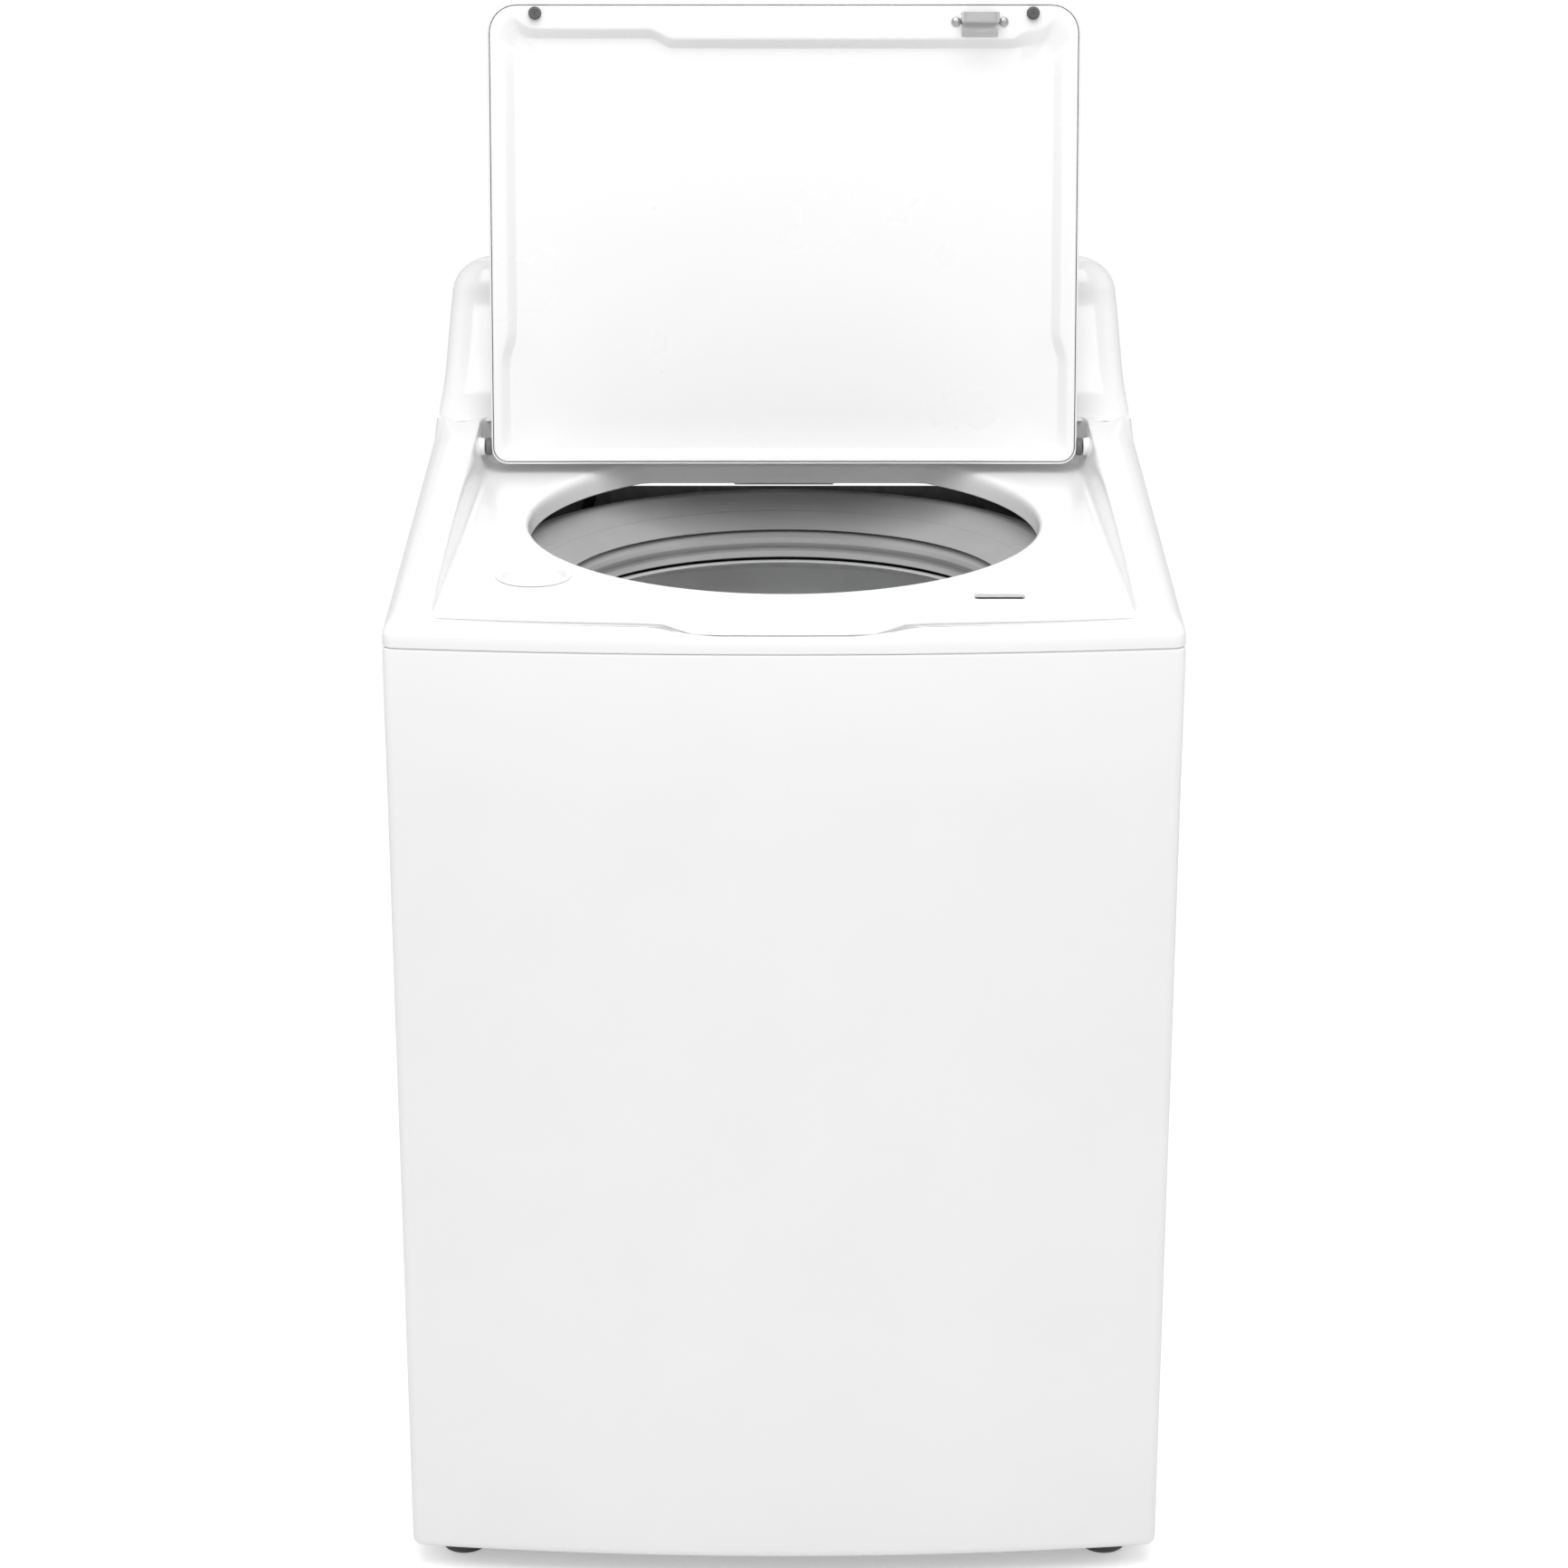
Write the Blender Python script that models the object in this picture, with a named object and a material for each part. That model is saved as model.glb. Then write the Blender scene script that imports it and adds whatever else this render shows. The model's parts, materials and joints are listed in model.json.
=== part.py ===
"""Top-load washing machine, shown with its lid open.

Row frame: metres, +Z up, the front faces -Y, the origin is on the floor under the middle of the cabinet.
Every separate piece of the machine is one named object.
"""

import math

import bmesh
import bpy
from mathutils import Matrix, Vector

# ---- cabinet ----
WIDTH = 0.686
DEPTH = 0.686
BOW = 0.022  # how far the middle of the front stands ahead of its corners
SHEET = 0.0012
CABINET_BOTTOM = 0.024
SEAM = 0.886  # where the top cover meets the cabinet
CONSOLE_TOP = SEAM + 0.232
FRONT = -DEPTH / 2
CORNER_Y = FRONT + BOW
REAR = DEPTH / 2
GAP = 0.0004  # between pieces that touch
CORNER_RADIUS = 0.010
REAR_FLANGE = 0.018
REAR_PANEL_INSET = 0.017

# ---- top cover ----
DECK = SEAM + 0.025  # at the front edge of the drum opening
DECK_SLOPE = 0.050  # the deck rises towards the rear
COVER_WALL = 0.003
EDGE_HEIGHT = 0.010  # height of the cover's upright edge at the front corners
SHOULDER_SLOPE = 0.122
SHOULDER_RISE = 0.015
SHELF = SEAM + 0.090
SWEEP_START = 0.500
SWEEP_END = 0.545
OPENING_RADIUS = 0.2385
OPENING_FLAT = 0.195  # from the drum's axis to the straight rear edge of the opening
LIP_DEPTH = 0.0225
AXIS_Y = 0.014
RECESS_CLEARANCE = 0.015  # between the lid's side and the wall of the recess
RECESS_SPLAY = 0.020  # how much further apart the recess walls are at the front, per metre
RECESS_REAR = 0.217
SCOOP_DEPTH = 0.010
SCOOP_HALF = 0.090

# ---- lid ----
HINGE_Y = 0.169
HINGE_Z = SEAM + 0.070
OPEN_ANGLE = 100.0
LID_HALF = 0.285
LID_REACH = 0.424  # from the hinge axis to the front edge
LID_TAIL = 0.0167
LID_TOP = 0.012
LID_RIM = -0.0075
LID_SKIN = 0.0015
PAN_FLOOR = 0.004
PAN_SLOPE = 0.009
RAIL = 0.018
RAIL_NARROW = 0.008
REAR_RAIL = 0.004
NOTCH = 0.090
MOUTH_FRONT = LID_REACH - 0.032
MOUTH_STEP = 0.0096
MOUTH_EAR = 0.0207
STEP_X = -0.118
PIN_RADIUS = 0.0038
BUMPER_X = LID_HALF - 0.046
BUMPER_REACH = LID_REACH - 0.0096
BUMPER_RADIUS = 0.0062
BUMPER_HEIGHT = 0.008

RECESS_SIDE = LID_HALF + RECESS_CLEARANCE
BLEACH_X = 0.078 - RECESS_SIDE
BLEACH_Y = -0.178
BLEACH_RADIUS = 0.0300

# ---- lid lock ----
STRIKE_X = LID_HALF - 0.097
STRIKE_HALF = 0.018
STRIKE_REACH = LID_REACH - 0.0145
STRIKE_DROP = 0.0225
STRIKE_SHEET = 0.002
SCREW_OFFSET = 0.023
LOCK_SLOT_Y = HINGE_Y - STRIKE_REACH + 0.002
LOCK_SLOT_HALF = 0.0075
BOLT_HALF = 0.008
BOLT_THICK = 0.0020
BOLT_LENGTH = 0.023
BOLT_Z = SEAM + 0.0150

# ---- console ----
CONSOLE_WALL = 0.003
FASCIA_HALF_WIDTH = 0.290
FASCIA_HALF_HEIGHT = 0.044
FASCIA_THICK = 0.003
FASCIA_TILT = 20.0
FASCIA_Y = REAR - 0.078
FASCIA_Z = SEAM + 0.160
CYCLE_KNOB_X = 0.095
SELECTOR_X = (-0.200, -0.110)
START_BUTTON_X = 0.210
CYCLE_KNOB_RADIUS = 0.028
SELECTOR_RADIUS = 0.016
KNOB_SHAFT = 0.004

# ---- tub and drive ----
TUB_RADIUS = 0.285
TUB_WALL = 0.004
TUB_FLOOR = 0.322
TUB_TOP = SEAM - 0.012
BASKET_CLEARANCE = 0.023  # between the tub's wall and the basket's
BASKET_RADIUS = TUB_RADIUS - BASKET_CLEARANCE
BASKET_WALL = 0.0012
BASKET_FLOOR = 0.352
RING_BOTTOM = SEAM - 0.074
RING_TOP = SEAM - 0.0285
RING_INNER = 0.205
HUB_TUBE = 0.0130
SHAFT_RADIUS = 0.0080
RUNNING_GAP = 0.0006
PULLEY_Z = 0.178
PULLEY_THICK = 0.016
DRIVE_PULLEY_RADIUS = 0.085
MOTOR_PULLEY_RADIUS = 0.020
MOTOR_OFFSET = 0.165
MOTOR_RADIUS = 0.058
BELT_THICK = 0.003
BELT_WIDTH = 0.009
AGITATOR_TOP = 0.640
AUGER_TOP = 0.740
PUMP_X = 0.150
PUMP_Y = -0.080

# ---- suspension and feet ----
ROD_X = 0.290
ROD_OFFSET = 0.270
ROD_RADIUS = 0.0040
ROD_BOTTOM = 0.215
ROD_TOP = SEAM - 0.030
EAR_BOTTOM = 0.390
EAR_THICK = 0.016
RAIL_SHEET = 0.004
SPRING_WIRE = 0.0018
SPRING_RADIUS = 0.0140
SPRING_TURNS = 5
FOOT_X = 0.299
FOOT_FRONT_Y = -0.269
FOOT_REAR_Y = 0.285
FOOT_RADIUS = 0.021
FOOT_PAD = 0.012
FOOT_STEM = 0.006
FRAME_BOTTOM = CABINET_BOTTOM + 0.002
FRAME_TOP = 0.060
FRAME_RAIL = 0.072
FRAME_SHEET = 0.0025

# ---- rear services ----
INLET_X = (-0.225, -0.175)
INLET_Z = 0.822
INLET_RADIUS = 0.0132
DRAIN_X = 0.200
DRAIN_Z = 0.800
HOSE_RADIUS = 0.012
GLAND_X = 0.255
SPOUT_Z = SEAM + 0.0225
SPOUT_FRONT = 0.238
GLAND_Z = 0.835

STEPS = 32  # sides of the large round pieces

WHITE = ("enamel_white", (0.93, 0.93, 0.93), 0.30, 0.0)
PLASTIC_WHITE = ("moulded_white", (0.90, 0.90, 0.90), 0.40, 0.0)
LIGHT_GREY = ("tub_grey", (0.62, 0.62, 0.62), 0.50, 0.0)
DARK_GREY = ("dark_grey", (0.12, 0.12, 0.13), 0.60, 0.0)
RUBBER = ("rubber_grey", (0.16, 0.16, 0.16), 0.80, 0.0)
STAINLESS = ("stainless", (0.62, 0.62, 0.62), 0.28, 1.0)
GALVANISED = ("galvanised", (0.55, 0.56, 0.57), 0.45, 1.0)
BLACK = ("black_plastic", (0.03, 0.03, 0.03), 0.50, 0.0)
GREEN = ("board_green", (0.05, 0.22, 0.10), 0.55, 0.0)


# ---- building blocks ----
def material(kind):
    """The Principled material of that kind, made once."""
    name, colour, roughness, metallic = kind
    made = bpy.data.materials.get(name)
    if made is None:
        made = bpy.data.materials.new(name)
        made.use_nodes = True
        shader = made.node_tree.nodes["Principled BSDF"]
        shader.inputs["Base Color"].default_value = (*colour, 1.0)
        shader.inputs["Roughness"].default_value = roughness
        shader.inputs["Metallic"].default_value = metallic
    return made


def place(name, bm, kind, parent=None, location=(0, 0, 0), rotation=(0, 0, 0)):
    """Turns a bmesh into a named object with its faces pointing out."""
    bmesh.ops.recalc_face_normals(bm, faces=bm.faces)
    if bm.calc_volume(signed=True) < 0:
        bmesh.ops.reverse_faces(bm, faces=bm.faces)
    mesh = bpy.data.meshes.new(name)
    bm.to_mesh(mesh)
    bm.free()
    mesh.shade_smooth()
    mesh.set_sharp_from_angle(angle=math.radians(35))
    mesh.materials.append(material(kind))
    made = bpy.data.objects.new(name, mesh)
    made.parent = parent
    made.location = location
    made.rotation_euler = rotation
    bpy.context.scene.collection.objects.link(made)
    return made


def empty(name, location, rotation=(0, 0, 0)):
    made = bpy.data.objects.new(name, None)
    made.location = location
    made.rotation_euler = rotation
    bpy.context.scene.collection.objects.link(made)
    return made


def bridge(bm, first, second):
    """Faces between two rings of vertices, or between a ring and a single point."""
    count = max(len(first), len(second))
    for i in range(count):
        j = (i + 1) % count
        corners = []
        for ring, index in ((first, i), (first, j), (second, j), (second, i)):
            vertex = ring[index % len(ring)]
            if vertex not in corners:
                corners.append(vertex)
        if len(corners) > 2:
            bm.faces.new(corners)


def lofted(loops, ring=False):
    """A solid through closed loops of points. A ring joins its last loop to its first, and has no caps."""
    bm = bmesh.new()
    rings = [[bm.verts.new(point) for point in loop] for loop in loops]
    for first, second in zip(rings, rings[1:]):
        bridge(bm, first, second)
    if ring:
        bridge(bm, rings[-1], rings[0])
    else:
        bm.faces.new(rings[0])
        bm.faces.new(rings[-1])
    return bm


def turned(profile, steps=STEPS):
    """A solid of revolution about Z from (radius, height) points. Radius 0 is a point on the axis."""
    bm = bmesh.new()
    rings = []
    for radius, height in profile:
        if radius == 0:
            rings.append([bm.verts.new((0, 0, height))])
            continue
        rings.append([
            bm.verts.new((radius * math.cos(2 * math.pi * i / steps),
                radius * math.sin(2 * math.pi * i / steps), height))
            for i in range(steps)
        ])
    for first, second in zip(rings, rings[1:]):
        bridge(bm, first, second)
    if profile[0][0] and profile[-1][0]:
        bridge(bm, rings[-1], rings[0])
    return bm


def prism(outline, low, high):
    return lofted([[(x, y, low) for x, y in outline], [(x, y, high) for x, y in outline]])


def block(low, high):
    """A box from its lowest corner to its highest."""
    (x0, y0, z0), (x1, y1, z1) = low, high
    return prism([(x0, y0), (x1, y0), (x1, y1), (x0, y1)], z0, z1)


def helper(name, bm, parent=None, location=(0, 0, 0), rotation=(0, 0, 0)):
    """A hidden object that a Boolean uses."""
    made = place(name, bm, DARK_GREY, parent, location, rotation)
    made.hide_render = True
    made.display_type = "WIRE"
    return made


def boolean(target, other, operation):
    modifier = target.modifiers.new(operation.lower(), "BOOLEAN")
    modifier.operation = operation
    modifier.solver = "EXACT"
    modifier.object = other


def cut(target, other):
    boolean(target, other, "DIFFERENCE")


def join(target, other):
    boolean(target, other, "UNION")


def smooth_path(points, per_span=5):
    """Points on a smooth curve through the given ones."""
    ends = [points[0], *points, points[-1]]
    path = []
    for a, b, c, d in zip(ends, ends[1:], ends[2:], ends[3:]):
        a, b, c, d = (Vector(p) for p in (a, b, c, d))
        for i in range(per_span):
            t = i / per_span
            path.append(
                0.5 * (2 * b + (c - a) * t + (2 * a - 5 * b + 4 * c - d) * t**2
                       + (3 * b - a - 3 * c + d) * t**3)
            )
    return [*path, Vector(points[-1])]


def tube(name, path, radius, kind, sides_level=1):
    """A round tube along a path of points."""
    curve = bpy.data.curves.new(name, "CURVE")
    curve.dimensions = "3D"
    curve.bevel_depth = radius
    curve.bevel_resolution = sides_level
    curve.use_fill_caps = True
    spline = curve.splines.new("POLY")
    spline.points.add(len(path) - 1)
    for point, place_at in zip(spline.points, path):
        point.co = (*place_at, 1.0)
    curve.materials.append(material(kind))
    made = bpy.data.objects.new(name, curve)
    bpy.context.scene.collection.objects.link(made)
    return made


def smoothstep(low, high, value):
    t = min(1.0, max(0.0, (value - low) / (high - low)))
    return t * t * (3 - 2 * t)


def bowed(x, half, bow=BOW):
    """How far the front stands ahead of its corners at x."""
    return bow * max(0.0, 1 - (x / half) ** 2)


# ---- cabinet ----
def front_curve(half, corner_y, steps=12):
    """Points along the bowed front, from left to right."""
    return [
        (half * (2 * i / steps - 1), corner_y - bowed(half * (2 * i / steps - 1), half))
        for i in range(steps + 1)
    ]


def make_cabinet_wrap():
    half = WIDTH / 2
    outer = [(-half + REAR_FLANGE, REAR), (-half, REAR), *front_curve(half, CORNER_Y)]
    outer += [(half, REAR), (half - REAR_FLANGE, REAR)]
    inner = [(half - REAR_FLANGE, REAR - SHEET), (half - SHEET, REAR - SHEET)]
    inner += reversed(front_curve(half - SHEET, CORNER_Y + SHEET))
    inner += [(-half + SHEET, REAR - SHEET), (-half + REAR_FLANGE, REAR - SHEET)]
    return place("cabinet_wrap", prism(outer + inner, CABINET_BOTTOM, SEAM - GAP), WHITE)


def make_rear_panel():
    half = WIDTH / 2 - SHEET - GAP
    face = REAR - REAR_PANEL_INSET
    panel = place("rear_panel", block((-half, face - SHEET, FRAME_TOP + GAP),
        (half, face, SEAM - 0.004)), GALVANISED)
    holes = [(x, INLET_Z, INLET_RADIUS) for x in INLET_X]
    holes += [(DRAIN_X, DRAIN_Z, HOSE_RADIUS), (GLAND_X, GLAND_Z, 0.0105)]
    for number, (x, z, radius) in enumerate(holes):
        wall = radius + 0.001
        hole = turned([(0, -0.02), (wall, -0.02), (wall, 0.02), (0, 0.02)], 20)
        cut(panel, helper(f"cut_rear_{number}", hole, None, (x, face, z), (math.radians(90), 0, 0)))
    return panel


def make_base_frame():
    """A sheet ring with its inner and outer edges folded down."""
    half = WIDTH / 2 - SHEET - GAP
    front, rear = CORNER_Y + 0.004, REAR - SHEET - GAP
    t = FRAME_SHEET

    def ring(inset, height):
        x, y0, y1 = half - inset, front + inset, rear - inset
        return [(-x, y0, height), (x, y0, height), (x, y1, height), (-x, y1, height)]

    section = [(0, FRAME_BOTTOM), (0, FRAME_TOP), (FRAME_RAIL, FRAME_TOP), (FRAME_RAIL, FRAME_TOP - 0.020)]
    section += [(FRAME_RAIL - t, FRAME_TOP - 0.020), (FRAME_RAIL - t, FRAME_TOP - t),
        (t, FRAME_TOP - t), (t, FRAME_BOTTOM)]
    frame = place("base_frame", lofted([ring(*point) for point in section], ring=True), GALVANISED)
    for name, x, y in foot_places():
        hole = turned([(0, 0.0), (FOOT_STEM + 0.0008, 0.0), (FOOT_STEM + 0.0008, 0.1), (0, 0.1)], 12)
        cut(frame, helper(f"cut_{name}", hole, None, (x, y, 0)))
    return frame


def foot_places():
    return [
        (f"foot_{end}_{side}", sign * FOOT_X, y)
        for end, y in (("front", FOOT_FRONT_Y), ("rear", FOOT_REAR_Y))
        for side, sign in (("left", -1), ("right", 1))
    ]


def make_feet():
    top = FRAME_TOP + 0.012
    profile = [(0, 0), (FOOT_RADIUS - 0.002, 0), (FOOT_RADIUS, 0.003),
        (FOOT_RADIUS - 0.003, FOOT_PAD - 0.002)]
    profile += [(FOOT_STEM, FOOT_PAD), (FOOT_STEM, top), (0, top)]
    for name, x, y in foot_places():
        place(name, turned(profile, 14), RUBBER, None, (x, y, 0))


# ---- top cover ----
SIDE_SEGMENTS = 10
CORNER_SEGMENTS = 4


def plan_loop(half, front, rear, radius, bow):
    """A rounded rectangle seen from above, anticlockwise from the front end of its right side."""
    corners = [(half - radius, rear - radius, 0), (-half + radius, rear - radius, 90)]
    corners += [(-half + radius, front + radius, 180), (half - radius, front + radius, 270)]
    points = []
    start = (half, front + radius)
    for x, y, angle in corners:
        begin = (x + radius * math.cos(math.radians(angle)), y + radius * math.sin(math.radians(angle)))
        for i in range(SIDE_SEGMENTS):
            t = i / SIDE_SEGMENTS
            points.append((start[0] + (begin[0] - start[0]) * t, start[1] + (begin[1] - start[1]) * t))
        for i in range(CORNER_SEGMENTS):
            turn = math.radians(angle + 90 * i / CORNER_SEGMENTS)
            points.append((x + radius * math.cos(turn), y + radius * math.sin(turn)))
        end = math.radians(angle + 90)
        start = (x + radius * math.cos(end), y + radius * math.sin(end))
    middle = (front + rear) / 2
    return [(x, y - bowed(x, half, bow) * smoothstep(middle, front + radius, y)) for x, y in points]


def opening_loop(offset):
    """The drum opening, a circle with a straight rear edge, with the same number of points as plan_loop."""
    count = 4 * (SIDE_SEGMENTS + CORNER_SEGMENTS)
    points = []
    for i in range(count):
        angle = 2 * math.pi * (i - SIDE_SEGMENTS / 2) / count
        reach = OPENING_RADIUS + offset
        y = min(reach * math.sin(angle), OPENING_FLAT + offset)
        points.append((reach * math.cos(angle), AXIS_Y + y))
    return points


def deck_at(y):
    """Height of the deck's surface at y, away from the finger scoop."""
    return DECK + DECK_SLOPE * (y - AXIS_Y + OPENING_RADIUS)


def edge_height(y):
    """Height above the seam of the cover's upright side at y."""
    behind = max(0.0, y - CORNER_Y)
    sloped = EDGE_HEIGHT + SHOULDER_SLOPE * behind
    swept = smoothstep(SWEEP_START, SWEEP_END, behind)
    return sloped + (SHELF - SEAM - sloped) * swept


def crest_rise(y):
    """How far the shoulder's crest stands above the upright side. It fades out under the console."""
    return SHOULDER_RISE * (1 - smoothstep(SWEEP_START, SWEEP_END, y - CORNER_Y))


def scoop(x, y):
    """Depth of the finger scoop in the front of the deck."""
    across = 1 - smoothstep(SCOOP_HALF - 0.018, SCOOP_HALF + 0.018, abs(x))
    return SCOOP_DEPTH * across * (1 - smoothstep(FRONT + 0.045, FRONT + 0.095, y))


def cover_loops():
    """The cover's outer loops from the lip of the opening to the seam, each with its inner partner."""
    half = WIDTH / 2

    def recess(offset):
        points = plan_loop(RECESS_SIDE + offset, CORNER_Y + 0.018 - offset, RECESS_REAR + offset,
            0.020 + offset, BOW)
        splay = [1 - RECESS_SPLAY * (y - CORNER_Y) * 2 for _, y in points]
        return [(x * s, y) for (x, y), s in zip(points, splay)]

    def outer(offset, radius):
        return plan_loop(half - offset, CORNER_Y + offset, REAR - offset, radius, BOW)

    def deck_height(x, y):
        return deck_at(y) - scoop(x, y)

    def below(drop):
        return lambda x, y: deck_at(y) - drop

    def shoulder_height(share):
        return lambda x, y: SEAM + edge_height(y) + crest_rise(y) * share - scoop(x, y) * share

    middle = [
        ((a + c) / 2, (b + d) / 2) for (a, b), (c, d) in zip(opening_loop(0.012), recess(-0.006))
    ]
    t = COVER_WALL
    flat = lambda height: (lambda x, y: height)
    outside = [
        (opening_loop(0), below(LIP_DEPTH)),
        (opening_loop(0.0005), below(0.0060)),
        (opening_loop(0.003), below(0.0015)),
        (opening_loop(0.008), deck_height),
        (middle, deck_height),
        (recess(-0.006), deck_height),
        (recess(0), lambda x, y: deck_height(x, y) + 0.15 * (shoulder_height(1)(x, y) - deck_height(x, y))),
        (recess(0.004), shoulder_height(0.97)),
        (recess(0.009), shoulder_height(1.0)),
        (outer(0.010, 0.016), shoulder_height(0.80)),
        (outer(0.003, 0.013), shoulder_height(0.45)),
        (outer(0, CORNER_RADIUS), shoulder_height(0)),
        (outer(0, CORNER_RADIUS), flat(SEAM)),
    ]
    under = lambda height: (lambda x, y: height(x, y) - t)
    inside = [
        (opening_loop(t), below(LIP_DEPTH)),
        (opening_loop(0.0045), below(0.0020 + t)),
        (opening_loop(0.008), under(deck_height)),
        (recess(-0.003), under(deck_height)),
        (recess(t), under(outside[6][1])),
        (recess(0.004 + t), under(outside[7][1])),
        (outer(0.011, 0.015), under(outside[9][1])),
        (outer(t, CORNER_RADIUS - t), under(outside[11][1])),
        (outer(t, CORNER_RADIUS - t), flat(SEAM)),
    ]
    sequence = outside + list(reversed(inside))
    return [[(x, y, height(x, y)) for x, y in points] for points, height in sequence]


def make_top_cover():
    cover = place("top_cover", lofted(cover_loops(), ring=True), WHITE)
    pin = turned([(0, -0.32), (PIN_RADIUS + 0.0012, -0.32), (PIN_RADIUS + 0.0012, 0.32), (0, 0.32)], 16)
    cut(cover, helper("cut_hinge", pin, None, (0, HINGE_Y, HINGE_Z), (0, math.radians(90), 0)))
    slot = block(
        (STRIKE_X - 0.022, LOCK_SLOT_Y - LOCK_SLOT_HALF, DECK - 0.02),
        (STRIKE_X + 0.022, LOCK_SLOT_Y + LOCK_SLOT_HALF, DECK + 0.01),
    )
    cut(cover, helper("cut_lock_slot", slot))
    cup = turned([(0, -0.02), (BLEACH_RADIUS, -0.02), (BLEACH_RADIUS, 0.02), (0, 0.02)], 24)
    cut(cover, helper("cut_bleach", cup, None, (BLEACH_X, BLEACH_Y, deck_at(BLEACH_Y)),
        (math.atan(DECK_SLOPE), 0, 0)))
    return cover


def make_bleach_dispenser():
    rim, wall, low = BLEACH_RADIUS + 0.004, 0.0015, -0.0125
    reach = BLEACH_RADIUS - 0.0005
    profile = [(0, low + 0.002), (reach - 0.012, low + 0.002), (reach - 0.003, -0.003),
        (reach - 0.002, GAP + 0.001)]
    profile += [(rim, GAP + 0.0008), (rim, GAP), (reach, GAP), (reach - wall, -0.004),
        (reach - 0.012, low), (0, low)]
    tilt = (math.atan(DECK_SLOPE), 0, 0)
    return place("bleach_dispenser", turned(profile, 24), PLASTIC_WHITE, None,
        (BLEACH_X, BLEACH_Y, deck_at(BLEACH_Y)), tilt)


# ---- lid ----
def lid_loop(side, front, tail, front_radius, rear_radius, front_steps=1, corner_steps=4):
    """A rounded rectangle in the lid's own plane, x across and y = -(distance ahead of the hinge)."""
    corners = [(side, tail, rear_radius, 0, 1, 1), (-side, tail, rear_radius, 90, -1, 1)]
    corners += [(-side, -front, front_radius, 180, -1, -1), (side, -front, front_radius, 270, 1, -1)]
    arcs = []
    for x, y, radius, angle, sx, sy in corners:
        centre = (x - sx * radius, y - sy * radius)
        turns = [math.radians(angle + 90 * i / corner_steps) for i in range(corner_steps + 1)]
        arcs.append([(centre[0] + radius * math.cos(a), centre[1] + radius * math.sin(a)) for a in turns])
    points = []
    for arc, following, steps in zip(arcs, arcs[1:] + arcs[:1], (1, 1, front_steps, 1)):
        points += arc
        (x0, y0), (x1, y1) = arc[-1], following[0]
        points += [(x0 + (x1 - x0) * i / steps, y0 + (y1 - y0) * i / steps) for i in range(1, steps)]
    return points


def lid_edge(inset):
    return lid_loop(LID_HALF - inset, LID_REACH - inset, LID_TAIL - inset, 0.028 - inset, 0.016 - inset)


def make_lid_skin(lid):
    t = LID_SKIN
    outside = [(lid_edge(0), LID_RIM), (lid_edge(0), 0.006), (lid_edge(0.002), 0.0105),
        (lid_edge(0.007), LID_TOP)]
    inside = [(lid_edge(t), LID_RIM), (lid_edge(t), 0.006), (lid_edge(0.003), 0.0095),
        (lid_edge(0.007), LID_TOP - t)]
    sequence = list(reversed(outside)) + inside
    loops = [[(x, y, z) for x, y in points] for points, z in sequence]
    skin = place("lid_skin", lofted(loops), WHITE, lid)
    cut(skin, pin_cutter("cut_lid_skin", lid))
    return skin


def pin_cutter(name, lid):
    wall = PIN_RADIUS + GAP
    return helper(
        name, turned([(0, -0.30), (wall, -0.30), (wall, 0.30), (0, 0.30)], 16), lid, (0, 0, 0), (0,
            math.radians(90), 0)
    )


def mouth_reach(x):
    """How far ahead of the hinge the liner's pan reaches at x: a step on the left, and an ear in each corner."""
    step = MOUTH_STEP * (1 - smoothstep(STEP_X - 0.009, STEP_X + 0.009, x))
    ear = smoothstep(0.226, 0.262, abs(x))
    return MOUTH_FRONT + step * (1 - ear) + MOUTH_EAR * ear


def pan_loop(inset):
    """The mouth of the liner's pan, or a smaller loop inside it. Its side rails narrow towards the hinge."""
    wide, narrow, tail = LID_HALF - RAIL - inset, LID_HALF - RAIL_NARROW - inset, LID_TAIL - REAR_RAIL - inset
    side = [(narrow, tail - 0.010), (narrow, -NOTCH + 0.005 - inset), (wide, -NOTCH - 0.004 - inset)]
    front = MOUTH_FRONT - inset
    corner = [(wide, -front + 0.034), (wide, -front - 0.004), (wide - 0.003, -front - 0.010),
        (wide - 0.010, -front - 0.014)]
    right = [(narrow - 0.010, tail), (narrow - 0.003, tail - 0.003), *side, corner[0]]
    left = [(-x, y) for x, y in reversed(right)]
    reach = wide - 0.010
    across = [reach * (1 - 2 * i / 28) for i in range(29)]
    ahead = [(x, -(mouth_reach(x) - inset)) for x in across]
    ears = [(wide, -front - MOUTH_EAR + 0.012), (wide - 0.003, -front - MOUTH_EAR + 0.003)]
    return right + ears + ahead + [(-x, y) for x, y in reversed(ears)] + left


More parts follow.
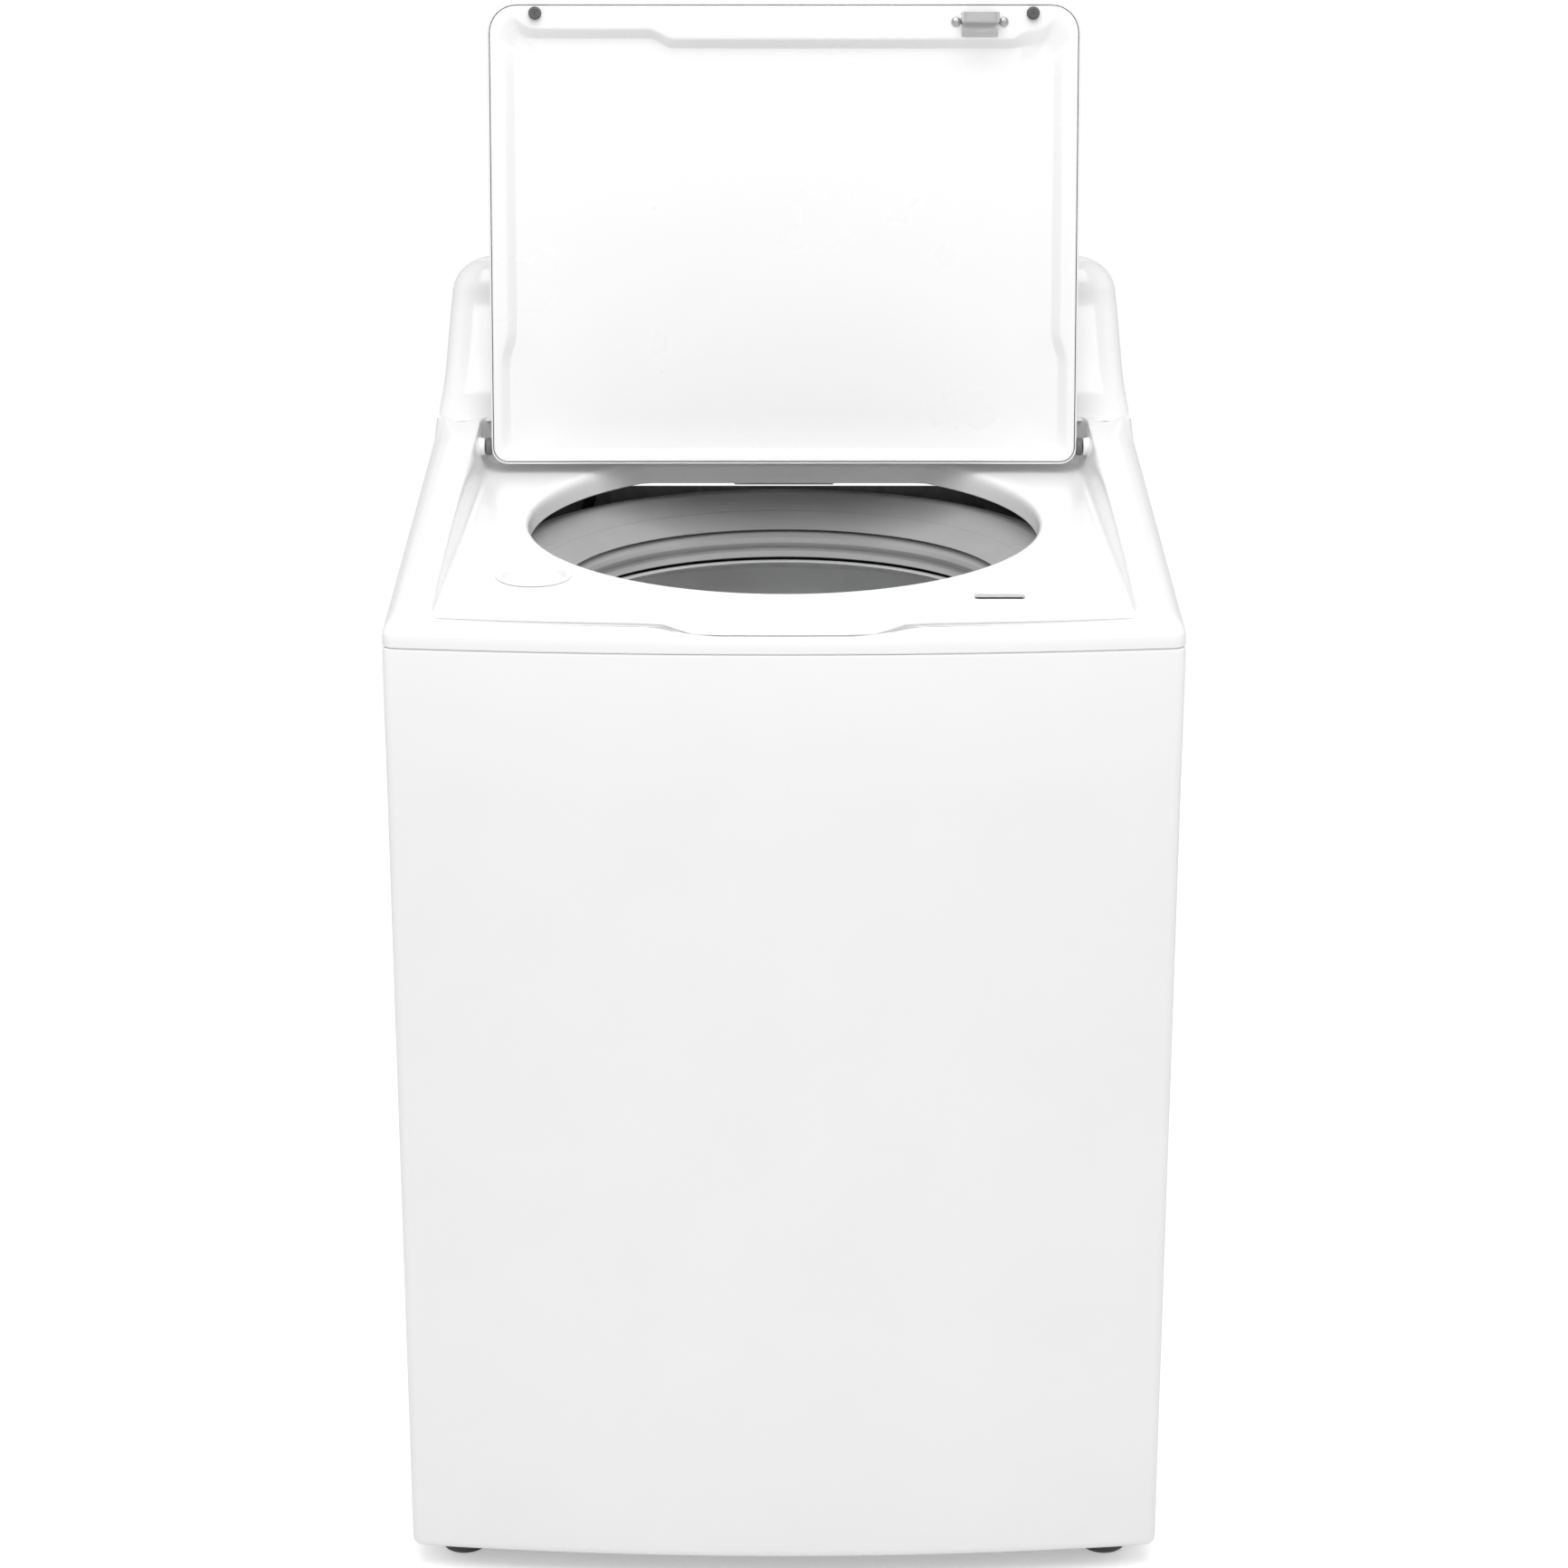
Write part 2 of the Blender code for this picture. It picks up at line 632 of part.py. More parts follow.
def make_lid_liner(lid):
    t, rim = LID_SKIN, LID_SKIN + 0.0006
    side, tail, front = LID_HALF - rim, LID_TAIL - rim, LID_REACH - rim
    right = [(side - 0.014, tail), (side - 0.0041, tail - 0.0041), (side, tail - 0.014), (side, -0.06),
        (side, -0.12)]
    right += [(side, -front + 0.0619), (side, -front + 0.026), (side - 0.0076, -front + 0.0076)]
    across = [(side - 0.026) * (1 - 2 * i / 28) for i in range(29)]
    edge = right + [(x, -front) for x in across] + [(-x, y) for x, y in reversed(right)]
    under = [(edge, LID_RIM), (pan_loop(0), LID_RIM), (pan_loop(PAN_SLOPE), PAN_FLOOR)]
    over = [(edge, LID_RIM + t), (pan_loop(-t), LID_RIM + t), (pan_loop(PAN_SLOPE - t), PAN_FLOOR + t)]
    sequence = list(reversed(under)) + over
    liner = place("lid_liner", lofted([[(x, y, z) for x, y in points] for points, z in sequence]),
        WHITE, lid)
    cut(liner, pin_cutter("cut_lid_liner", lid))
    slot = block(
        (STRIKE_X - STRIKE_HALF - GAP, -STRIKE_REACH - 0.0055, LID_RIM - 0.01),
        (STRIKE_X + STRIKE_HALF + GAP, -STRIKE_REACH + 0.0055, LID_RIM + 0.005),
    )
    cut(liner, helper("cut_strike_slot", slot, lid))
    for side, sign in (("left", -1), ("right", 1)):
        hole = turned([(0, -0.02), (0.0021, -0.02), (0.0021, -0.004), (0, -0.004)], 12)
        cut(liner, helper(f"cut_screw_{side}", hole, lid,
            (STRIKE_X + sign * SCREW_OFFSET, -STRIKE_REACH + 0.003, 0)))
        stem = turned([(0, -0.02), (0.0033, -0.02), (0.0033, -0.004), (0, -0.004)], 12)
        cut(liner, helper(f"cut_bumper_{side}", stem, lid, (sign * BUMPER_X, -BUMPER_REACH, 0)))
    return liner


def make_lid_strike(lid):
    """A bent loop that passes through the liner's front flange, with a hidden base plate and a flat apron."""
    left, right = STRIKE_X - STRIKE_HALF, STRIKE_X + STRIKE_HALF
    tip, top = LID_RIM - STRIKE_DROP, LID_RIM + LID_SKIN + GAP
    near, far = -STRIKE_REACH + 0.0045, -STRIKE_REACH - 0.0045
    base = (left - 0.011, far + 0.0005, top), (right + 0.011, near - 0.0005, top + 0.0015)
    strike = place("lid_strike", block(*base), STAINLESS, lid)
    walls = {
        "left": ((left, far, tip), (left + STRIKE_SHEET, near, top + 0.001)),
        "right": ((right - STRIKE_SHEET, far, tip), (right, near, top + 0.001)),
        "bar": ((left, far, tip), (right, near, tip + STRIKE_SHEET + 0.0005)),
        "apron": ((left + 0.0005, near - 0.001, LID_RIM - 0.0025),
            (right - 0.0005, -MOUTH_FRONT + 0.0005, LID_RIM - GAP)),
        "neck": ((left + 0.001, near - 0.0015, LID_RIM - 0.0025), (right - 0.001, near, top + 0.001)),
    }
    for name, (low, high) in walls.items():
        join(strike, helper(f"strike_{name}", block(low, high), lid))
    for side, sign in (("left", -1), ("right", 1)):
        hole = turned([(0, -0.02), (0.0021, -0.02), (0.0021, 0.02), (0, 0.02)], 12)
        x = STRIKE_X + sign * SCREW_OFFSET
        cut(strike, helper(f"cut_strike_{side}", hole, lid, (x, -STRIKE_REACH + 0.003, 0)))
        head = [(0, LID_RIM - 0.0030), (0.0030, LID_RIM - 0.0027), (0.0042, LID_RIM - 0.0012),
            (0.0042, LID_RIM - GAP)]
        head += [(0.0017, LID_RIM - GAP), (0.0017, -0.0015), (0, -0.0015)]
        place(f"strike_screw_{side}", turned(head, 16), STAINLESS, lid, (x, -STRIKE_REACH + 0.003, 0))
    return strike


def make_bumpers(lid):
    low = LID_RIM - BUMPER_HEIGHT
    profile = [(0, low + 0.0015), (0.0015, low + 0.0015), (0.0022, low), (BUMPER_RADIUS - 0.0012, low)]
    profile += [(BUMPER_RADIUS, low + 0.0015), (BUMPER_RADIUS, LID_RIM - GAP), (0.0029, LID_RIM - GAP)]
    profile += [(0.0029, LID_RIM + LID_SKIN + 0.001), (0, LID_RIM + LID_SKIN + 0.001)]
    for side, sign in (("left", -1), ("right", 1)):
        place(f"lid_bumper_{side}", turned(profile, 16), RUBBER, lid, (sign * BUMPER_X, -BUMPER_REACH, 0))


def make_hinge_pins(lid):
    inner, outer = LID_HALF - RAIL - 0.001, LID_HALF + 0.013
    collar = LID_HALF + GAP
    profile = [(0, inner), (PIN_RADIUS, inner), (PIN_RADIUS, collar), (0.0085, collar),
        (0.0085, collar + 0.0018)]
    profile += [(PIN_RADIUS, collar + 0.0018), (PIN_RADIUS, outer), (0, outer)]
    for side, sign in (("left", -1), ("right", 1)):
        place(f"hinge_pin_{side}", turned(profile, 16), DARK_GREY, lid, (0, 0, 0),
            (0, math.radians(90 * sign), 0))


def make_lid():
    lid = empty("lid_axis", (0, HINGE_Y, HINGE_Z), (math.radians(-OPEN_ANGLE), 0, 0))
    make_lid_skin(lid)
    make_lid_liner(lid)
    make_lid_strike(lid)
    make_bumpers(lid)
    make_hinge_pins(lid)


# ---- lid lock ----
def make_lid_lock():
    top, floor = deck_at(LOCK_SLOT_Y - 0.047) - COVER_WALL - GAP, SEAM + 0.0065
    x0, x1 = STRIKE_X - 0.032, STRIKE_X + 0.032
    rear, front = LOCK_SLOT_Y + 0.023, LOCK_SLOT_Y - 0.047
    housing = place("lid_lock_housing", block((x0, front, floor), (x1, rear, top)), BLACK)
    solenoid = block((x0 + 0.004, front, SEAM - 0.020), (x1 - 0.004, LOCK_SLOT_Y - 0.014, floor + 0.002))
    join(housing, helper("lock_solenoid_box", solenoid))
    slot = block(
        (STRIKE_X - 0.022, LOCK_SLOT_Y - LOCK_SLOT_HALF, floor + 0.0015),
        (STRIKE_X + 0.022, LOCK_SLOT_Y + LOCK_SLOT_HALF, top + 0.01),
    )
    cut(housing, helper("cut_housing_slot", slot))
    low, gap = BOLT_Z, 0.0006
    tip = LOCK_SLOT_Y - 0.0135
    channel = block(
        (STRIKE_X - BOLT_HALF - gap, tip - BOLT_LENGTH - gap, low - gap),
        (STRIKE_X + BOLT_HALF + gap, LOCK_SLOT_Y, low + BOLT_THICK + gap),
    )
    cut(housing, helper("cut_bolt_channel", channel))
    bolt = block((-BOLT_HALF, -BOLT_LENGTH, 0), (BOLT_HALF, 0, BOLT_THICK))
    place("lid_lock_bolt", bolt, STAINLESS, None, (STRIKE_X, tip, low))


# ---- console ----
def console_section(height):
    """(half width, front y, rear y, corner radius) of the console at a height above the seam."""
    stations = [
        (0.0900, 0.3425, 0.530), (0.0960, 0.3420, 0.545), (0.1060, 0.3405, 0.558), (0.1230, 0.3385, 0.570),
        (0.1850, 0.3335, 0.596), (0.1960, 0.3323, 0.601),
    ]
    top = CONSOLE_TOP - SEAM
    start, (low, half, behind) = stations[-1][0], stations[-1]
    if height > start:
        turn = math.asin((height - start) / (top - start))
        half -= 0.038 * (1 - math.cos(turn))
        behind += 0.022 * (1 - math.cos(turn))
    else:
        for (z0, h0, b0), (z1, h1, b1) in zip(stations, stations[1:]):
            if z0 <= height <= z1:
                t = (height - z0) / (z1 - z0)
                half, behind = h0 + (h1 - h0) * t, b0 + (b1 - b0) * t
    return half, REAR - 0.664 + behind, REAR - 0.0005 - 0.012 * smoothstep(top - 0.022, top, height), 0.026


def console_loops():
    top = CONSOLE_TOP - SEAM
    levels = [0.0900, 0.0960, 0.1060, 0.1230, 0.1850, 0.1960, top - 0.023, top - 0.011, top - 0.003, top]
    outside, inside = [], []
    for level in levels:
        half, front, rear, radius = console_section(level)
        height = SEAM + level + GAP * (level < 0.0901)
        outside.append([(x, y, height) for x, y in console_loop(half, front, rear, radius)])
        w = CONSOLE_WALL
        height -= w * smoothstep(top - 0.042, top, level)
        inner = console_loop(half - w, front + w, rear - w, radius - w)
        inside.append([(x, y, height) for x, y in inner])
    return list(reversed(inside)) + outside


def console_loop(half, front, rear, radius):
    return lid_loop(half, -front, rear, radius, 0.012, 1, 4)


def fascia_frame():
    return empty("fascia_frame", (0, FASCIA_Y, FASCIA_Z), (math.radians(-FASCIA_TILT), 0, 0))


def make_console(frame):
    shell = place("console_shell", lofted(console_loops()), WHITE)
    clear = 0.0006
    window = block(
        (-FASCIA_HALF_WIDTH - clear, -0.035, -FASCIA_HALF_HEIGHT - clear),
        (FASCIA_HALF_WIDTH + clear, 0.022, FASCIA_HALF_HEIGHT + clear),
    )
    cut(shell, helper("cut_fascia_window", window, frame))
    back = block((-0.26 - clear, REAR - 0.02, SEAM + 0.105 - clear),
        (0.26 + clear, REAR + 0.02, SEAM + 0.195 + clear))
    cut(shell, helper("cut_console_back", back))
    plate = block((-0.26, REAR - CONSOLE_WALL, SEAM + 0.105),
        (0.26, REAR - CONSOLE_WALL + SHEET, SEAM + 0.195))
    place("console_rear_cover", plate, GALVANISED)
    return shell


def knob_profile(radius, height):
    skirt = radius * 1.12
    return [
        (0, height), (radius * 0.72, height), (radius * 0.86, height - 0.0015), (radius * 0.92, 0.005),
        (skirt, 0.0035), (skirt, 0.0012), (KNOB_SHAFT, 0.0012), (KNOB_SHAFT, -0.018), (0, -0.018),
    ]


def make_controls(frame):
    half, tall, thick = FASCIA_HALF_WIDTH, FASCIA_HALF_HEIGHT, FASCIA_THICK
    fascia = place("control_fascia", block((-half, 0, -tall), (half, thick, tall)), LIGHT_GREY, frame)
    facing = (math.radians(90), 0, 0)
    for number, x in enumerate((*SELECTOR_X, CYCLE_KNOB_X)):
        wall = KNOB_SHAFT + RUNNING_GAP
        hole = turned([(0, -0.02), (wall, -0.02), (wall, 0.02), (0, 0.02)], 16)
        cut(fascia, helper(f"cut_knob_{number}", hole, frame, (x, 0, 0), facing))
    press = 0.011
    hole = turned([(0, -0.02), (press, -0.02), (press, 0.02), (0, 0.02)], 20)
    cut(fascia, helper("cut_start_button", hole, frame, (START_BUTTON_X, 0, 0), facing))
    knob = place("cycle_knob", turned(knob_profile(CYCLE_KNOB_RADIUS, 0.020), 28), LIGHT_GREY, frame,
                 (CYCLE_KNOB_X, 0, 0), facing)
    join(knob, helper("cycle_knob_grip", block((-0.0045, -0.022, 0.010), (0.0045, 0.022, 0.0225)), knob))
    for name, x in zip(("load_size_knob", "water_temperature_knob"), SELECTOR_X):
        knob = place(name, turned(knob_profile(SELECTOR_RADIUS, 0.015), 20), LIGHT_GREY, frame,
            (x, 0, 0), facing)
        join(knob, helper(f"{name}_grip", block((-0.003, -0.0125, 0.008), (0.003, 0.0125, 0.017)), knob))
    inner = press - RUNNING_GAP
    button = [(0, 0.0032), (inner - 0.0015, 0.0032), (inner, 0.002), (inner, -0.004),
        (inner + 0.002, -0.004)]
    button += [(inner + 0.002, -0.006), (0, -0.006)]
    place("start_button", turned(button, 20), LIGHT_GREY, frame, (START_BUTTON_X, 0, 0), facing)
    place("control_board", block((0.03, 0.0200, -0.034), (0.25, 0.0320, 0.034)), GREEN, frame)
    sensor = turned([(0, 0), (0.022, 0), (0.022, 0.014), (0.006, 0.016), (0.004, 0.026), (0, 0.026)], 16)
    place("pressure_sensor", sensor, PLASTIC_WHITE, frame, (-0.20, 0.046, -0.004), facing)


# ---- tub, basket and drive ----
def make_outer_tub():
    r, t, floor = TUB_RADIUS, TUB_WALL, TUB_FLOOR
    profile = [
        (0.030, floor), (0.120, floor), (0.235, floor + 0.010), (0.272, floor + 0.030), (r,
            floor + 0.060), (r, TUB_TOP),
        (r - t, TUB_TOP), (r - t, floor + 0.062), (0.269, floor + 0.034), (0.233, floor + 0.014),
        (0.120, floor + t), (0.030, floor + t),
    ]
    tub = place("outer_tub", turned(profile), LIGHT_GREY, None, (0, AXIS_Y, 0))
    for number, (x, y) in enumerate(rod_places()):
        angle = math.atan2(y - AXIS_Y, x)
        reach = math.hypot(x, y - AXIS_Y)
        arm = block((r - t / 2, -0.020, EAR_BOTTOM), (reach + 0.018, 0.020, EAR_BOTTOM + EAR_THICK))
        join(tub, helper(f"tub_ear_{number}", arm, tub, (0, 0, 0), (0, 0, angle)))
    for number, (x, y) in enumerate(rod_places()):
        wall = ROD_RADIUS + 0.0025
        hole = turned([(0, EAR_BOTTOM - 0.01), (wall, EAR_BOTTOM - 0.01), (wall, EAR_BOTTOM + 0.03),
            (0, EAR_BOTTOM + 0.03)], 12)
        cut(tub, helper(f"cut_ear_{number}", hole, tub, (x, y - AXIS_Y, 0)))
    return tub


def make_tub_cover():
    """The ring that closes the tub's top and leads into the basket."""
    r = TUB_RADIUS
    top, low = SEAM + 0.004, SEAM - 0.025
    profile = [
        (r + 0.0005, TUB_TOP - 0.010), (r + 0.0035, TUB_TOP - 0.010), (r + 0.0035, TUB_TOP + 0.0035),
        (0.258, top), (0.252, top), (0.240, top - 0.008), (0.2075, low), (0.2105, low),
        (0.241, top - 0.0115), (0.253, top - 0.0035), (r + 0.0005, TUB_TOP + GAP),
    ]
    return place("tub_cover", turned(profile), LIGHT_GREY, None, (0, AXIS_Y, 0))


def make_basket():
    r, t = BASKET_RADIUS, BASKET_WALL
    lip = RING_INNER - 0.003
    under = RING_BOTTOM + 0.0195  # height of the ring's underside at its bore
    profile = [
        (0.238, BASKET_FLOOR), (0.252, BASKET_FLOOR + 0.003), (r, BASKET_FLOOR + 0.020), (r,
            RING_BOTTOM - 0.0025),
        (RING_INNER + 0.007, under - 0.0028), (lip + 0.0025, under - 0.0015), (lip, under - 0.003),
        (lip + 0.0025, under - 0.0055), (RING_INNER + 0.008, under - 0.0047), (r - t, RING_BOTTOM - 0.0050),
        (r - t, BASKET_FLOOR + 0.021), (0.251, BASKET_FLOOR + 0.003 + t), (0.238, BASKET_FLOOR + t),
    ]
    place("basket_drum", turned(profile), STAINLESS, None, (0, AXIS_Y, 0))
    ring = [
        (r + 0.002, RING_BOTTOM), (r + 0.002, RING_TOP - 0.007), (r - 0.004,
            RING_TOP), (RING_INNER + 0.009, RING_TOP),
        (RING_INNER + 0.0015, RING_TOP - 0.0055), (RING_INNER, RING_TOP - 0.010), (RING_INNER + 0.004,
            RING_TOP - 0.0175),
        (RING_INNER + 0.0005, RING_TOP - 0.024), (RING_INNER + 0.007, under),
    ]
    place("balance_ring", turned(ring), LIGHT_GREY, None, (0, AXIS_Y, 0))
    inner, outer = SHAFT_RADIUS + RUNNING_GAP, HUB_TUBE
    hub = [
        (inner, 0.190), (outer, 0.190), (outer, BASKET_FLOOR - 0.012), (0.050, BASKET_FLOOR - 0.008),
        (0.240, BASKET_FLOOR - 0.004), (0.249, BASKET_FLOOR - 0.001), (0.249, BASKET_FLOOR - GAP),
        (0.2375, BASKET_FLOOR - GAP), (0.2375, BASKET_FLOOR + 0.006), (0.060, BASKET_FLOOR + 0.008),
        (0.030, BASKET_FLOOR + 0.030), (inner, BASKET_FLOOR + 0.030),
    ]
    place("basket_hub", turned(hub), PLASTIC_WHITE, None, (0, AXIS_Y, 0))


def make_agitator():
    low = BASKET_FLOOR + 0.016
    top = AGITATOR_TOP
    outer = [(0, top), (0.030, top), (0.030, top - 0.090), (0.045, top - 0.094), (0.050, low + 0.120)]
    outer += [(0.060, low + 0.070), (0.088, low + 0.034), (0.140, low + 0.010), (0.165, low)]
    inner = [(0.162, low - 0.0001), (0.138, low + 0.007), (0.086, low + 0.030), (0.056, low + 0.066),
        (0.046, low + 0.118)]
    inner += [(0.040, top - 0.099), (SHAFT_RADIUS + GAP, top - 0.100),
        (SHAFT_RADIUS + GAP, top - 0.020), (0, top - 0.020)]
    agitator = place("agitator", turned(outer + inner, 24), PLASTIC_WHITE, None, (0, AXIS_Y, 0))
    for number in range(4):
        vane = [(0.034, top - 0.100), (0.054, top - 0.110), (0.070, low + 0.110), (0.118, low + 0.062),
            (0.158, low + 0.004)]
        vane += [(0.140, low + 0.0085), (0.087, low + 0.032), (0.058, low + 0.068), (0.0475, low + 0.119)]
        bm = lofted([[(r, y, z) for r, z in vane] for y in (-0.004, 0.004)])
        join(agitator, helper(f"agitator_vane_{number}", bm, agitator, (0, 0, 0),
            (0, 0, math.pi / 2 * number)))


def make_auger():
    """The upper part of the agitator: a sleeve on the post with a pair of screw flights."""
    low, high = AGITATOR_TOP - 0.086, AUGER_TOP
    bore = 0.030 + RUNNING_GAP + 0.0004
    sleeve = [(bore, low), (0.036, low), (0.036, high), (bore, high)]
    auger = place("auger", turned(sleeve, 24), PLASTIC_WHITE, None, (0, AXIS_Y, 0))
    steps, turns, thick = 16, 0.85, 0.004
    for number in range(2):
        loops = []
        for i in range(steps + 1):
            t = i / steps
            angle = math.pi * number + 2 * math.pi * turns * t
            z = low + 0.008 + (high - low - 0.030) * t
            reach = 0.037 + 0.043 * math.sin(math.pi * min(1, 0.12 + t)) ** 0.6
            section = [(0.034, z), (reach, z - 0.004), (reach, z - 0.004 + thick),
                (0.034, z + thick + 0.003)]
            loops.append([(r * math.cos(angle), r * math.sin(angle), height) for r, height in section])
        join(auger, helper(f"auger_flight_{number}", lofted(loops), auger))


def make_softener_cup():
    low = AGITATOR_TOP + GAP + 0.0003
    reach = 0.0295
    profile = [(0, low), (reach, low), (reach, AUGER_TOP + GAP + 0.0006), (0.040, AUGER_TOP + GAP + 0.0006)]
    profile += [(0.043, AUGER_TOP + 0.010), (0.036, AUGER_TOP + 0.020), (0.024, AUGER_TOP + 0.022)]
    profile += [(0.024, AUGER_TOP - 0.010), (0.022, low + 0.003), (0, low + 0.003)]
    place("softener_cup", turned(profile, 24), PLASTIC_WHITE, None, (0, AXIS_Y, 0))


def make_drive():
    low = PULLEY_Z - PULLEY_THICK / 2 - 0.010
    shaft = [(0, low), (SHAFT_RADIUS - 0.0002, low), (SHAFT_RADIUS - 0.0002, AGITATOR_TOP - 0.021),
        (0, AGITATOR_TOP - 0.021)]
    place("drive_shaft", turned(shaft, 24), STAINLESS, None, (0, AXIS_Y, 0))
    place("drive_pulley", pulley(DRIVE_PULLEY_RADIUS, SHAFT_RADIUS + GAP, 28), GALVANISED, None,
        (0, AXIS_Y, 0))
    bore = HUB_TUBE + RUNNING_GAP
    case = [
        (bore, 0.194), (0.034, 0.194), (0.038, 0.205), (0.060, 0.212), (0.060, 0.290), (0.090, 0.318),
        (0.110, TUB_FLOOR - GAP), (0.029, TUB_FLOOR - GAP), (0.029, TUB_FLOOR + 0.008), (bore,
            TUB_FLOOR + 0.008),
    ]
    place("gearcase", turned(case, 24), GALVANISED, None, (0, AXIS_Y, 0))
    y = AXIS_Y + MOTOR_OFFSET
    motor = [
        (0.0075, 0.196), (0.030, 0.196), (0.032, 0.202), (MOTOR_RADIUS, 0.204), (MOTOR_RADIUS, 0.298),
        (0.050, 0.306), (0, 0.306), (0, 0.212), (0.0075, 0.212),
    ]
    body = place("drive_motor", turned(motor, 24), DARK_GREY, None, (0, y, 0))
    mount = block((-0.030, -MOTOR_OFFSET + 0.078, 0.286), (0.030, -0.040, 0.298))
    join(body, helper("motor_bracket", mount, body))
    rotor = pulley(MOTOR_PULLEY_RADIUS, 0, 20)
    place("motor_pulley", rotor, GALVANISED, None, (0, y, 0))
    make_belt(y)


def pulley(radius, bore, steps):
    """A grooved pulley. With no bore it carries its own short shaft upwards."""
    low, high = PULLEY_Z - PULLEY_THICK / 2, PULLEY_Z + PULLEY_THICK / 2
    groove = radius - 0.001
    rim = [
        (radius + 0.004, low), (radius + 0.004, low + 0.002), (groove, low + 0.003), (groove, high - 0.003),
        (radius + 0.004, high - 0.002), (radius + 0.004, high),
    ]
    if bore:
        web = [(bore, low + 0.002), (0.024, low + 0.002), (0.026, low + 0.006),
            (radius - 0.010, low + 0.006)]
        back = [(radius - 0.010, high - 0.006), (bore, high - 0.006)]
        return turned(web + rim + back, steps)
    return turned([(0, low), *rim, (0.0068, high), (0.0068, 0.211), (0, 0.211)], steps)


def belt_outline(offset, y):
    """The belt's run round both pulleys, seen from above."""
    big, small = DRIVE_PULLEY_RADIUS + offset, MOTOR_PULLEY_RADIUS + offset
    lean = math.asin((big - small) / MOTOR_OFFSET)
    points = []
    for i in range(21):
        angle = lean + (-math.pi - 2 * lean) * i / 20
        points.append((big * math.cos(angle), AXIS_Y + big * math.sin(angle)))
    for i in range(11):
        angle = math.pi + lean - (math.pi + 2 * lean) * i / 10
        points.append((small * math.cos(angle), y + small * math.sin(angle)))
    return points


def make_belt(y):
    low, high = PULLEY_Z - BELT_WIDTH / 2, PULLEY_Z + BELT_WIDTH / 2
    near, far = GAP, GAP + BELT_THICK
    loops = [(near, low), (far, low), (far, high), (near, high)]
    bm = lofted([[(x, py, z) for x, py in belt_outline(offset, y)] for offset, z in loops], ring=True)
    place("drive_belt", bm, BLACK)


def make_pump():
    """The drain pump hangs under the tub, with an inlet from the tub's floor and an outlet to the hose."""
    body = [(0, 0.215), (0.030, 0.215), (0.032, 0.220), (0.032, 0.262), (0.042, 0.264), (0.042, 0.296)]
    body += [(0.014, 0.296), (0.014, TUB_FLOOR - GAP), (0, TUB_FLOOR - GAP)]
    pump = place("drain_pump", turned(body, 20), BLACK, None, (PUMP_X, PUMP_Y, 0))
    outlet = turned([(0, 0.010), (0.0105, 0.010), (0.0105, 0.055), (0, 0.055)], 13)
    join(pump, helper("pump_outlet", outlet, pump, (0, 0, 0.280), (0, math.radians(90), 0)))


def make_hoses():
    """The drain hose from the pump to the rear outlet, and the fill hose from the valve to the spout."""
    start = PUMP_X + 0.055 + GAP
    end = REAR - REAR_PANEL_INSET - 0.036
    route = [
        (start, PUMP_Y, 0.280), (start + 0.020, PUMP_Y + 0.004, 0.279), (0.262, -0.045, 0.272), (0.296,
            0.020, 0.268),
        (0.306, 0.090, 0.280), (0.309, 0.150, 0.330), (0.310, 0.190, 0.420), (0.310, 0.205, 0.560),
        (0.308, 0.208, 0.680), (0.296, 0.214, 0.755), (0.262, 0.232, 0.792), (0.222, 0.252, DRAIN_Z),
        (0.203, 0.268, DRAIN_Z), (DRAIN_X, end, DRAIN_Z),
    ]
    tube("drain_hose", smooth_path(route, 3), HOSE_RADIUS, BLACK)
    start_z = INLET_Z + 0.028 + GAP
    feed = [
        (-0.200, 0.300, start_z), (-0.200, 0.300, start_z + 0.008), (-0.200, 0.300, start_z + 0.016),
        (-0.192, 0.302, start_z + 0.036), (-0.168, 0.304, SPOUT_Z - 0.003), (-0.130, 0.304, SPOUT_Z),
        (-0.100, 0.300, SPOUT_Z), (-0.075, 0.299, SPOUT_Z), (-0.0504, 0.299, SPOUT_Z),
    ]
    tube("fill_hose", smooth_path(feed, 3), 0.006, BLACK)


# ---- suspension ----
def rod_places():
    return [(sx * ROD_X, AXIS_Y + sy * ROD_OFFSET) for sy in (-1, 1) for sx in (-1, 1)]


def corner_names():
    return [f"{end}_{side}" for end in ("front", "rear") for side in ("left", "right")]


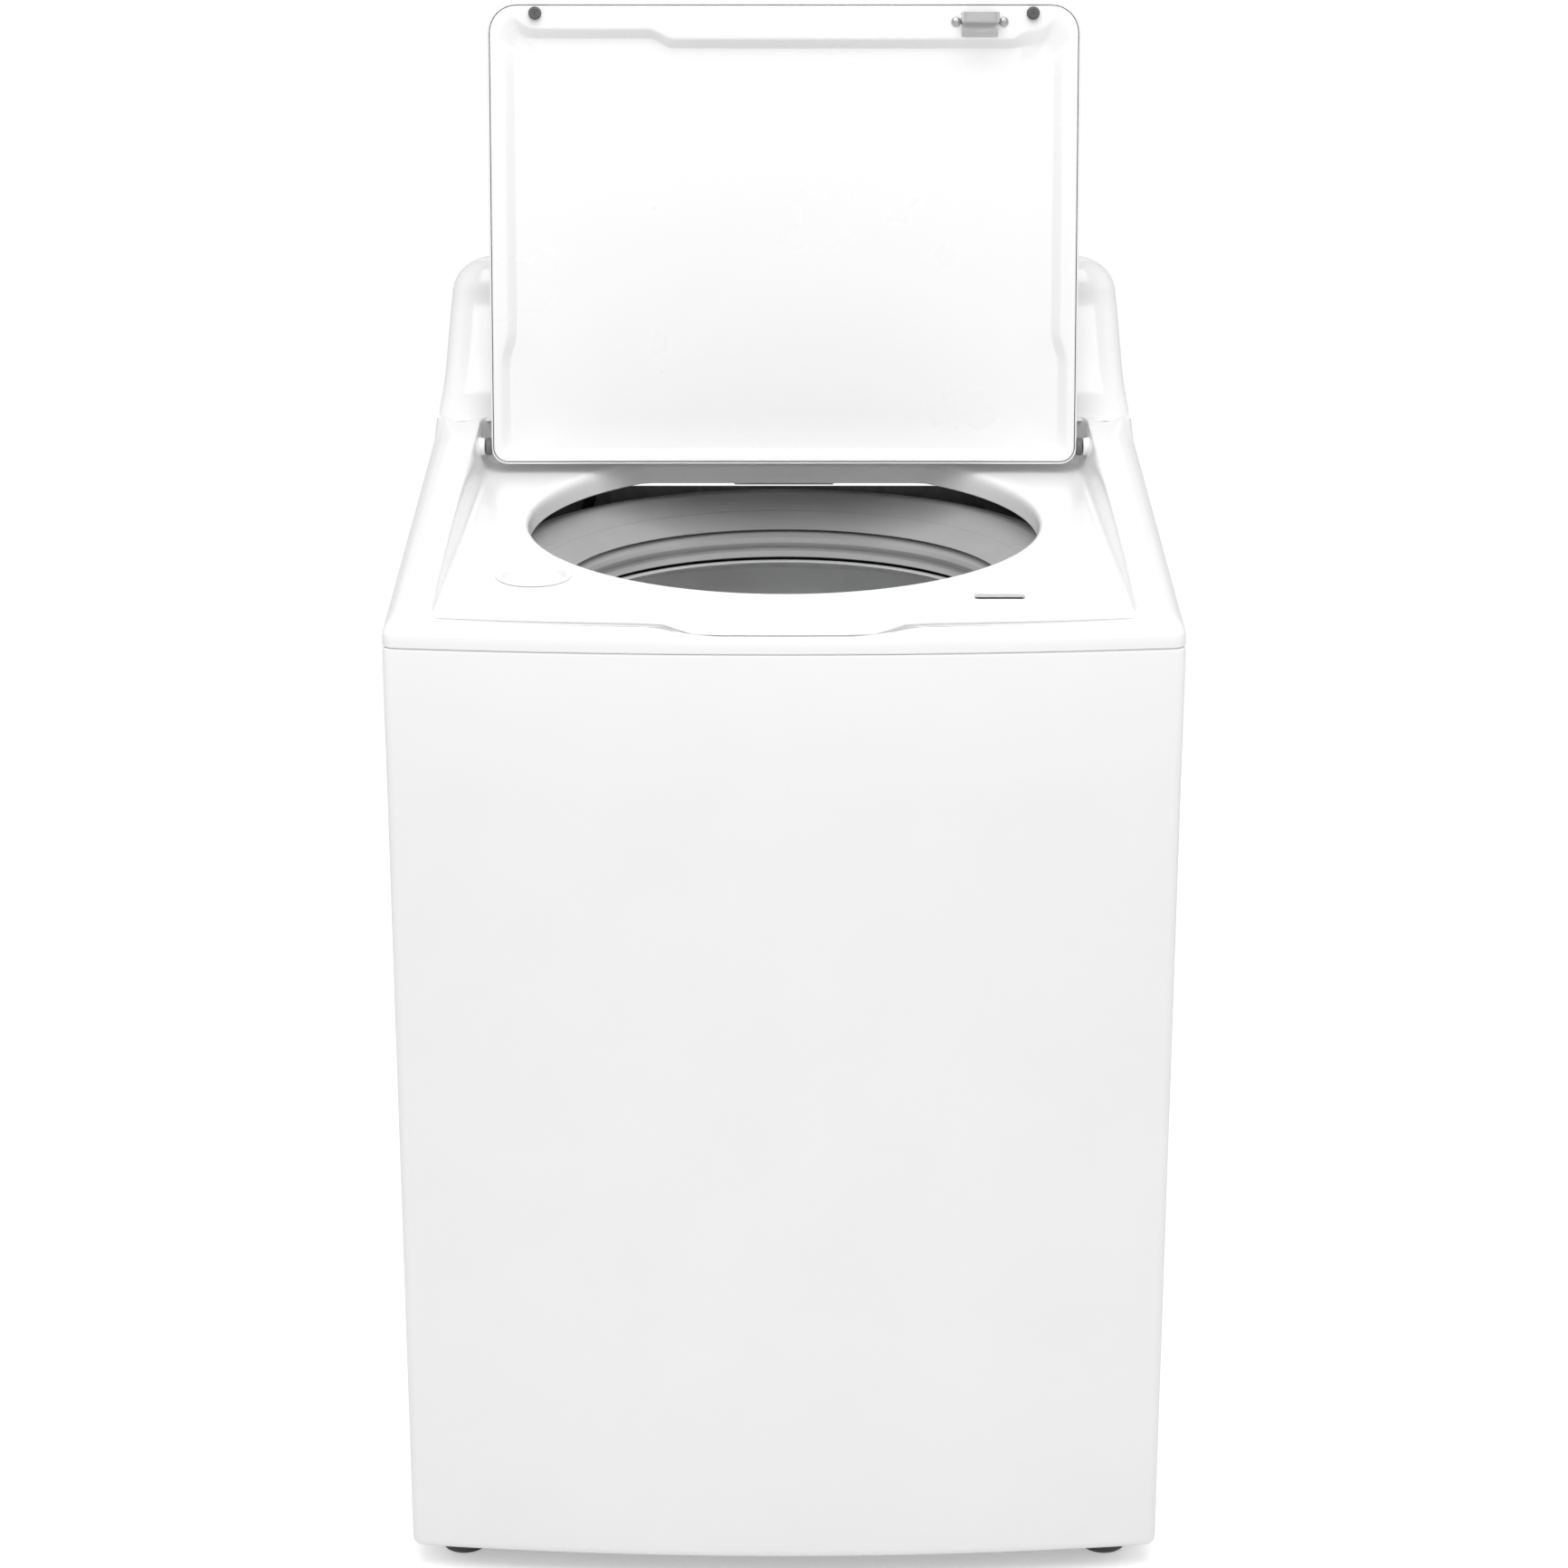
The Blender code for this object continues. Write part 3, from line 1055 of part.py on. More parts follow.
def make_suspension():
    """Two rails under the cabinet's top edge carry the four rods. Each rod holds a corner of the tub on a spring."""
    low = ROD_TOP - RAIL_SHEET
    for side, sign in (("left", -1), ("right", 1)):
        inner, wide, outer = TUB_RADIUS + 0.0105, ROD_X - 0.022, WIDTH / 2 - SHEET - GAP
        near, far = AXIS_Y - ROD_OFFSET - 0.025, AXIS_Y + ROD_OFFSET + 0.018

        def sided(x0, x1):
            return sorted((sign * x0, sign * x1))

        x0, x1 = sided(inner, outer)
        hanger = place(f"suspension_rail_{side}", block((x0, near, low), (x1, far, ROD_TOP)), GALVANISED)
        x0, x1 = sided(outer - 0.0025, outer)
        join(hanger, helper(f"rail_fold_{side}",
            block((x0, near, low - 0.026), (x1, far, ROD_TOP - 0.001))))
        x0, x1 = sided(wide, outer - 0.004)
        for end, y in (("front", AXIS_Y - ROD_OFFSET), ("rear", AXIS_Y + ROD_OFFSET)):
            tab = block((x0, y - 0.018, low + 0.0002), (x1, y + 0.0175, ROD_TOP - 0.0002))
            join(hanger, helper(f"rail_tab_{side}_{end}", tab))
            wall = ROD_RADIUS + 0.001
            hole = turned([(0, -0.02), (wall, -0.02), (wall, 0.02), (0, 0.02)], 12)
            cut(hanger, helper(f"cut_rail_{side}_{end}", hole, None, (sign * ROD_X, y, ROD_TOP)))
    seat = ROD_BOTTOM + 0.008
    profile = [
        (0, ROD_BOTTOM), (0.012, ROD_BOTTOM), (0.019, ROD_BOTTOM + 0.002), (0.019, seat), (ROD_RADIUS,
            seat),
        (ROD_RADIUS, ROD_TOP + GAP), (0.011, ROD_TOP + GAP), (0.009, ROD_TOP + 0.007), (0, ROD_TOP + 0.010),
    ]
    low, high = seat + GAP + SPRING_WIRE, EAR_BOTTOM - GAP - SPRING_WIRE
    for name, (x, y) in zip(corner_names(), rod_places()):
        place(f"suspension_rod_{name}", turned(profile, 10), GALVANISED, None, (x, y, 0))
        count = SPRING_TURNS * 8
        helix = []
        for i in range(count + 1):
            angle = 2 * math.pi * SPRING_TURNS * i / count
            z = low + (high - low) * i / count
            helix.append((x + SPRING_RADIUS * math.cos(angle), y + SPRING_RADIUS * math.sin(angle), z))
        tube(f"suspension_spring_{name}", helix, SPRING_WIRE, STAINLESS, 0)


# ---- rear services ----
def make_services():
    face = REAR - REAR_PANEL_INSET
    body = block((-0.242, 0.280, INLET_Z - 0.024), (-0.158, face - SHEET - GAP, INLET_Z + 0.020))
    valve = place("inlet_valve", body, PLASTIC_WHITE)
    for number, x in enumerate(INLET_X):
        r = INLET_RADIUS
        port = [(0.0085, REAR), (r, REAR), (r, face - 0.008), (0, face - 0.008), (0, REAR - 0.012),
            (0.0085, REAR - 0.012)]
        flipped = [(radius, -z) for radius, z in port]
        join(valve, helper(f"valve_port_{number}", turned(flipped, 24), None, (x, 0, INLET_Z),
            (math.radians(90), 0, 0)))
    outlet = turned([(0, -0.002), (0.0060, -0.002), (0.0060, 0.028), (0, 0.028)], 14)
    join(valve, helper("valve_outlet", outlet, None, (-0.200, 0.300, INLET_Z)))
    low, high, front, rear = SPOUT_Z - 0.0065, SPOUT_Z + 0.0068, SPOUT_FRONT, RECESS_REAR + 0.095
    spout = place("fill_spout", block((-0.050, front, low), (0.050, rear, high)), PLASTIC_WHITE)
    cut(spout, helper("cut_spout", block((-0.046, front - 0.01, low + 0.0015),
        (0.046, rear - 0.003, high - 0.0055))))
    r = HOSE_RADIUS
    drain = [
        (0.0085, -REAR), (r, -REAR), (r, -(face - SHEET - GAP)), (r + 0.006, -(face - SHEET - GAP)),
        (r + 0.006, -(face - SHEET - GAP - 0.003)), (r, -(face - SHEET - GAP - 0.003)), (r,
            -(face - 0.0356)), (0.0085, -(face - 0.0356)),
    ]
    place("drain_port", turned(drain, 20), BLACK, None, (DRAIN_X, 0, DRAIN_Z), (math.radians(90), 0, 0))
    gland = [
        (0.0045, -(face + 0.012)), (0.008, -(face + 0.012)), (0.0095, -(face + 0.004)), (0.014,
            -(face + 0.003)), (0.014, -(face + GAP)),
        (0.0105, -(face + GAP)), (0.0105, -(face - SHEET - 0.004)), (0.0045, -(face - SHEET - 0.004)),
    ]
    place("power_cord_gland", turned(gland, 18), BLACK, None, (GLAND_X, 0, GLAND_Z),
        (math.radians(90), 0, 0))


def main():
    for old in list(bpy.data.objects):
        bpy.data.objects.remove(old)
    make_cabinet_wrap()
    make_rear_panel()
    make_base_frame()
    make_feet()
    make_top_cover()
    make_bleach_dispenser()
    make_lid()
    make_lid_lock()
    frame = fascia_frame()
    make_console(frame)
    make_controls(frame)
    make_outer_tub()
    make_tub_cover()
    make_basket()
    make_agitator()
    make_auger()
    make_softener_cup()
    make_drive()
    make_pump()
    make_hoses()
    make_suspension()
    make_services()


main()
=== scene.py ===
"""The visible shapes and finishes of a white top loading washing machine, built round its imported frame."""
import json
import logging
import math
from dataclasses import dataclass
from enum import Enum
from typing import Callable, Iterable, Sequence

import bmesh
import bpy
from mathutils import Matrix, Vector


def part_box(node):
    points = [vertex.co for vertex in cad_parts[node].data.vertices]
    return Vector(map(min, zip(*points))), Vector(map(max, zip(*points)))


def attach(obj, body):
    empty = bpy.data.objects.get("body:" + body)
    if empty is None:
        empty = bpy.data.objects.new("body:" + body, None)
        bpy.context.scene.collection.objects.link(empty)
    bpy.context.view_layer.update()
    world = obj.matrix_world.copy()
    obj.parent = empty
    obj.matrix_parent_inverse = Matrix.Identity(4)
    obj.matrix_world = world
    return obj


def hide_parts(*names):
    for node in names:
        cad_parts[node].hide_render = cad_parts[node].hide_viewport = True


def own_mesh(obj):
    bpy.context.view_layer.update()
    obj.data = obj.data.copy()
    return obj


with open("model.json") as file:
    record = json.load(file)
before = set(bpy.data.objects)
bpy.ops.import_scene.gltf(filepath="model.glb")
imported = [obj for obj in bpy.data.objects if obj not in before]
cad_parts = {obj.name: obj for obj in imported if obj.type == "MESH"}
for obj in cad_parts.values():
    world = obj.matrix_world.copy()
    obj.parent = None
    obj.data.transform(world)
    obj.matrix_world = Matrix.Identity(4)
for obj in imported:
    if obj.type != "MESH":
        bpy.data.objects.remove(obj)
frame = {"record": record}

log = logging.getLogger("washing_machine")
Flat = tuple[float, float]
Spot = tuple[float, float, float]
BODY_OF = {node: body for body, nodes in frame["record"]["behaviour"]["bodies"].items() for node in nodes}
IDENTITY = Matrix.Identity(4)


# ---- shader groups ----
class Wiring:
    """Adds nodes to a node tree and links them by socket name."""

    def __init__(self, tree: bpy.types.NodeTree) -> None:
        """Keeps the tree.

        Args:
            tree: the node tree that nodes are added to.
        """
        self.tree = tree

    def add(self, kind: str, inputs: dict[str | int, object] | None = None, **settings: object) -> bpy.types.Node:
        """Adds one node.

        Args:
            kind: the node's type name, without the ShaderNode prefix.
            inputs: a value or an output socket for each input named.
            settings: attributes set on the node.

        Returns:
            The new node.
        """
        node = self.tree.nodes.new("NodeGroup" + kind if kind in ("Input", "Output") else "ShaderNode" + kind)
        for name, value in settings.items():
            setattr(node, name, value)
        for name, value in (inputs or {}).items():
            if isinstance(value, bpy.types.NodeSocket):
                self.tree.links.new(value, node.inputs[name])
            else:
                node.inputs[name].default_value = value
        return node


def new_group(name: str, inputs: dict[str, tuple[str, object]], outputs: dict[str, str]) -> tuple[Wiring, bpy.types.Node]:
    """Starts a shader node group.

    Args:
        name: the group's name.
        inputs: socket kind and default value of each input.
        outputs: socket kind of each output.

    Returns:
        The group's wiring and its input node.
    """
    tree = bpy.data.node_groups.new(name, "ShaderNodeTree")
    for label, (kind, default) in inputs.items():
        tree.interface.new_socket(label, in_out="INPUT", socket_type="NodeSocket" + kind).default_value = default
    for label, kind in outputs.items():
        tree.interface.new_socket(label, in_out="OUTPUT", socket_type="NodeSocket" + kind)
    wiring = Wiring(tree)
    return wiring, wiring.add("Input")


def fine_relief() -> bpy.types.NodeTree:
    """A surface's fine relief and its slow cloudy variation.

    Returns:
        The group, with Height and Mask outputs.
    """
    wiring, given = new_group(
        "fine_relief",
        {"Scale": ("Float", 400.0), "Stretch": ("Vector", (1, 1, 1)), "Detail": ("Float", 2.0), "Cloud Scale": ("Float", 9.0)},
        {"Height": "Float", "Mask": "Float"},
    )
    place = wiring.add("TexCoord").outputs["Object"]
    drawn = wiring.add("VectorMath", {0: place, 1: given.outputs["Stretch"]}, operation="MULTIPLY")
    fine = wiring.add(
        "TexNoise", {"Vector": drawn.outputs[0], "Scale": given.outputs["Scale"], "Detail": given.outputs["Detail"]}
    )
    cloud = wiring.add("TexNoise", {"Vector": place, "Scale": given.outputs["Cloud Scale"], "Detail": 3.0})
    mask = wiring.add("MapRange", {"Value": cloud.outputs["Fac"], "From Min": 0.35, "From Max": 0.65})
    wiring.add("Output", {"Height": fine.outputs["Fac"], "Mask": mask.outputs["Result"]})
    return wiring.tree


def spangle() -> bpy.types.NodeTree:
    """The crystal patches of hot dipped zinc.

    Returns:
        The group, with a Mask output.
    """
    wiring, given = new_group("zinc_spangle", {"Scale": ("Float", 60.0)}, {"Mask": "Float"})
    place = wiring.add("TexCoord").outputs["Object"]
    warp = wiring.add("TexNoise", {"Vector": place, "Scale": 40.0, "Detail": 2.0})
    bent = wiring.add("VectorMath", {0: warp.outputs["Color"], "Scale": 0.02}, operation="SCALE")
    moved = wiring.add("VectorMath", {0: place, 1: bent.outputs[0]}, operation="ADD")
    cells = wiring.add("TexVoronoi", {"Vector": moved.outputs[0], "Scale": given.outputs["Scale"]})
    parts = wiring.add("SeparateColor", {"Color": cells.outputs["Color"]})
    wiring.add("Output", {"Mask": parts.outputs[0]})
    return wiring.tree


def edge_wear() -> bpy.types.NodeTree:
    """Where edges are rubbed: sharp outer edges, broken up unevenly.

    Returns:
        The group, with a Mask output.
    """
    wiring, given = new_group("edge_wear", {"Amount": ("Float", 0.3)}, {"Mask": "Float"})
    sharp = wiring.add("NewGeometry").outputs["Pointiness"]
    edge = wiring.add("MapRange", {"Value": sharp, "From Min": 0.52, "From Max": 0.60})
    broken = wiring.add("TexNoise", {"Vector": wiring.add("TexCoord").outputs["Object"], "Scale": 70.0, "Detail": 4.0})
    share = wiring.add("Math", {0: edge.outputs["Result"], 1: broken.outputs["Fac"]}, operation="MULTIPLY")
    mask = wiring.add("Math", {0: share.outputs[0], 1: given.outputs["Amount"]}, operation="MULTIPLY")
    wiring.add("Output", {"Mask": mask.outputs[0]})
    return wiring.tree


def settled_dust() -> bpy.types.NodeTree:
    """Lint and dust that settle on what faces up, in patches.

    Returns:
        The group, with a Mask output.
    """
    wiring, given = new_group("settled_dust", {"Amount": ("Float", 0.3)}, {"Mask": "Float"})
    facing = wiring.add("SeparateXYZ", {0: wiring.add("NewGeometry").outputs["Normal"]})
    up = wiring.add("MapRange", {"Value": facing.outputs["Z"], "From Min": 0.2, "From Max": 0.9})
    patch = wiring.add("TexNoise", {"Vector": wiring.add("TexCoord").outputs["Object"], "Scale": 28.0, "Detail": 5.0})
    share = wiring.add("Math", {0: up.outputs["Result"], 1: patch.outputs["Fac"]}, operation="MULTIPLY")
    mask = wiring.add("Math", {0: share.outputs[0], 1: given.outputs["Amount"]}, operation="MULTIPLY")
    wiring.add("Output", {"Mask": mask.outputs[0]})
    return wiring.tree


GROUPS: dict[Callable[[], bpy.types.NodeTree], bpy.types.NodeTree] = {}


def group(make: Callable[[], bpy.types.NodeTree]) -> bpy.types.NodeTree:
    """Gives a shader group, building it once.

    Args:
        make: the function that builds it.

    Returns:
        The group.
    """
    if make not in GROUPS:
        GROUPS[make] = make()
    return GROUPS[make]


# ---- finishes ----
class Grain(Enum):
    """Relief of a surface: noise scale, stretch along x, y and z, and noise detail."""

    ENAMEL_PEEL = (240.0, (1.0, 1.0, 1.0), 1.5)
    POLISHED = (90.0, (1.0, 1.0, 1.0), 1.0)
    MOULDED = (1500.0, (1.0, 1.0, 1.0), 3.0)
    BRUSHED_ROUND = (40.0, (1.0, 1.0, 45.0), 3.0)
    BRUSHED_ALONG = (45.0, (1.0, 30.0, 30.0), 3.0)
    TURNED = (60.0, (1.0, 1.0, 60.0), 2.0)
    ZINC = (180.0, (1.0, 1.0, 1.0), 4.0)
    CAST = (420.0, (1.0, 1.0, 1.0), 6.0)
    RUBBER = (900.0, (1.0, 1.0, 1.0), 5.0)


@dataclass(frozen=True)
class Finish:
    """One finish of the machine. Colours are linear."""

    name: str
    colour: Spot
    roughness: float
    grain: Grain
    metallic: float = 0.0
    relief: float = 0.15
    depth: float = 0.0003
    tint: float = 0.03
    cloud: float = 9.0
    wear: float = 0.0
    wear_colour: Spot = (0.6, 0.6, 0.6)
    dust: float = 0.0
    dust_colour: Spot = (0.42, 0.41, 0.39)
    coat: float = 0.0
    coat_roughness: float = 0.1
    specular: float = 0.5
    glow: float = 0.0

    def material(self) -> bpy.types.Material:
        """Gives the finish's material, building it once.

        Returns:
            The material.
        """
        found = bpy.data.materials.get(self.name)
        return found or self._build()

    def _build(self) -> bpy.types.Material:
        """Wires the material: relief, cloudy tint, wear and dust into one shader.

        Returns:
            The new material.
        """
        made = bpy.data.materials.new(self.name)
        made.use_nodes = True
        shader = made.node_tree.nodes["Principled BSDF"]
        wiring = Wiring(made.node_tree)
        scale, stretch, detail = self.grain.value
        relief = wiring.add("Group", node_tree=group(fine_relief))
        relief.inputs["Scale"].default_value = scale
        relief.inputs["Stretch"].default_value = stretch
        relief.inputs["Detail"].default_value = detail
        relief.inputs["Cloud Scale"].default_value = self.cloud
        mask = relief.outputs["Mask"]
        if self.grain is Grain.ZINC:
            mask = wiring.add("Group", node_tree=group(spangle)).outputs["Mask"]
        colour = self._mix(wiring, mask, self.colour, tuple(c * (1 - self.tint) for c in self.colour))
        if self.wear:
            rubbed = wiring.add("Group", node_tree=group(edge_wear))
            rubbed.inputs["Amount"].default_value = self.wear
            colour = self._mix(wiring, rubbed.outputs["Mask"], colour, self.wear_colour)
        if self.dust:
            dusty = wiring.add("Group", node_tree=group(settled_dust))
            dusty.inputs["Amount"].default_value = self.dust
            colour = self._mix(wiring, dusty.outputs["Mask"], colour, self.dust_colour)
        tree = made.node_tree
        tree.links.new(colour, shader.inputs["Base Color"])
        rough = wiring.add(
            "MapRange", {"Value": mask, "To Min": self.roughness * 0.88, "To Max": min(1.0, self.roughness * 1.14)}
        )
        tree.links.new(rough.outputs["Result"], shader.inputs["Roughness"])
        bump = wiring.add(
            "Bump", {"Height": relief.outputs["Height"], "Strength": self.relief, "Distance": self.depth}
        )
        tree.links.new(bump.outputs["Normal"], shader.inputs["Normal"])
        shader.inputs["Metallic"].default_value = self.metallic
        shader.inputs["Coat Weight"].default_value = self.coat
        shader.inputs["Coat Roughness"].default_value = self.coat_roughness
        shader.inputs["Specular IOR Level"].default_value = self.specular
        if self.glow:
            seen = wiring.add("LightPath").outputs["Is Camera Ray"]
            level = wiring.add("MapRange", {"Value": seen, "To Min": 0.0, "To Max": self.glow})
            shader.inputs["Emission Color"].default_value = (1, 1, 1, 1)
            tree.links.new(level.outputs["Result"], shader.inputs["Emission Strength"])
        made.diffuse_color = (*self.colour, 1)
        return made

    @staticmethod
    def _mix(wiring: Wiring, share: bpy.types.NodeSocket, first: object, second: object) -> bpy.types.NodeSocket:
        """Mixes two colours.

        Args:
            wiring: the material's wiring.
            share: how much of the second colour shows.
            first: a colour or a socket.
            second: a colour or a socket.

        Returns:
            The mixed colour's socket.
        """
        node = wiring.add("Mix", {0: share}, data_type="RGBA")
        for index, value in ((6, first), (7, second)):
            if isinstance(value, bpy.types.NodeSocket):
                wiring.tree.links.new(value, node.inputs[index])
            else:
                node.inputs[index].default_value = (*value, 1)
        return node.outputs[2]


WHITE_ENAMEL = Finish("white_enamel", (0.845, 0.845, 0.845), 0.34, Grain.ENAMEL_PEEL, relief=0.06, tint=0.012, coat=0.15)
WHITE_COVER = Finish("white_cover_plastic", (0.87, 0.87, 0.87), 0.22, Grain.POLISHED, relief=0.03, tint=0.01, coat=0.3)
WHITE_LINER = Finish("white_lid_liner", (0.87, 0.87, 0.87), 0.3, Grain.MOULDED, relief=0.04, tint=0.012)
WHITE_MOULDING = Finish("white_moulding", (0.78, 0.79, 0.79), 0.42, Grain.MOULDED, relief=0.2, tint=0.05, dust=0.12)
CUP_WHITE = Finish("bleach_cup_white", (0.84, 0.84, 0.845), 0.35, Grain.MOULDED, relief=0.1, tint=0.02)
TUB_GREY = Finish("tub_grey_moulding", (0.40, 0.405, 0.41), 0.5, Grain.MOULDED, relief=0.3, tint=0.08, dust=0.15)
# Tub cover and balance ring: light grey plastic, made darker than its own colour as painted shade for the dim inside of
# the drum opening.
COVER_GREY_WITH_PAINTED_SHADE = Finish("tub_cover_grey_painted_shade", (0.46, 0.46, 0.465), 0.4, Grain.MOULDED, relief=0.15, tint=0.05, cloud=22.0)
RING_GREY_WITH_PAINTED_SHADE = Finish("balance_ring_grey_painted_shade", (0.46, 0.46, 0.465), 0.38, Grain.MOULDED, relief=0.15, tint=0.05, cloud=22.0)
FASCIA_GREY = Finish("fascia_satin_grey", (0.50, 0.505, 0.51), 0.36, Grain.MOULDED, relief=0.12, tint=0.03)
KNOB_GREY = Finish("knob_satin_grey", (0.56, 0.565, 0.57), 0.3, Grain.TURNED, relief=0.1, tint=0.04, coat=0.2)
PRINT_INK = Finish("fascia_print", (0.07, 0.075, 0.085), 0.5, Grain.MOULDED)
STAINLESS = Finish(
    "basket_stainless", (0.86, 0.86, 0.865), 0.42, Grain.BRUSHED_ROUND, 0.45, relief=0.12, depth=0.0002, tint=0.1
)
BRIGHT_STEEL = Finish("bright_steel", (0.66, 0.66, 0.665), 0.2, Grain.BRUSHED_ALONG, 1.0, relief=0.1, depth=0.0002)
SCREW_STEEL = Finish("screw_steel", (0.50, 0.50, 0.51), 0.3, Grain.TURNED, 1.0, relief=0.1, wear=0.5)
SHAFT_STEEL = Finish("ground_shaft_steel", (0.58, 0.58, 0.59), 0.24, Grain.TURNED, 1.0, relief=0.15, tint=0.08)
SPRING_STEEL = Finish("spring_steel", (0.36, 0.36, 0.37), 0.34, Grain.CAST, 1.0, relief=0.1, wear=0.4)
ZINC_SHEET = Finish(
    "zinc_coated_sheet", (0.56, 0.57, 0.585), 0.42, Grain.ZINC, 0.85, relief=0.12, tint=0.24, wear=0.3, dust=0.15
)
ZINC_ROD = Finish("zinc_plated_rod", (0.55, 0.55, 0.53), 0.36, Grain.TURNED, 1.0, relief=0.15, tint=0.1)
CAST_ALLOY = Finish("cast_alloy", (0.50, 0.505, 0.51), 0.52, Grain.CAST, 0.9, relief=0.5, depth=0.0006, tint=0.1, dust=0.2)
MOTOR_ENAMEL = Finish("motor_dark_enamel", (0.045, 0.047, 0.05), 0.4, Grain.ENAMEL_PEEL, relief=0.2, wear=0.4, dust=0.25)
DARK_HINGE = Finish("hinge_dark_plastic", (0.14, 0.14, 0.145), 0.5, Grain.MOULDED, relief=0.2, tint=0.06)
BLACK_PLASTIC = Finish("black_plastic", (0.022, 0.022, 0.024), 0.45, Grain.MOULDED, relief=0.25, tint=0.1, dust=0.15)
GREY_RUBBER = Finish("bumper_grey_rubber", (0.115, 0.115, 0.118), 0.7, Grain.RUBBER, relief=0.4, depth=0.0004, tint=0.12)
BLACK_RUBBER = Finish("black_rubber", (0.024, 0.024, 0.025), 0.6, Grain.RUBBER, relief=0.35, depth=0.0004, dust=0.2)
BOARD_GREEN = Finish("circuit_board_green", (0.02, 0.13, 0.055), 0.34, Grain.MOULDED, relief=0.15, tint=0.1, coat=0.3)
COPPER = Finish("winding_copper", (0.52, 0.22, 0.10), 0.35, Grain.TURNED, 1.0, relief=0.4, tint=0.15)
FLOOR_WHITE = Finish("studio_floor", (0.90, 0.90, 0.90), 0.7, Grain.MOULDED, relief=0.02, tint=0.01, glow=0.38)


# ---- shapes ----
def smoothstep(low: float, high: float, value: float) -> float:
    """Rises smoothly from 0 at low to 1 at high.

    Args:
        low: where it leaves 0.
        high: where it reaches 1.
        value: where it is read.

    Returns:
        The share from 0 to 1.
    """
    t = min(1.0, max(0.0, (value - low) / (high - low)))
    return t * t * (3 - 2 * t)


def filleted(points: Sequence[Flat], radius: float, steps: int = 3, closed: bool = True) -> list[Flat]:
    """Rounds the corners of a flat outline.

    Args:
        points: the outline's corners.
        radius: the rounding, made smaller where sides are short.
        steps: spans in each rounding.
        closed: whether the last corner joins the first.

    Returns:
        The rounded outline.
    """
    made: list[Flat] = []
    count = len(points)
    for i, point in enumerate(points):
        here = Vector(point)
        before, after = Vector(points[i - 1]) - here, Vector(points[(i + 1) % count]) - here
        keep = not closed and i in (0, count - 1)
        if keep or before.length < 1e-6 or after.length < 1e-6 or before.angle(after) > math.radians(172):
            made.append(point)
            continue
        half = before.angle(after) / 2
        reach = min(radius / math.tan(half), before.length * 0.45, after.length * 0.45)
        start, end = here + before.normalized() * reach, here + after.normalized() * reach
        for k in range(steps + 1):
            t = k / steps
            spot = start * (1 - t) ** 2 + here * 2 * t * (1 - t) + end * t**2
            made.append((spot.x, spot.y))
    return made


def curve_through(points: Sequence[Sequence[float]], spans: int, closed: bool = False) -> list[Vector]:
    """A smooth curve through points.

    Args:
        points: what it passes through.
        spans: pieces between each pair of points.
        closed: whether it returns to its start.

    Returns:
        Points along the curve.
    """
    spots = [Vector(p) for p in points]
    ring = [spots[-1], *spots, spots[0], spots[1]] if closed else [spots[0], *spots, spots[-1]]
    made: list[Vector] = []
    for a, b, c, d in zip(ring, ring[1:], ring[2:], ring[3:]):
        for k in range(spans):
            t = k / spans
            made.append(
                (2 * b + (c - a) * t + (2 * a - 5 * b + 4 * c - d) * t**2 + (3 * b - a - 3 * c + d) * t**3) * 0.5
            )
    return made if closed else [*made, spots[-1]]


def between(loops: Sequence[Sequence[Spot]], spans: int, hard: Iterable[int] = ()) -> list[list[Vector]]:
    """Adds smooth loops between given ones.

    Args:
        loops: loops with the same number of points.
        spans: how many spans each gap becomes.
        hard: the loops that stay a crisp corner.

    Returns:
        The loops with those added.
    """
    crisp, last = set(hard), len(loops) - 1
    rows = [[Vector(p) for p in loop] for loop in loops]
    made: list[list[Vector]] = []
    for i in range(last):
        before = rows[i] if i in crisp or i == 0 else rows[i - 1]
        after = rows[i + 1] if i + 1 in crisp or i + 1 == last else rows[i + 2]
        for k in range(spans):
            t = k / spans
            row = []
            for a, b, c, d in zip(before, rows[i], rows[i + 1], after):
                span = (c - b).length
                lead = (c - a) * (span / max(span + (b - a).length, 1e-9))
                tail = (d - b) * (span / max(span + (d - c).length, 1e-9))
                row.append(
                    b * (2 * t**3 - 3 * t**2 + 1) + lead * (t**3 - 2 * t**2 + t)
                    + c * (3 * t**2 - 2 * t**3) + tail * (t**3 - t**2)
                )
            made.append(row)
    return [*made, rows[-1]]


def bridge(bm: bmesh.types.BMesh, first: Sequence[bmesh.types.BMVert], second: Sequence[bmesh.types.BMVert]) -> None:
    """Joins two rings of vertices, or a ring and one point, by faces.

    Args:
        bm: the mesh.
        first: one ring.
        second: the other.
    """
    count = max(len(first), len(second))
    for i in range(count):
        corners = []
        for ring, index in ((first, i), (first, (i + 1) % count), (second, (i + 1) % count), (second, i)):
            vertex = ring[index % len(ring)]
            if vertex not in corners:
                corners.append(vertex)
        if len(corners) > 2:
            bm.faces.new(corners)


def lofted(loops: Sequence[Sequence[Sequence[float]]], ring: bool = False, bm: bmesh.types.BMesh | None = None) -> bmesh.types.BMesh:
    """A closed body through loops of points.

    Args:
        loops: the loops, in order.
        ring: whether the last loop joins the first, in place of two caps.
        bm: a mesh to add to.

    Returns:
        The mesh.
    """
    bm = bm or bmesh.new()
    rings = [[bm.verts.new(point) for point in loop] for loop in loops]
    for first, second in zip(rings, rings[1:]):
        bridge(bm, first, second)
    if ring:
        bridge(bm, rings[-1], rings[0])
    else:
        for end in (rings[0], rings[-1]):
            if len(end) > 2:
                bm.faces.new(end)
    return bm


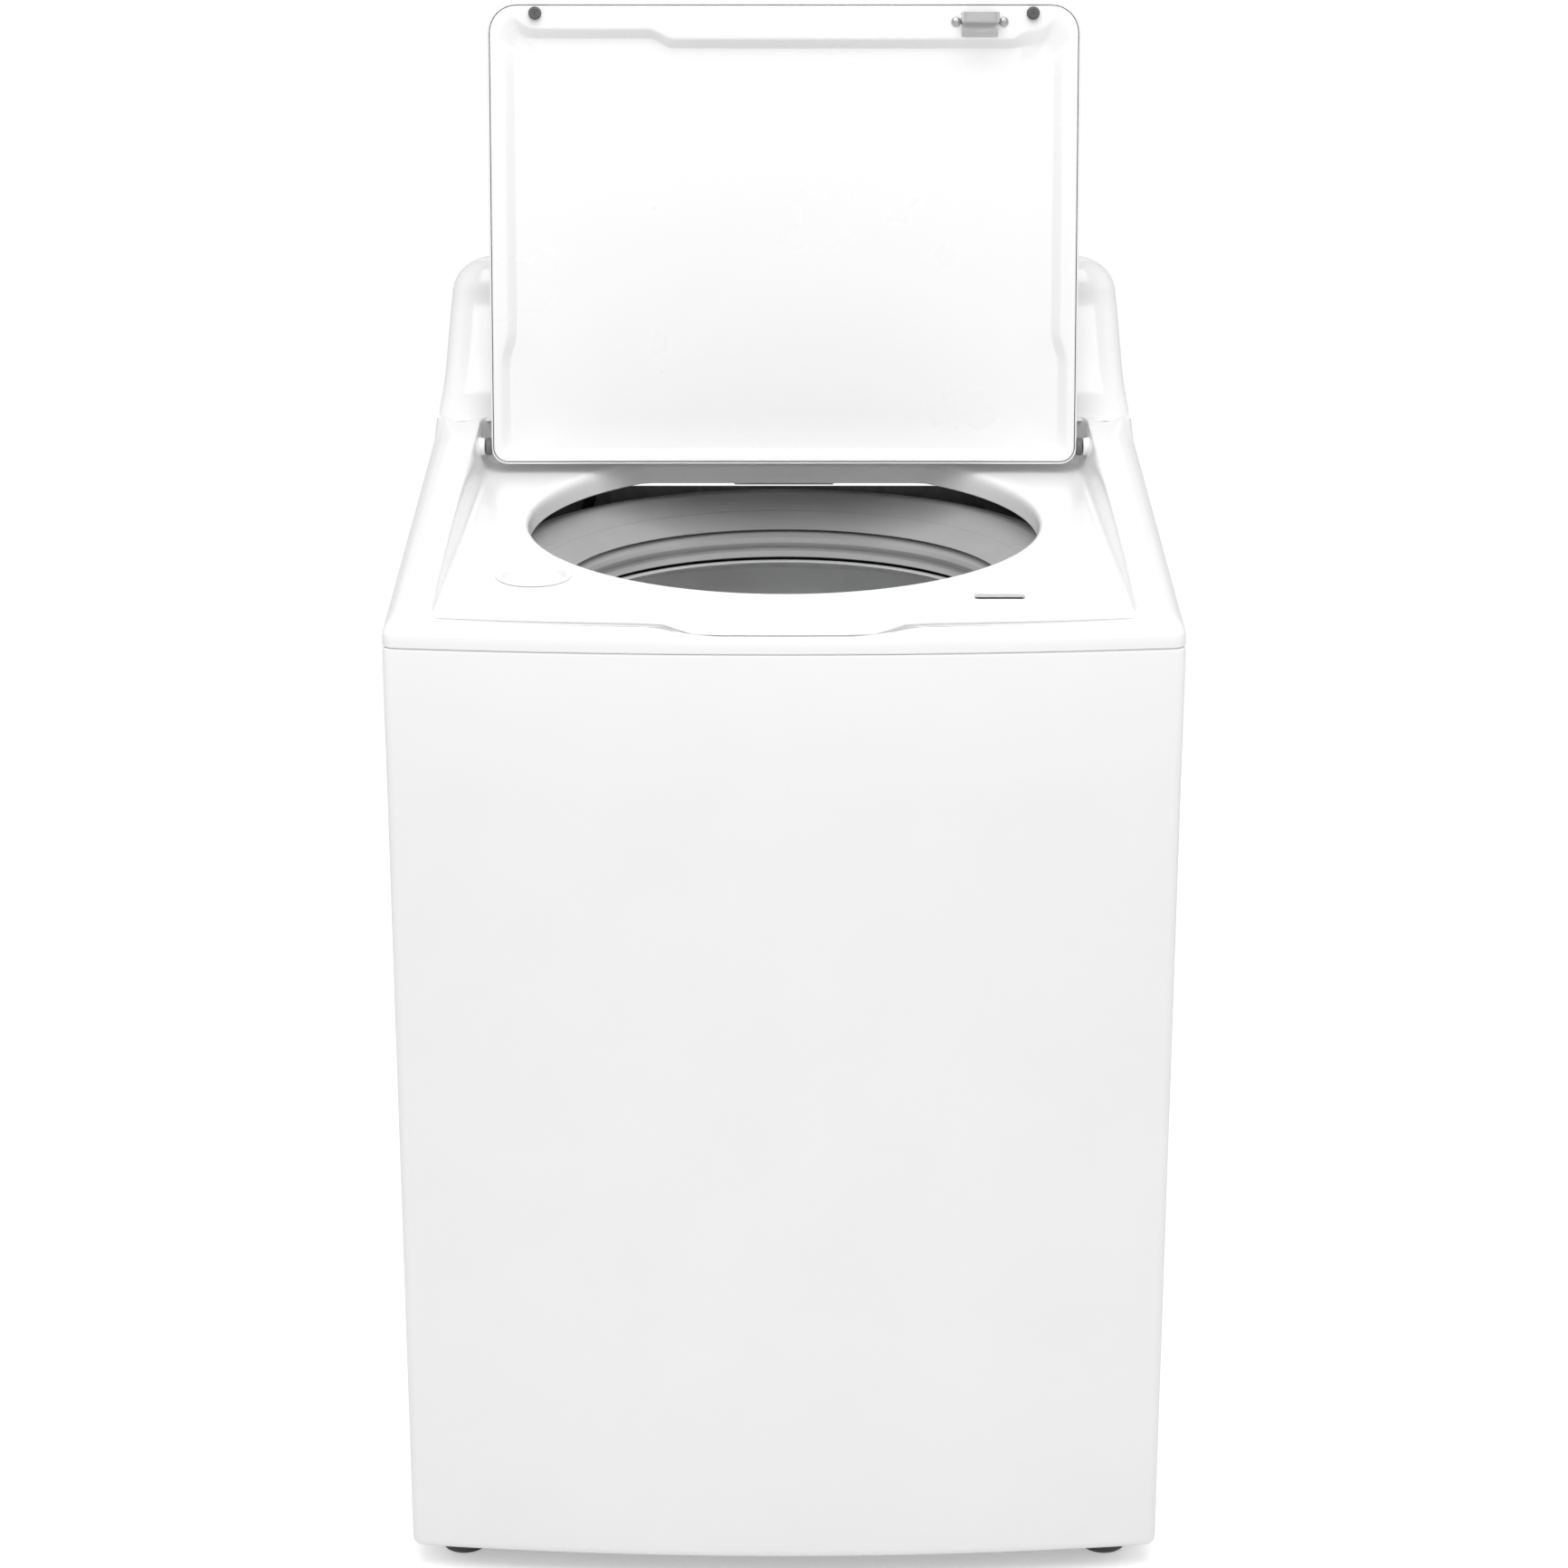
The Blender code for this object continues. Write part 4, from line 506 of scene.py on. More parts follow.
def lathe(
    profile: Sequence[Flat], steps: int = 96, rounding: float = 0.0, centre: Flat = (0.0, 0.0),
    shape: Callable[[float, float, float], float] | None = None, bm: bmesh.types.BMesh | None = None,
) -> bmesh.types.BMesh:
    """A body turned about an upright axis.

    Args:
        profile: (radius, height) points round the section. Radius 0 is on the axis.
        steps: sides of the turned body.
        rounding: how far the section's corners are rounded.
        centre: where the axis stands.
        shape: changes a radius at (radius, height, angle).
        bm: a mesh to add to.

    Returns:
        The mesh.
    """
    closed = profile[0][0] > 0 and profile[-1][0] > 0
    section = filleted(profile, rounding, 3, closed) if rounding else list(profile)
    loops = []
    for radius, height in section:
        if radius < 1e-7:
            loops.append([(centre[0], centre[1], height)])
            continue
        loop = []
        for i in range(steps):
            angle = 2 * math.pi * i / steps
            reach = shape(radius, height, angle) if shape else radius
            loop.append((centre[0] + reach * math.cos(angle), centre[1] + reach * math.sin(angle), height))
        loops.append(loop)
    return lofted(loops, closed, bm)


def rounded_box(low: Spot, high: Spot, radius: float = 0.001, bm: bmesh.types.BMesh | None = None, steps: int = 3) -> bmesh.types.BMesh:
    """A box with rounded edges.

    Args:
        low: its lowest corner.
        high: its highest corner.
        radius: the rounding.
        bm: a mesh to add to.
        steps: spans in each rounding.

    Returns:
        The mesh.
    """
    (x0, y0, z0), (x1, y1, z1) = low, high
    radius = min(radius, (x1 - x0) * 0.45, (y1 - y0) * 0.45, (z1 - z0) * 0.45)
    loops = []
    levels = [math.pi / 2 * k / steps for k in range(steps + 1)]
    for end, angles in ((z0, levels), (z1, list(reversed(levels)))):
        sign = 1 if end == z0 else -1
        for angle in angles:
            inset = radius * (1 - math.sin(angle))
            height = end + sign * radius * (1 - math.cos(angle))
            loops.append([(x, y, height) for x, y in plate_outline(x0 + inset, y0 + inset, x1 - inset, y1 - inset, max(radius - inset, 1e-4))])
    return lofted(loops, bm=bm)


def plate_outline(x0: float, y0: float, x1: float, y1: float, radius: float, steps: int = 4) -> list[Flat]:
    """A rectangle with round corners.

    Args:
        x0: left side.
        y0: near side.
        x1: right side.
        y1: far side.
        radius: of the corners.
        steps: spans in each corner.

    Returns:
        The outline, anticlockwise.
    """
    made = []
    for cx, cy, start in ((x1 - radius, y1 - radius, 0), (x0 + radius, y1 - radius, 90), (x0 + radius, y0 + radius, 180), (x1 - radius, y0 + radius, 270)):
        for k in range(steps + 1):
            angle = math.radians(start + 90 * k / steps)
            made.append((cx + radius * math.cos(angle), cy + radius * math.sin(angle)))
    return made


def plate(outline: Sequence[Flat], low: float, high: float, edge: float = 0.0, bm: bmesh.types.BMesh | None = None) -> bmesh.types.BMesh:
    """A flat plate with slightly eased edges.

    Args:
        outline: its outline.
        low: height of its underside.
        high: height of its top.
        edge: the easing at both faces.
        bm: a mesh to add to.

    Returns:
        The mesh.
    """
    middle = Vector((sum(x for x, _ in outline) / len(outline), sum(y for _, y in outline) / len(outline)))
    span = max((Vector(p) - middle).length for p in outline)

    def eased(share: float) -> list[Flat]:
        return [tuple(middle + (Vector(p) - middle) * (1 - share / span)) for p in outline]

    levels = [(low, edge), (low + edge, 0), (high - edge, 0), (high, edge)] if edge else [(low, 0), (high, 0)]
    return lofted([[(x, y, z) for x, y in eased(share)] for z, share in levels], bm=bm)


def tube(
    path: Sequence[Sequence[float]], radius: float, sides: int = 16,
    swell: Callable[[float], float] | None = None, bm: bmesh.types.BMesh | None = None, closed: bool = False,
) -> bmesh.types.BMesh:
    """A round tube along a path.

    Args:
        path: points of its middle line.
        radius: of the tube.
        sides: round it.
        swell: changes the radius with the distance along the path.
        bm: a mesh to add to.
        closed: whether the tube is a ring.

    Returns:
        The mesh.
    """
    spots = [Vector(p) for p in path]
    side = None
    loops, run = [], 0.0
    for i, spot in enumerate(spots):
        if closed:
            ahead = (spots[(i + 1) % len(spots)] - spots[i - 1]).normalized()
        else:
            ahead = (spots[min(i + 1, len(spots) - 1)] - spots[max(i - 1, 0)]).normalized()
        if side is None:
            side = ahead.orthogonal().normalized()
        side = (side - ahead * side.dot(ahead)).normalized()
        up = ahead.cross(side)
        if i:
            run += (spot - spots[i - 1]).length
        reach = radius * (swell(run) if swell else 1.0)
        turns = [2 * math.pi * k / sides for k in range(sides)]
        loops.append([spot + (side * math.cos(a) + up * math.sin(a)) * reach for a in turns])
    return lofted(loops, closed, bm)


def transformed(bm: bmesh.types.BMesh, matrix: Matrix) -> bmesh.types.BMesh:
    """Moves a mesh.

    Args:
        bm: the mesh.
        matrix: where it goes.

    Returns:
        The same mesh.
    """
    bmesh.ops.transform(bm, matrix=matrix, verts=bm.verts)
    return bm


def cut_out(target: bpy.types.Object, cutters: Sequence[bmesh.types.BMesh], union: bool = False) -> None:
    """Cuts shapes out of a piece, or joins them to it, for good.

    Args:
        target: the piece.
        cutters: the shapes, in the piece's space.
        union: joins instead of cutting.
    """
    for number, bm in enumerate(cutters):
        bmesh.ops.recalc_face_normals(bm, faces=bm.faces)
        mesh = bpy.data.meshes.new(f"tool_{number}")
        bm.to_mesh(mesh)
        bm.free()
        tool = bpy.data.objects.new(mesh.name, mesh)
        bpy.context.scene.collection.objects.link(tool)
        step = target.modifiers.new("tool", "BOOLEAN")
        step.operation = "UNION" if union else "DIFFERENCE"
        step.solver = "EXACT"
        step.object = tool
        bpy.context.view_layer.update()
        result = bpy.data.meshes.new_from_object(target.evaluated_get(bpy.context.evaluated_depsgraph_get()))
        target.modifiers.clear()
        target.data = result
        bpy.data.objects.remove(tool)
    smooth(target.data)


def smooth(mesh: bpy.types.Mesh, angle: float = 38.0) -> None:
    """Shades a mesh smooth apart from its crisp edges.

    Args:
        mesh: the mesh.
        angle: of the crispest smooth edge, in degrees.
    """
    mesh.shade_smooth()
    mesh.set_sharp_from_angle(angle=math.radians(angle))


def dress(
    name: str, bm: bmesh.types.BMesh, finish: Finish, node: str, replace: bool = True, matrix: Matrix = IDENTITY,
    cuts: Sequence[bmesh.types.BMesh] = (), angle: float = 38.0,
) -> bpy.types.Object:
    """Makes a piece of a mesh, with its finish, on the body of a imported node.

    Args:
        name: the piece's name.
        bm: its mesh.
        finish: its finish.
        node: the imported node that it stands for, or that it sits on.
        replace: whether it stands for the node.
        matrix: moves the mesh into place.
        cuts: shapes cut out of it, in the mesh's own place.
        angle: of the crispest smooth edge, in degrees.

    Returns:
        The piece.
    """
    bmesh.ops.remove_doubles(bm, verts=bm.verts, dist=1e-6)
    bmesh.ops.recalc_face_normals(bm, faces=bm.faces)
    mesh = bpy.data.meshes.new(name)
    bm.to_mesh(mesh)
    bm.free()
    made = bpy.data.objects.new(name, mesh)
    bpy.context.scene.collection.objects.link(made)
    if cuts:
        cut_out(made, cuts)
    made.data.transform(matrix)
    smooth(made.data, angle)
    made.data.materials.clear()
    made.data.materials.append(finish.material())
    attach(made, BODY_OF[node])
    if replace:
        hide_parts(node)
    log.info("%s: %d faces, %s, on %s", name, len(made.data.polygons), finish.name, BODY_OF[node])
    return made


def turned_to(direction: str) -> Matrix:
    """Turns an upright axis.

    Args:
        direction: "x", "y" or "-y".

    Returns:
        The turn.
    """
    turns = {"x": (90, "Y"), "y": (-90, "X"), "-y": (90, "X")}
    angle, axis = turns[direction]
    return Matrix.Rotation(math.radians(angle), 4, axis)


def screw(bm: bmesh.types.BMesh, matrix: Matrix, radius: float = 0.0045, height: float = 0.0022) -> None:
    """Adds a hex washer screw head.

    Args:
        bm: the mesh.
        matrix: its place. The head stands along Z.
        radius: of the washer.
        height: of the head.
    """
    part = lathe([(0, -0.0008), (radius, -0.0008), (radius, 0.0004), (radius * 0.86, 0.0009), (0, 0.0009)], 24)
    hexagon = [(radius * 0.64 * math.cos(math.pi * k / 3), radius * 0.64 * math.sin(math.pi * k / 3)) for k in range(6)]
    plate(hexagon, 0.0007, height, 0.0003, part)
    transformed(part, matrix)
    mesh = bpy.data.meshes.new("head")
    part.to_mesh(mesh)
    part.free()
    bm.from_mesh(mesh)
    bpy.data.meshes.remove(mesh)


# ---- studio ----
@dataclass
class Studio:
    """Plain pale floor, soft lights and the camera."""

    camera_at: Spot = (0.0, -3.252, 1.689)
    camera_down: float = 17.5
    lens: float = 81.87
    ambient: float = 0.68
    key_watts: float = 60.0
    fill_watts: float = 7.0
    floor_radius: float = 2.4

    def build(self) -> None:
        """Builds the camera, the surroundings, the lights and the floor."""
        self._camera()
        self._surroundings()
        middle = Vector((0, 0, 0.75))
        self._light("key", Vector((0, -1.75, 3.35)), Vector((0, 0.05, 0.95)), 2.2, self.key_watts)
        for name, spot in (("left", (-3.6, -0.2, 2.6)), ("right", (3.6, -0.2, 2.6)), ("rear", (0, 3.8, 2.8))):
            self._light(f"fill_{name}", Vector(spot), middle, 2.4, self.fill_watts)
        self._floor()

    def _camera(self) -> None:
        """Puts the camera in its place and makes it the scene's."""
        data = bpy.data.cameras.new("camera")
        data.lens, data.sensor_width = self.lens, 36.0
        camera = bpy.data.objects.new("camera", data)
        camera.location = self.camera_at
        camera.rotation_euler = (math.radians(90 - self.camera_down), 0, 0)
        bpy.context.scene.collection.objects.link(camera)
        bpy.context.scene.camera = camera
        bpy.context.scene.view_settings.view_transform = "Standard"

    def _surroundings(self) -> None:
        """A white room: pure white where it is seen, softer as light."""
        world = bpy.data.worlds.new("white_room")
        world.use_nodes = True
        bpy.context.scene.world = world
        world.node_tree.nodes.clear()
        wiring = Wiring(world.node_tree)
        seen = wiring.add("LightPath").outputs["Is Camera Ray"]
        level = wiring.add("MapRange", {"Value": seen, "To Min": self.ambient, "To Max": 1.0})
        glow = wiring.add("Background", {"Color": (1, 1, 1, 1), "Strength": level.outputs["Result"]})
        end = world.node_tree.nodes.new("ShaderNodeOutputWorld")
        world.node_tree.links.new(glow.outputs[0], end.inputs["Surface"])

    def _light(self, name: str, spot: Vector, aim: Vector, size: float, watts: float) -> None:
        """Adds one soft light.

        Args:
            name: its name.
            spot: where it hangs.
            aim: what it points at.
            size: its side.
            watts: its power.
        """
        data = bpy.data.lights.new(name, "AREA")
        data.size, data.energy = size, watts
        lamp = bpy.data.objects.new(name, data)
        lamp.location = spot
        lamp.rotation_euler = (aim - spot).to_track_quat("-Z", "Y").to_euler()
        bpy.context.scene.collection.objects.link(lamp)

    def _floor(self) -> None:
        """Lays a round pale floor under the machine."""
        bm = lathe([(0, -0.010), (self.floor_radius, -0.010), (self.floor_radius, -0.0005), (0, -0.0005)], 96)
        mesh = bpy.data.meshes.new("studio_floor")
        bm.to_mesh(mesh)
        bm.free()
        floor = bpy.data.objects.new("studio_floor", mesh)
        floor.data.materials.append(FLOOR_WHITE.material())
        bpy.context.scene.collection.objects.link(floor)


# ---- the machine's shared sizes ----
@dataclass(frozen=True)
class Machine:
    """Sizes that more than one sub-assembly uses."""

    width: float = 0.686
    bow: float = 0.022
    sheet: float = 0.0012
    bottom: float = 0.024
    seam: float = 0.886
    corner_y: float = -0.321
    rear: float = 0.343
    axis_y: float = 0.014
    gap: float = 0.0004
    hinge: Flat = (0.169, 0.956)
    open_angle: float = 100.0
    strike_x: float = 0.188
    slot_y: float = -0.2385

    def bowed(self, x: float, half: float) -> float:
        """How far the front stands ahead of its corners at x."""
        return self.bow * max(0.0, 1 - (x / half) ** 2)


SIZE = Machine()


# ---- cabinet ----
@dataclass
class Cabinet:
    """The wrapped steel body, its rear panel, base frame and feet."""

    corner: float = 0.009
    hem: float = 0.010
    flange: float = 0.018
    panel_y: float = 0.326
    frame_top: float = 0.060
    foot_spots: tuple[tuple[str, float, float], ...] = (
        ("foot_front_left", -0.299, -0.269), ("foot_front_right", 0.299, -0.269),
        ("foot_rear_left", -0.299, 0.285), ("foot_rear_right", 0.299, 0.285),
    )

    def build(self) -> None:
        """Builds the whole sub-assembly."""
        self._wrap()
        self._rear_panel()
        self._base_frame()
        for name, x, y in self.foot_spots:
            self._foot(name, x, y)

    def _outline(self, inset: float) -> list[Flat]:
        """The wrap's open outline, from the left rear flange round the front to the right one.

        Args:
            inset: how far inside the outer face it runs.

        Returns:
            The points.
        """
        half, front, rear = SIZE.width / 2 - inset, SIZE.corner_y + inset, SIZE.rear - inset
        flange = SIZE.width / 2 - self.flange
        corners = [(-flange, rear), (-half, rear), (-half, front)]
        corners += [(half * (2 * i / 12 - 1), front - SIZE.bowed(half * (2 * i / 12 - 1), half)) for i in range(1, 12)]
        corners += [(half, front), (half, rear), (flange, rear)]
        sharp = filleted(corners, max(0.0015, self.corner - inset), 6, closed=False)
        made: list[Flat] = []
        for (xa, ya), (xb, yb) in zip(sharp, sharp[1:]):
            spans = max(1, int(math.hypot(xb - xa, yb - ya) / 0.02))
            for k in range(spans):
                t = k / spans
                x, y = xa + (xb - xa) * t, ya + (yb - ya) * t
                if ya < front + 0.0005 and yb < front + 0.0005 and abs(x) < half - 0.012:
                    y = front - SIZE.bowed(x, half)
                made.append((x, y))
        return [*made, sharp[-1]]

    def _wrap(self) -> None:
        """The painted sheet, with a hem folded in along its bottom edge and a rolled top edge."""
        outer, inner = self._outline(0), self._outline(SIZE.sheet)
        count = min(len(outer), len(inner))
        pick = [round(i * (len(inner) - 1) / (len(outer) - 1)) for i in range(len(outer))]
        low, high = SIZE.bottom, SIZE.seam - SIZE.gap
        bm = bmesh.new()

        def shrink(points: Sequence[Flat], share: float) -> list[Flat]:
            return [(x * (1 - share / 0.343), y * (1 - share / 0.343)) for x, y in points]

        del count
        section: list[tuple[list[Flat], float]] = []
        for k in range(5):
            angle = math.pi / 2 * k / 4
            section.append((shrink(outer, self.hem * (1 - math.sin(angle))), low + self.hem * (1 - math.cos(angle))))
        section = [(shrink(outer, self.hem + 0.010), low)] + section
        section += [(outer, low + 0.2 + (high - 0.003 - low - 0.2) * k / 5) for k in range(6)]
        section += [(shrink(outer, 0.0006), high - 0.0008), (shrink(outer, 0.0016), high)]
        back = [inner[i] for i in pick]
        section += [(shrink(back, 0.0012), high), (back, high - 0.004), (back, low + self.hem)]
        section += [(shrink(back, self.hem + 0.008), low + SIZE.sheet)]
        rows = [[bm.verts.new((x, y, z)) for x, y in points] for points, z in section]
        for first, second in zip(rows, rows[1:] + rows[:1]):
            for i in range(len(first) - 1):
                bm.faces.new((first[i], first[i + 1], second[i + 1], second[i]))
        for end in (0, -1):
            bm.faces.new([row[end] for row in rows])
        dress("cabinet_painted_wrap", bm, WHITE_ENAMEL, "cabinet_wrap", angle=30)

    def _rear_panel(self) -> None:
        """The ribbed zinc-coated rear panel with its openings and screws."""
        half, low, high = SIZE.width / 2 - 0.0017, self.frame_top + 0.0006, SIZE.seam - 0.0045
        columns, rows = 76, 90
        ribs = [(-0.17, 0.16, 0.62), (0.0, 0.16, 0.62), (0.17, 0.16, 0.62)]

        def press(x: float, z: float) -> float:
            depth = 0.0
            for centre, bottom, top in ribs:
                across = 1 - smoothstep(0.022, 0.036, abs(x - centre))
                along = smoothstep(bottom, bottom + 0.02, z) * (1 - smoothstep(top - 0.02, top, z))
                depth = max(depth, 0.006 * across * along)
            border = 1 - smoothstep(0.295, 0.302, abs(x)) * 1.0
            return depth + 0.0014 * (1 - border)

        bm = bmesh.new()
        grid = []
        for j in range(rows + 1):
            z = low + (high - low) * j / rows
            grid.append([(-half + 2 * half * i / columns, z) for i in range(columns + 1)])
        faces = []
        for shift in (0.0, -SIZE.sheet):
            faces.append([[bm.verts.new((x, self.panel_y + shift - press(x, z), z)) for x, z in row] for row in grid])
        for sheet in faces:
            for a, b in zip(sheet, sheet[1:]):
                for i in range(columns):
                    bm.faces.new((a[i], a[i + 1], b[i + 1], b[i]))
        outside, inside = faces
        for j in range(rows):
            for i in (0, columns):
                bm.faces.new((outside[j][i], outside[j + 1][i], inside[j + 1][i], inside[j][i]))
        for i in range(columns):
            for j in (0, rows):
                bm.faces.new((outside[j][i], outside[j][i + 1], inside[j][i + 1], inside[j][i]))
        holes = []
        for x, z, radius in ((-0.225, 0.822, 0.0142), (-0.175, 0.822, 0.0142), (0.200, 0.800, 0.0130), (0.255, 0.835, 0.0115)):
            hole = lathe([(0, -0.03), (radius, -0.03), (radius, 0.03), (0, 0.03)], 40)
            holes.append(transformed(hole, Matrix.Translation((x, self.panel_y, z)) @ turned_to("-y")))
        dress("rear_panel_sheet", bm, ZINC_SHEET, "rear_panel", cuts=holes, angle=30)
        heads = bmesh.new()
        for x in (-0.32, 0.32):
            for z in (0.10, 0.29, 0.48, 0.67, 0.855):
                screw(heads, Matrix.Translation((x, self.panel_y - 0.0012, z)) @ turned_to("y"))
        dress("rear_panel_screws", heads, SCREW_STEEL, "rear_panel", replace=False)

    def _base_frame(self) -> None:
        """The folded base ring, with nuts welded over the feet."""
        half = SIZE.width / 2 - 0.0017
        front, rear, t = SIZE.corner_y + 0.0045, SIZE.rear - 0.0017, 0.0025

        def ring(inset: float, height: float) -> list[Spot]:
            sides = plate_outline(-half + inset, front + inset, half - inset, rear - inset, max(0.012 - inset * 0.1, 0.003), 5)
            return [(x, y, height) for x, y in sides]

        section = [(0.0, 0.0265), (0.0, self.frame_top), (0.072, self.frame_top), (0.072, 0.040), (0.0695, 0.040)]
        section += [(0.0695, self.frame_top - t), (t, self.frame_top - t), (t, 0.0265)]
        bm = lofted([ring(*point) for point in filleted(section, 0.0022, 2)], ring=True)
        cuts = []
        for _, x, y in self.foot_spots:
            cuts.append(lathe([(0, 0.0), (0.0068, 0.0), (0.0068, 0.1), (0, 0.1)], 24, centre=(x, y)))
        for x in (-0.14, 0.0, 0.14):
            for y in (-0.281, 0.306):
                cuts.append(rounded_box((x - 0.03, y - 0.008, 0.02), (x + 0.03, y + 0.008, 0.1), 0.007))
        dress("base_frame_ring", bm, ZINC_SHEET, "base_frame", cuts=cuts, angle=30)
        nuts = bmesh.new()
        for _, x, y in self.foot_spots:
            six = [(x + 0.0115 * math.cos(math.pi * k / 3), y + 0.0115 * math.sin(math.pi * k / 3)) for k in range(6)]
            hexagon = plate(six, self.frame_top + 0.0001, self.frame_top + 0.0085, 0.0012)
            lathe([(0.0069, self.frame_top), (0.0125, self.frame_top), (0.0125, self.frame_top + 0.0015), (0.0069, self.frame_top + 0.0015)], 32, centre=(x, y), bm=hexagon)
            mesh = bpy.data.meshes.new("nut")
            hexagon.to_mesh(mesh)
            hexagon.free()
            nuts.from_mesh(mesh)
            bpy.data.meshes.remove(mesh)
        dress("base_frame_nuts", nuts, SCREW_STEEL, "base_frame", replace=False)

    def _foot(self, name: str, x: float, y: float) -> None:
        """One levelling foot: a ribbed rubber pad on a threaded stem.

        Args:
            name: the foot's node.
            x: where it stands.
            y: where it stands.
        """
        pad = [(0, 0.0), (0.0175, 0.0), (0.0205, 0.0015), (0.021, 0.004), (0.0192, 0.0055), (0.0205, 0.007), (0.018, 0.0105), (0.008, 0.0118), (0, 0.0118)]
        bm = lathe(pad, 64, 0.0007, (x, y))
        dress(f"{name}_pad", bm, GREY_RUBBER, name)
        loops: list[Flat] = [(0, 0.0112), (0.0055, 0.0112)]
        turns = 22
        for k in range(turns):
            z = 0.014 + k * (0.0715 - 0.014) / turns
            loops += [(0.0050, z), (0.0060, z + 0.0013)]
        loops += [(0.0048, 0.0718), (0, 0.0718)]
        stem = lathe(loops, 32, 0, (x, y))
        six = [(x + 0.0095 * math.cos(math.pi * k / 3), y + 0.0095 * math.sin(math.pi * k / 3)) for k in range(6)]
        plate(six, 0.0119, 0.0165, 0.0008, stem)
        dress(f"{name}_stem", stem, ZINC_ROD, name, replace=False)


# ---- top cover ----
@dataclass
class TopCover:
    """The moulded top: sloped shoulders, the deck, the drum opening and the bleach cup."""

    wall: float = 0.003
    deck: float = 0.911
    slope: float = 0.050
    edge: float = 0.010
    shoulder_slope: float = 0.122
    shoulder_rise: float = 0.015
    shelf: float = 0.976
    sweep: Flat = (0.500, 0.545)
    opening: float = 0.2385
    flat: float = 0.195
    lip: float = 0.0225
    recess_side: float = 0.300
    recess_splay: float = 0.020
    recess_rear: float = 0.217
    scoop_depth: float = 0.010
    scoop_half: float = 0.090
    bleach: Spot = (-0.222, -0.178, 0.030)
    side_spans: int = 22
    corner_spans: int = 8

    def build(self) -> None:
        """Builds the whole sub-assembly."""
        self._cover()
        self._bleach_cup()

    def deck_at(self, y: float) -> float:
        """Height of the deck at y, away from the finger scoop."""
        return self.deck + self.slope * (y - SIZE.axis_y + self.opening)

    def _plan(self, half: float, front: float, rear: float, radius: float) -> list[Flat]:
        """A rounded rectangle seen from above, with a bowed front.

        Args:
            half: half its width.
            front: y of its front corners.
            rear: y of its rear side.
            radius: of its corners.

        Returns:
            The points, from the front end of the right side.
        """
        corners = [(half - radius, rear - radius, 0), (radius - half, rear - radius, 90)]
        corners += [(radius - half, front + radius, 180), (half - radius, front + radius, 270)]
        made, start = [], (half, front + radius)
        for x, y, angle in corners:
            turn = math.radians(angle)
            begin = (x + radius * math.cos(turn), y + radius * math.sin(turn))
            for k in range(self.side_spans):
                t = k / self.side_spans
                made.append((start[0] + (begin[0] - start[0]) * t, start[1] + (begin[1] - start[1]) * t))
            for k in range(self.corner_spans):
                turn = math.radians(angle + 90 * k / self.corner_spans)
                made.append((x + radius * math.cos(turn), y + radius * math.sin(turn)))
            turn = math.radians(angle + 90)
            start = (x + radius * math.cos(turn), y + radius * math.sin(turn))
        middle = (front + rear) / 2
        return [(x, y - SIZE.bowed(x, half) * smoothstep(middle, front + radius, y)) for x, y in made]

    def _mouth(self, offset: float) -> list[Flat]:
        """The drum opening, a circle with a straight rear edge, moved out by an offset."""
        count = 4 * (self.side_spans + self.corner_spans)
        reach, made = self.opening + offset, []
        for i in range(count):
            angle = 2 * math.pi * (i - self.side_spans / 2) / count
            y = min(reach * math.sin(angle), self.flat + offset)
            made.append((reach * math.cos(angle), SIZE.axis_y + y))
        return made

    def _recess(self, offset: float) -> list[Flat]:
        """The edge of the deck's recess, moved out by an offset."""
        front, rear = SIZE.corner_y + 0.018 - offset, self.recess_rear + offset
        points = self._plan(self.recess_side + offset, front, rear, 0.020 + offset)
        return [(x * (1 - self.recess_splay * (y - SIZE.corner_y) * 2), y) for x, y in points]

    def _outer(self, offset: float, radius: float) -> list[Flat]:
        """The cover's outside, moved in by an offset."""
        return self._plan(SIZE.width / 2 - offset, SIZE.corner_y + offset, SIZE.rear - offset, radius)

    def _scoop(self, x: float, y: float) -> float:
        """Depth of the finger scoop in the front of the deck."""
        across = 1 - smoothstep(self.scoop_half - 0.018, self.scoop_half + 0.018, abs(x))
        front = SIZE.corner_y - SIZE.bow
        return self.scoop_depth * across * (1 - smoothstep(front + 0.045, front + 0.095, y))

    def _shoulder(self, x: float, y: float, share: float) -> float:
        """Height of the shoulder at a point, for a share of its crest."""
        behind = max(0.0, y - SIZE.corner_y)
        sloped = self.edge + self.shoulder_slope * behind
        swept = smoothstep(*self.sweep, behind)
        height = sloped + (self.shelf - SIZE.seam - sloped) * swept
        return SIZE.seam + height + (self.shoulder_rise * (1 - swept) - self._scoop(x, y)) * share

    def _cover(self) -> None:
        """The cover's shell, with its hinge holes, lock slot and cup hole."""
        def level(points: list[Flat], height: Callable[[float, float], float]) -> list[Spot]:
            return [(x, y, height(x, y)) for x, y in points]

        def deck(drop: float = 0.0) -> Callable[[float, float], float]:
            return lambda x, y: self.deck_at(y) - self._scoop(x, y) - drop

        def lip(drop: float) -> Callable[[float, float], float]:
            return lambda x, y: self.deck_at(y) - drop

        def rise(share: float) -> Callable[[float, float], float]:
            return lambda x, y: deck()(x, y) + share * (self._shoulder(x, y, 1.0) - deck()(x, y))

        def side(share: float, drop: float = 0.0) -> Callable[[float, float], float]:
            return lambda x, y: self._shoulder(x, y, share) - drop

        def mid(share: float) -> list[Flat]:
            return [
                (a + (c - a) * share, b + (d - b) * share)
                for (a, b), (c, d) in zip(self._mouth(0.008), self._recess(-0.014))
            ]

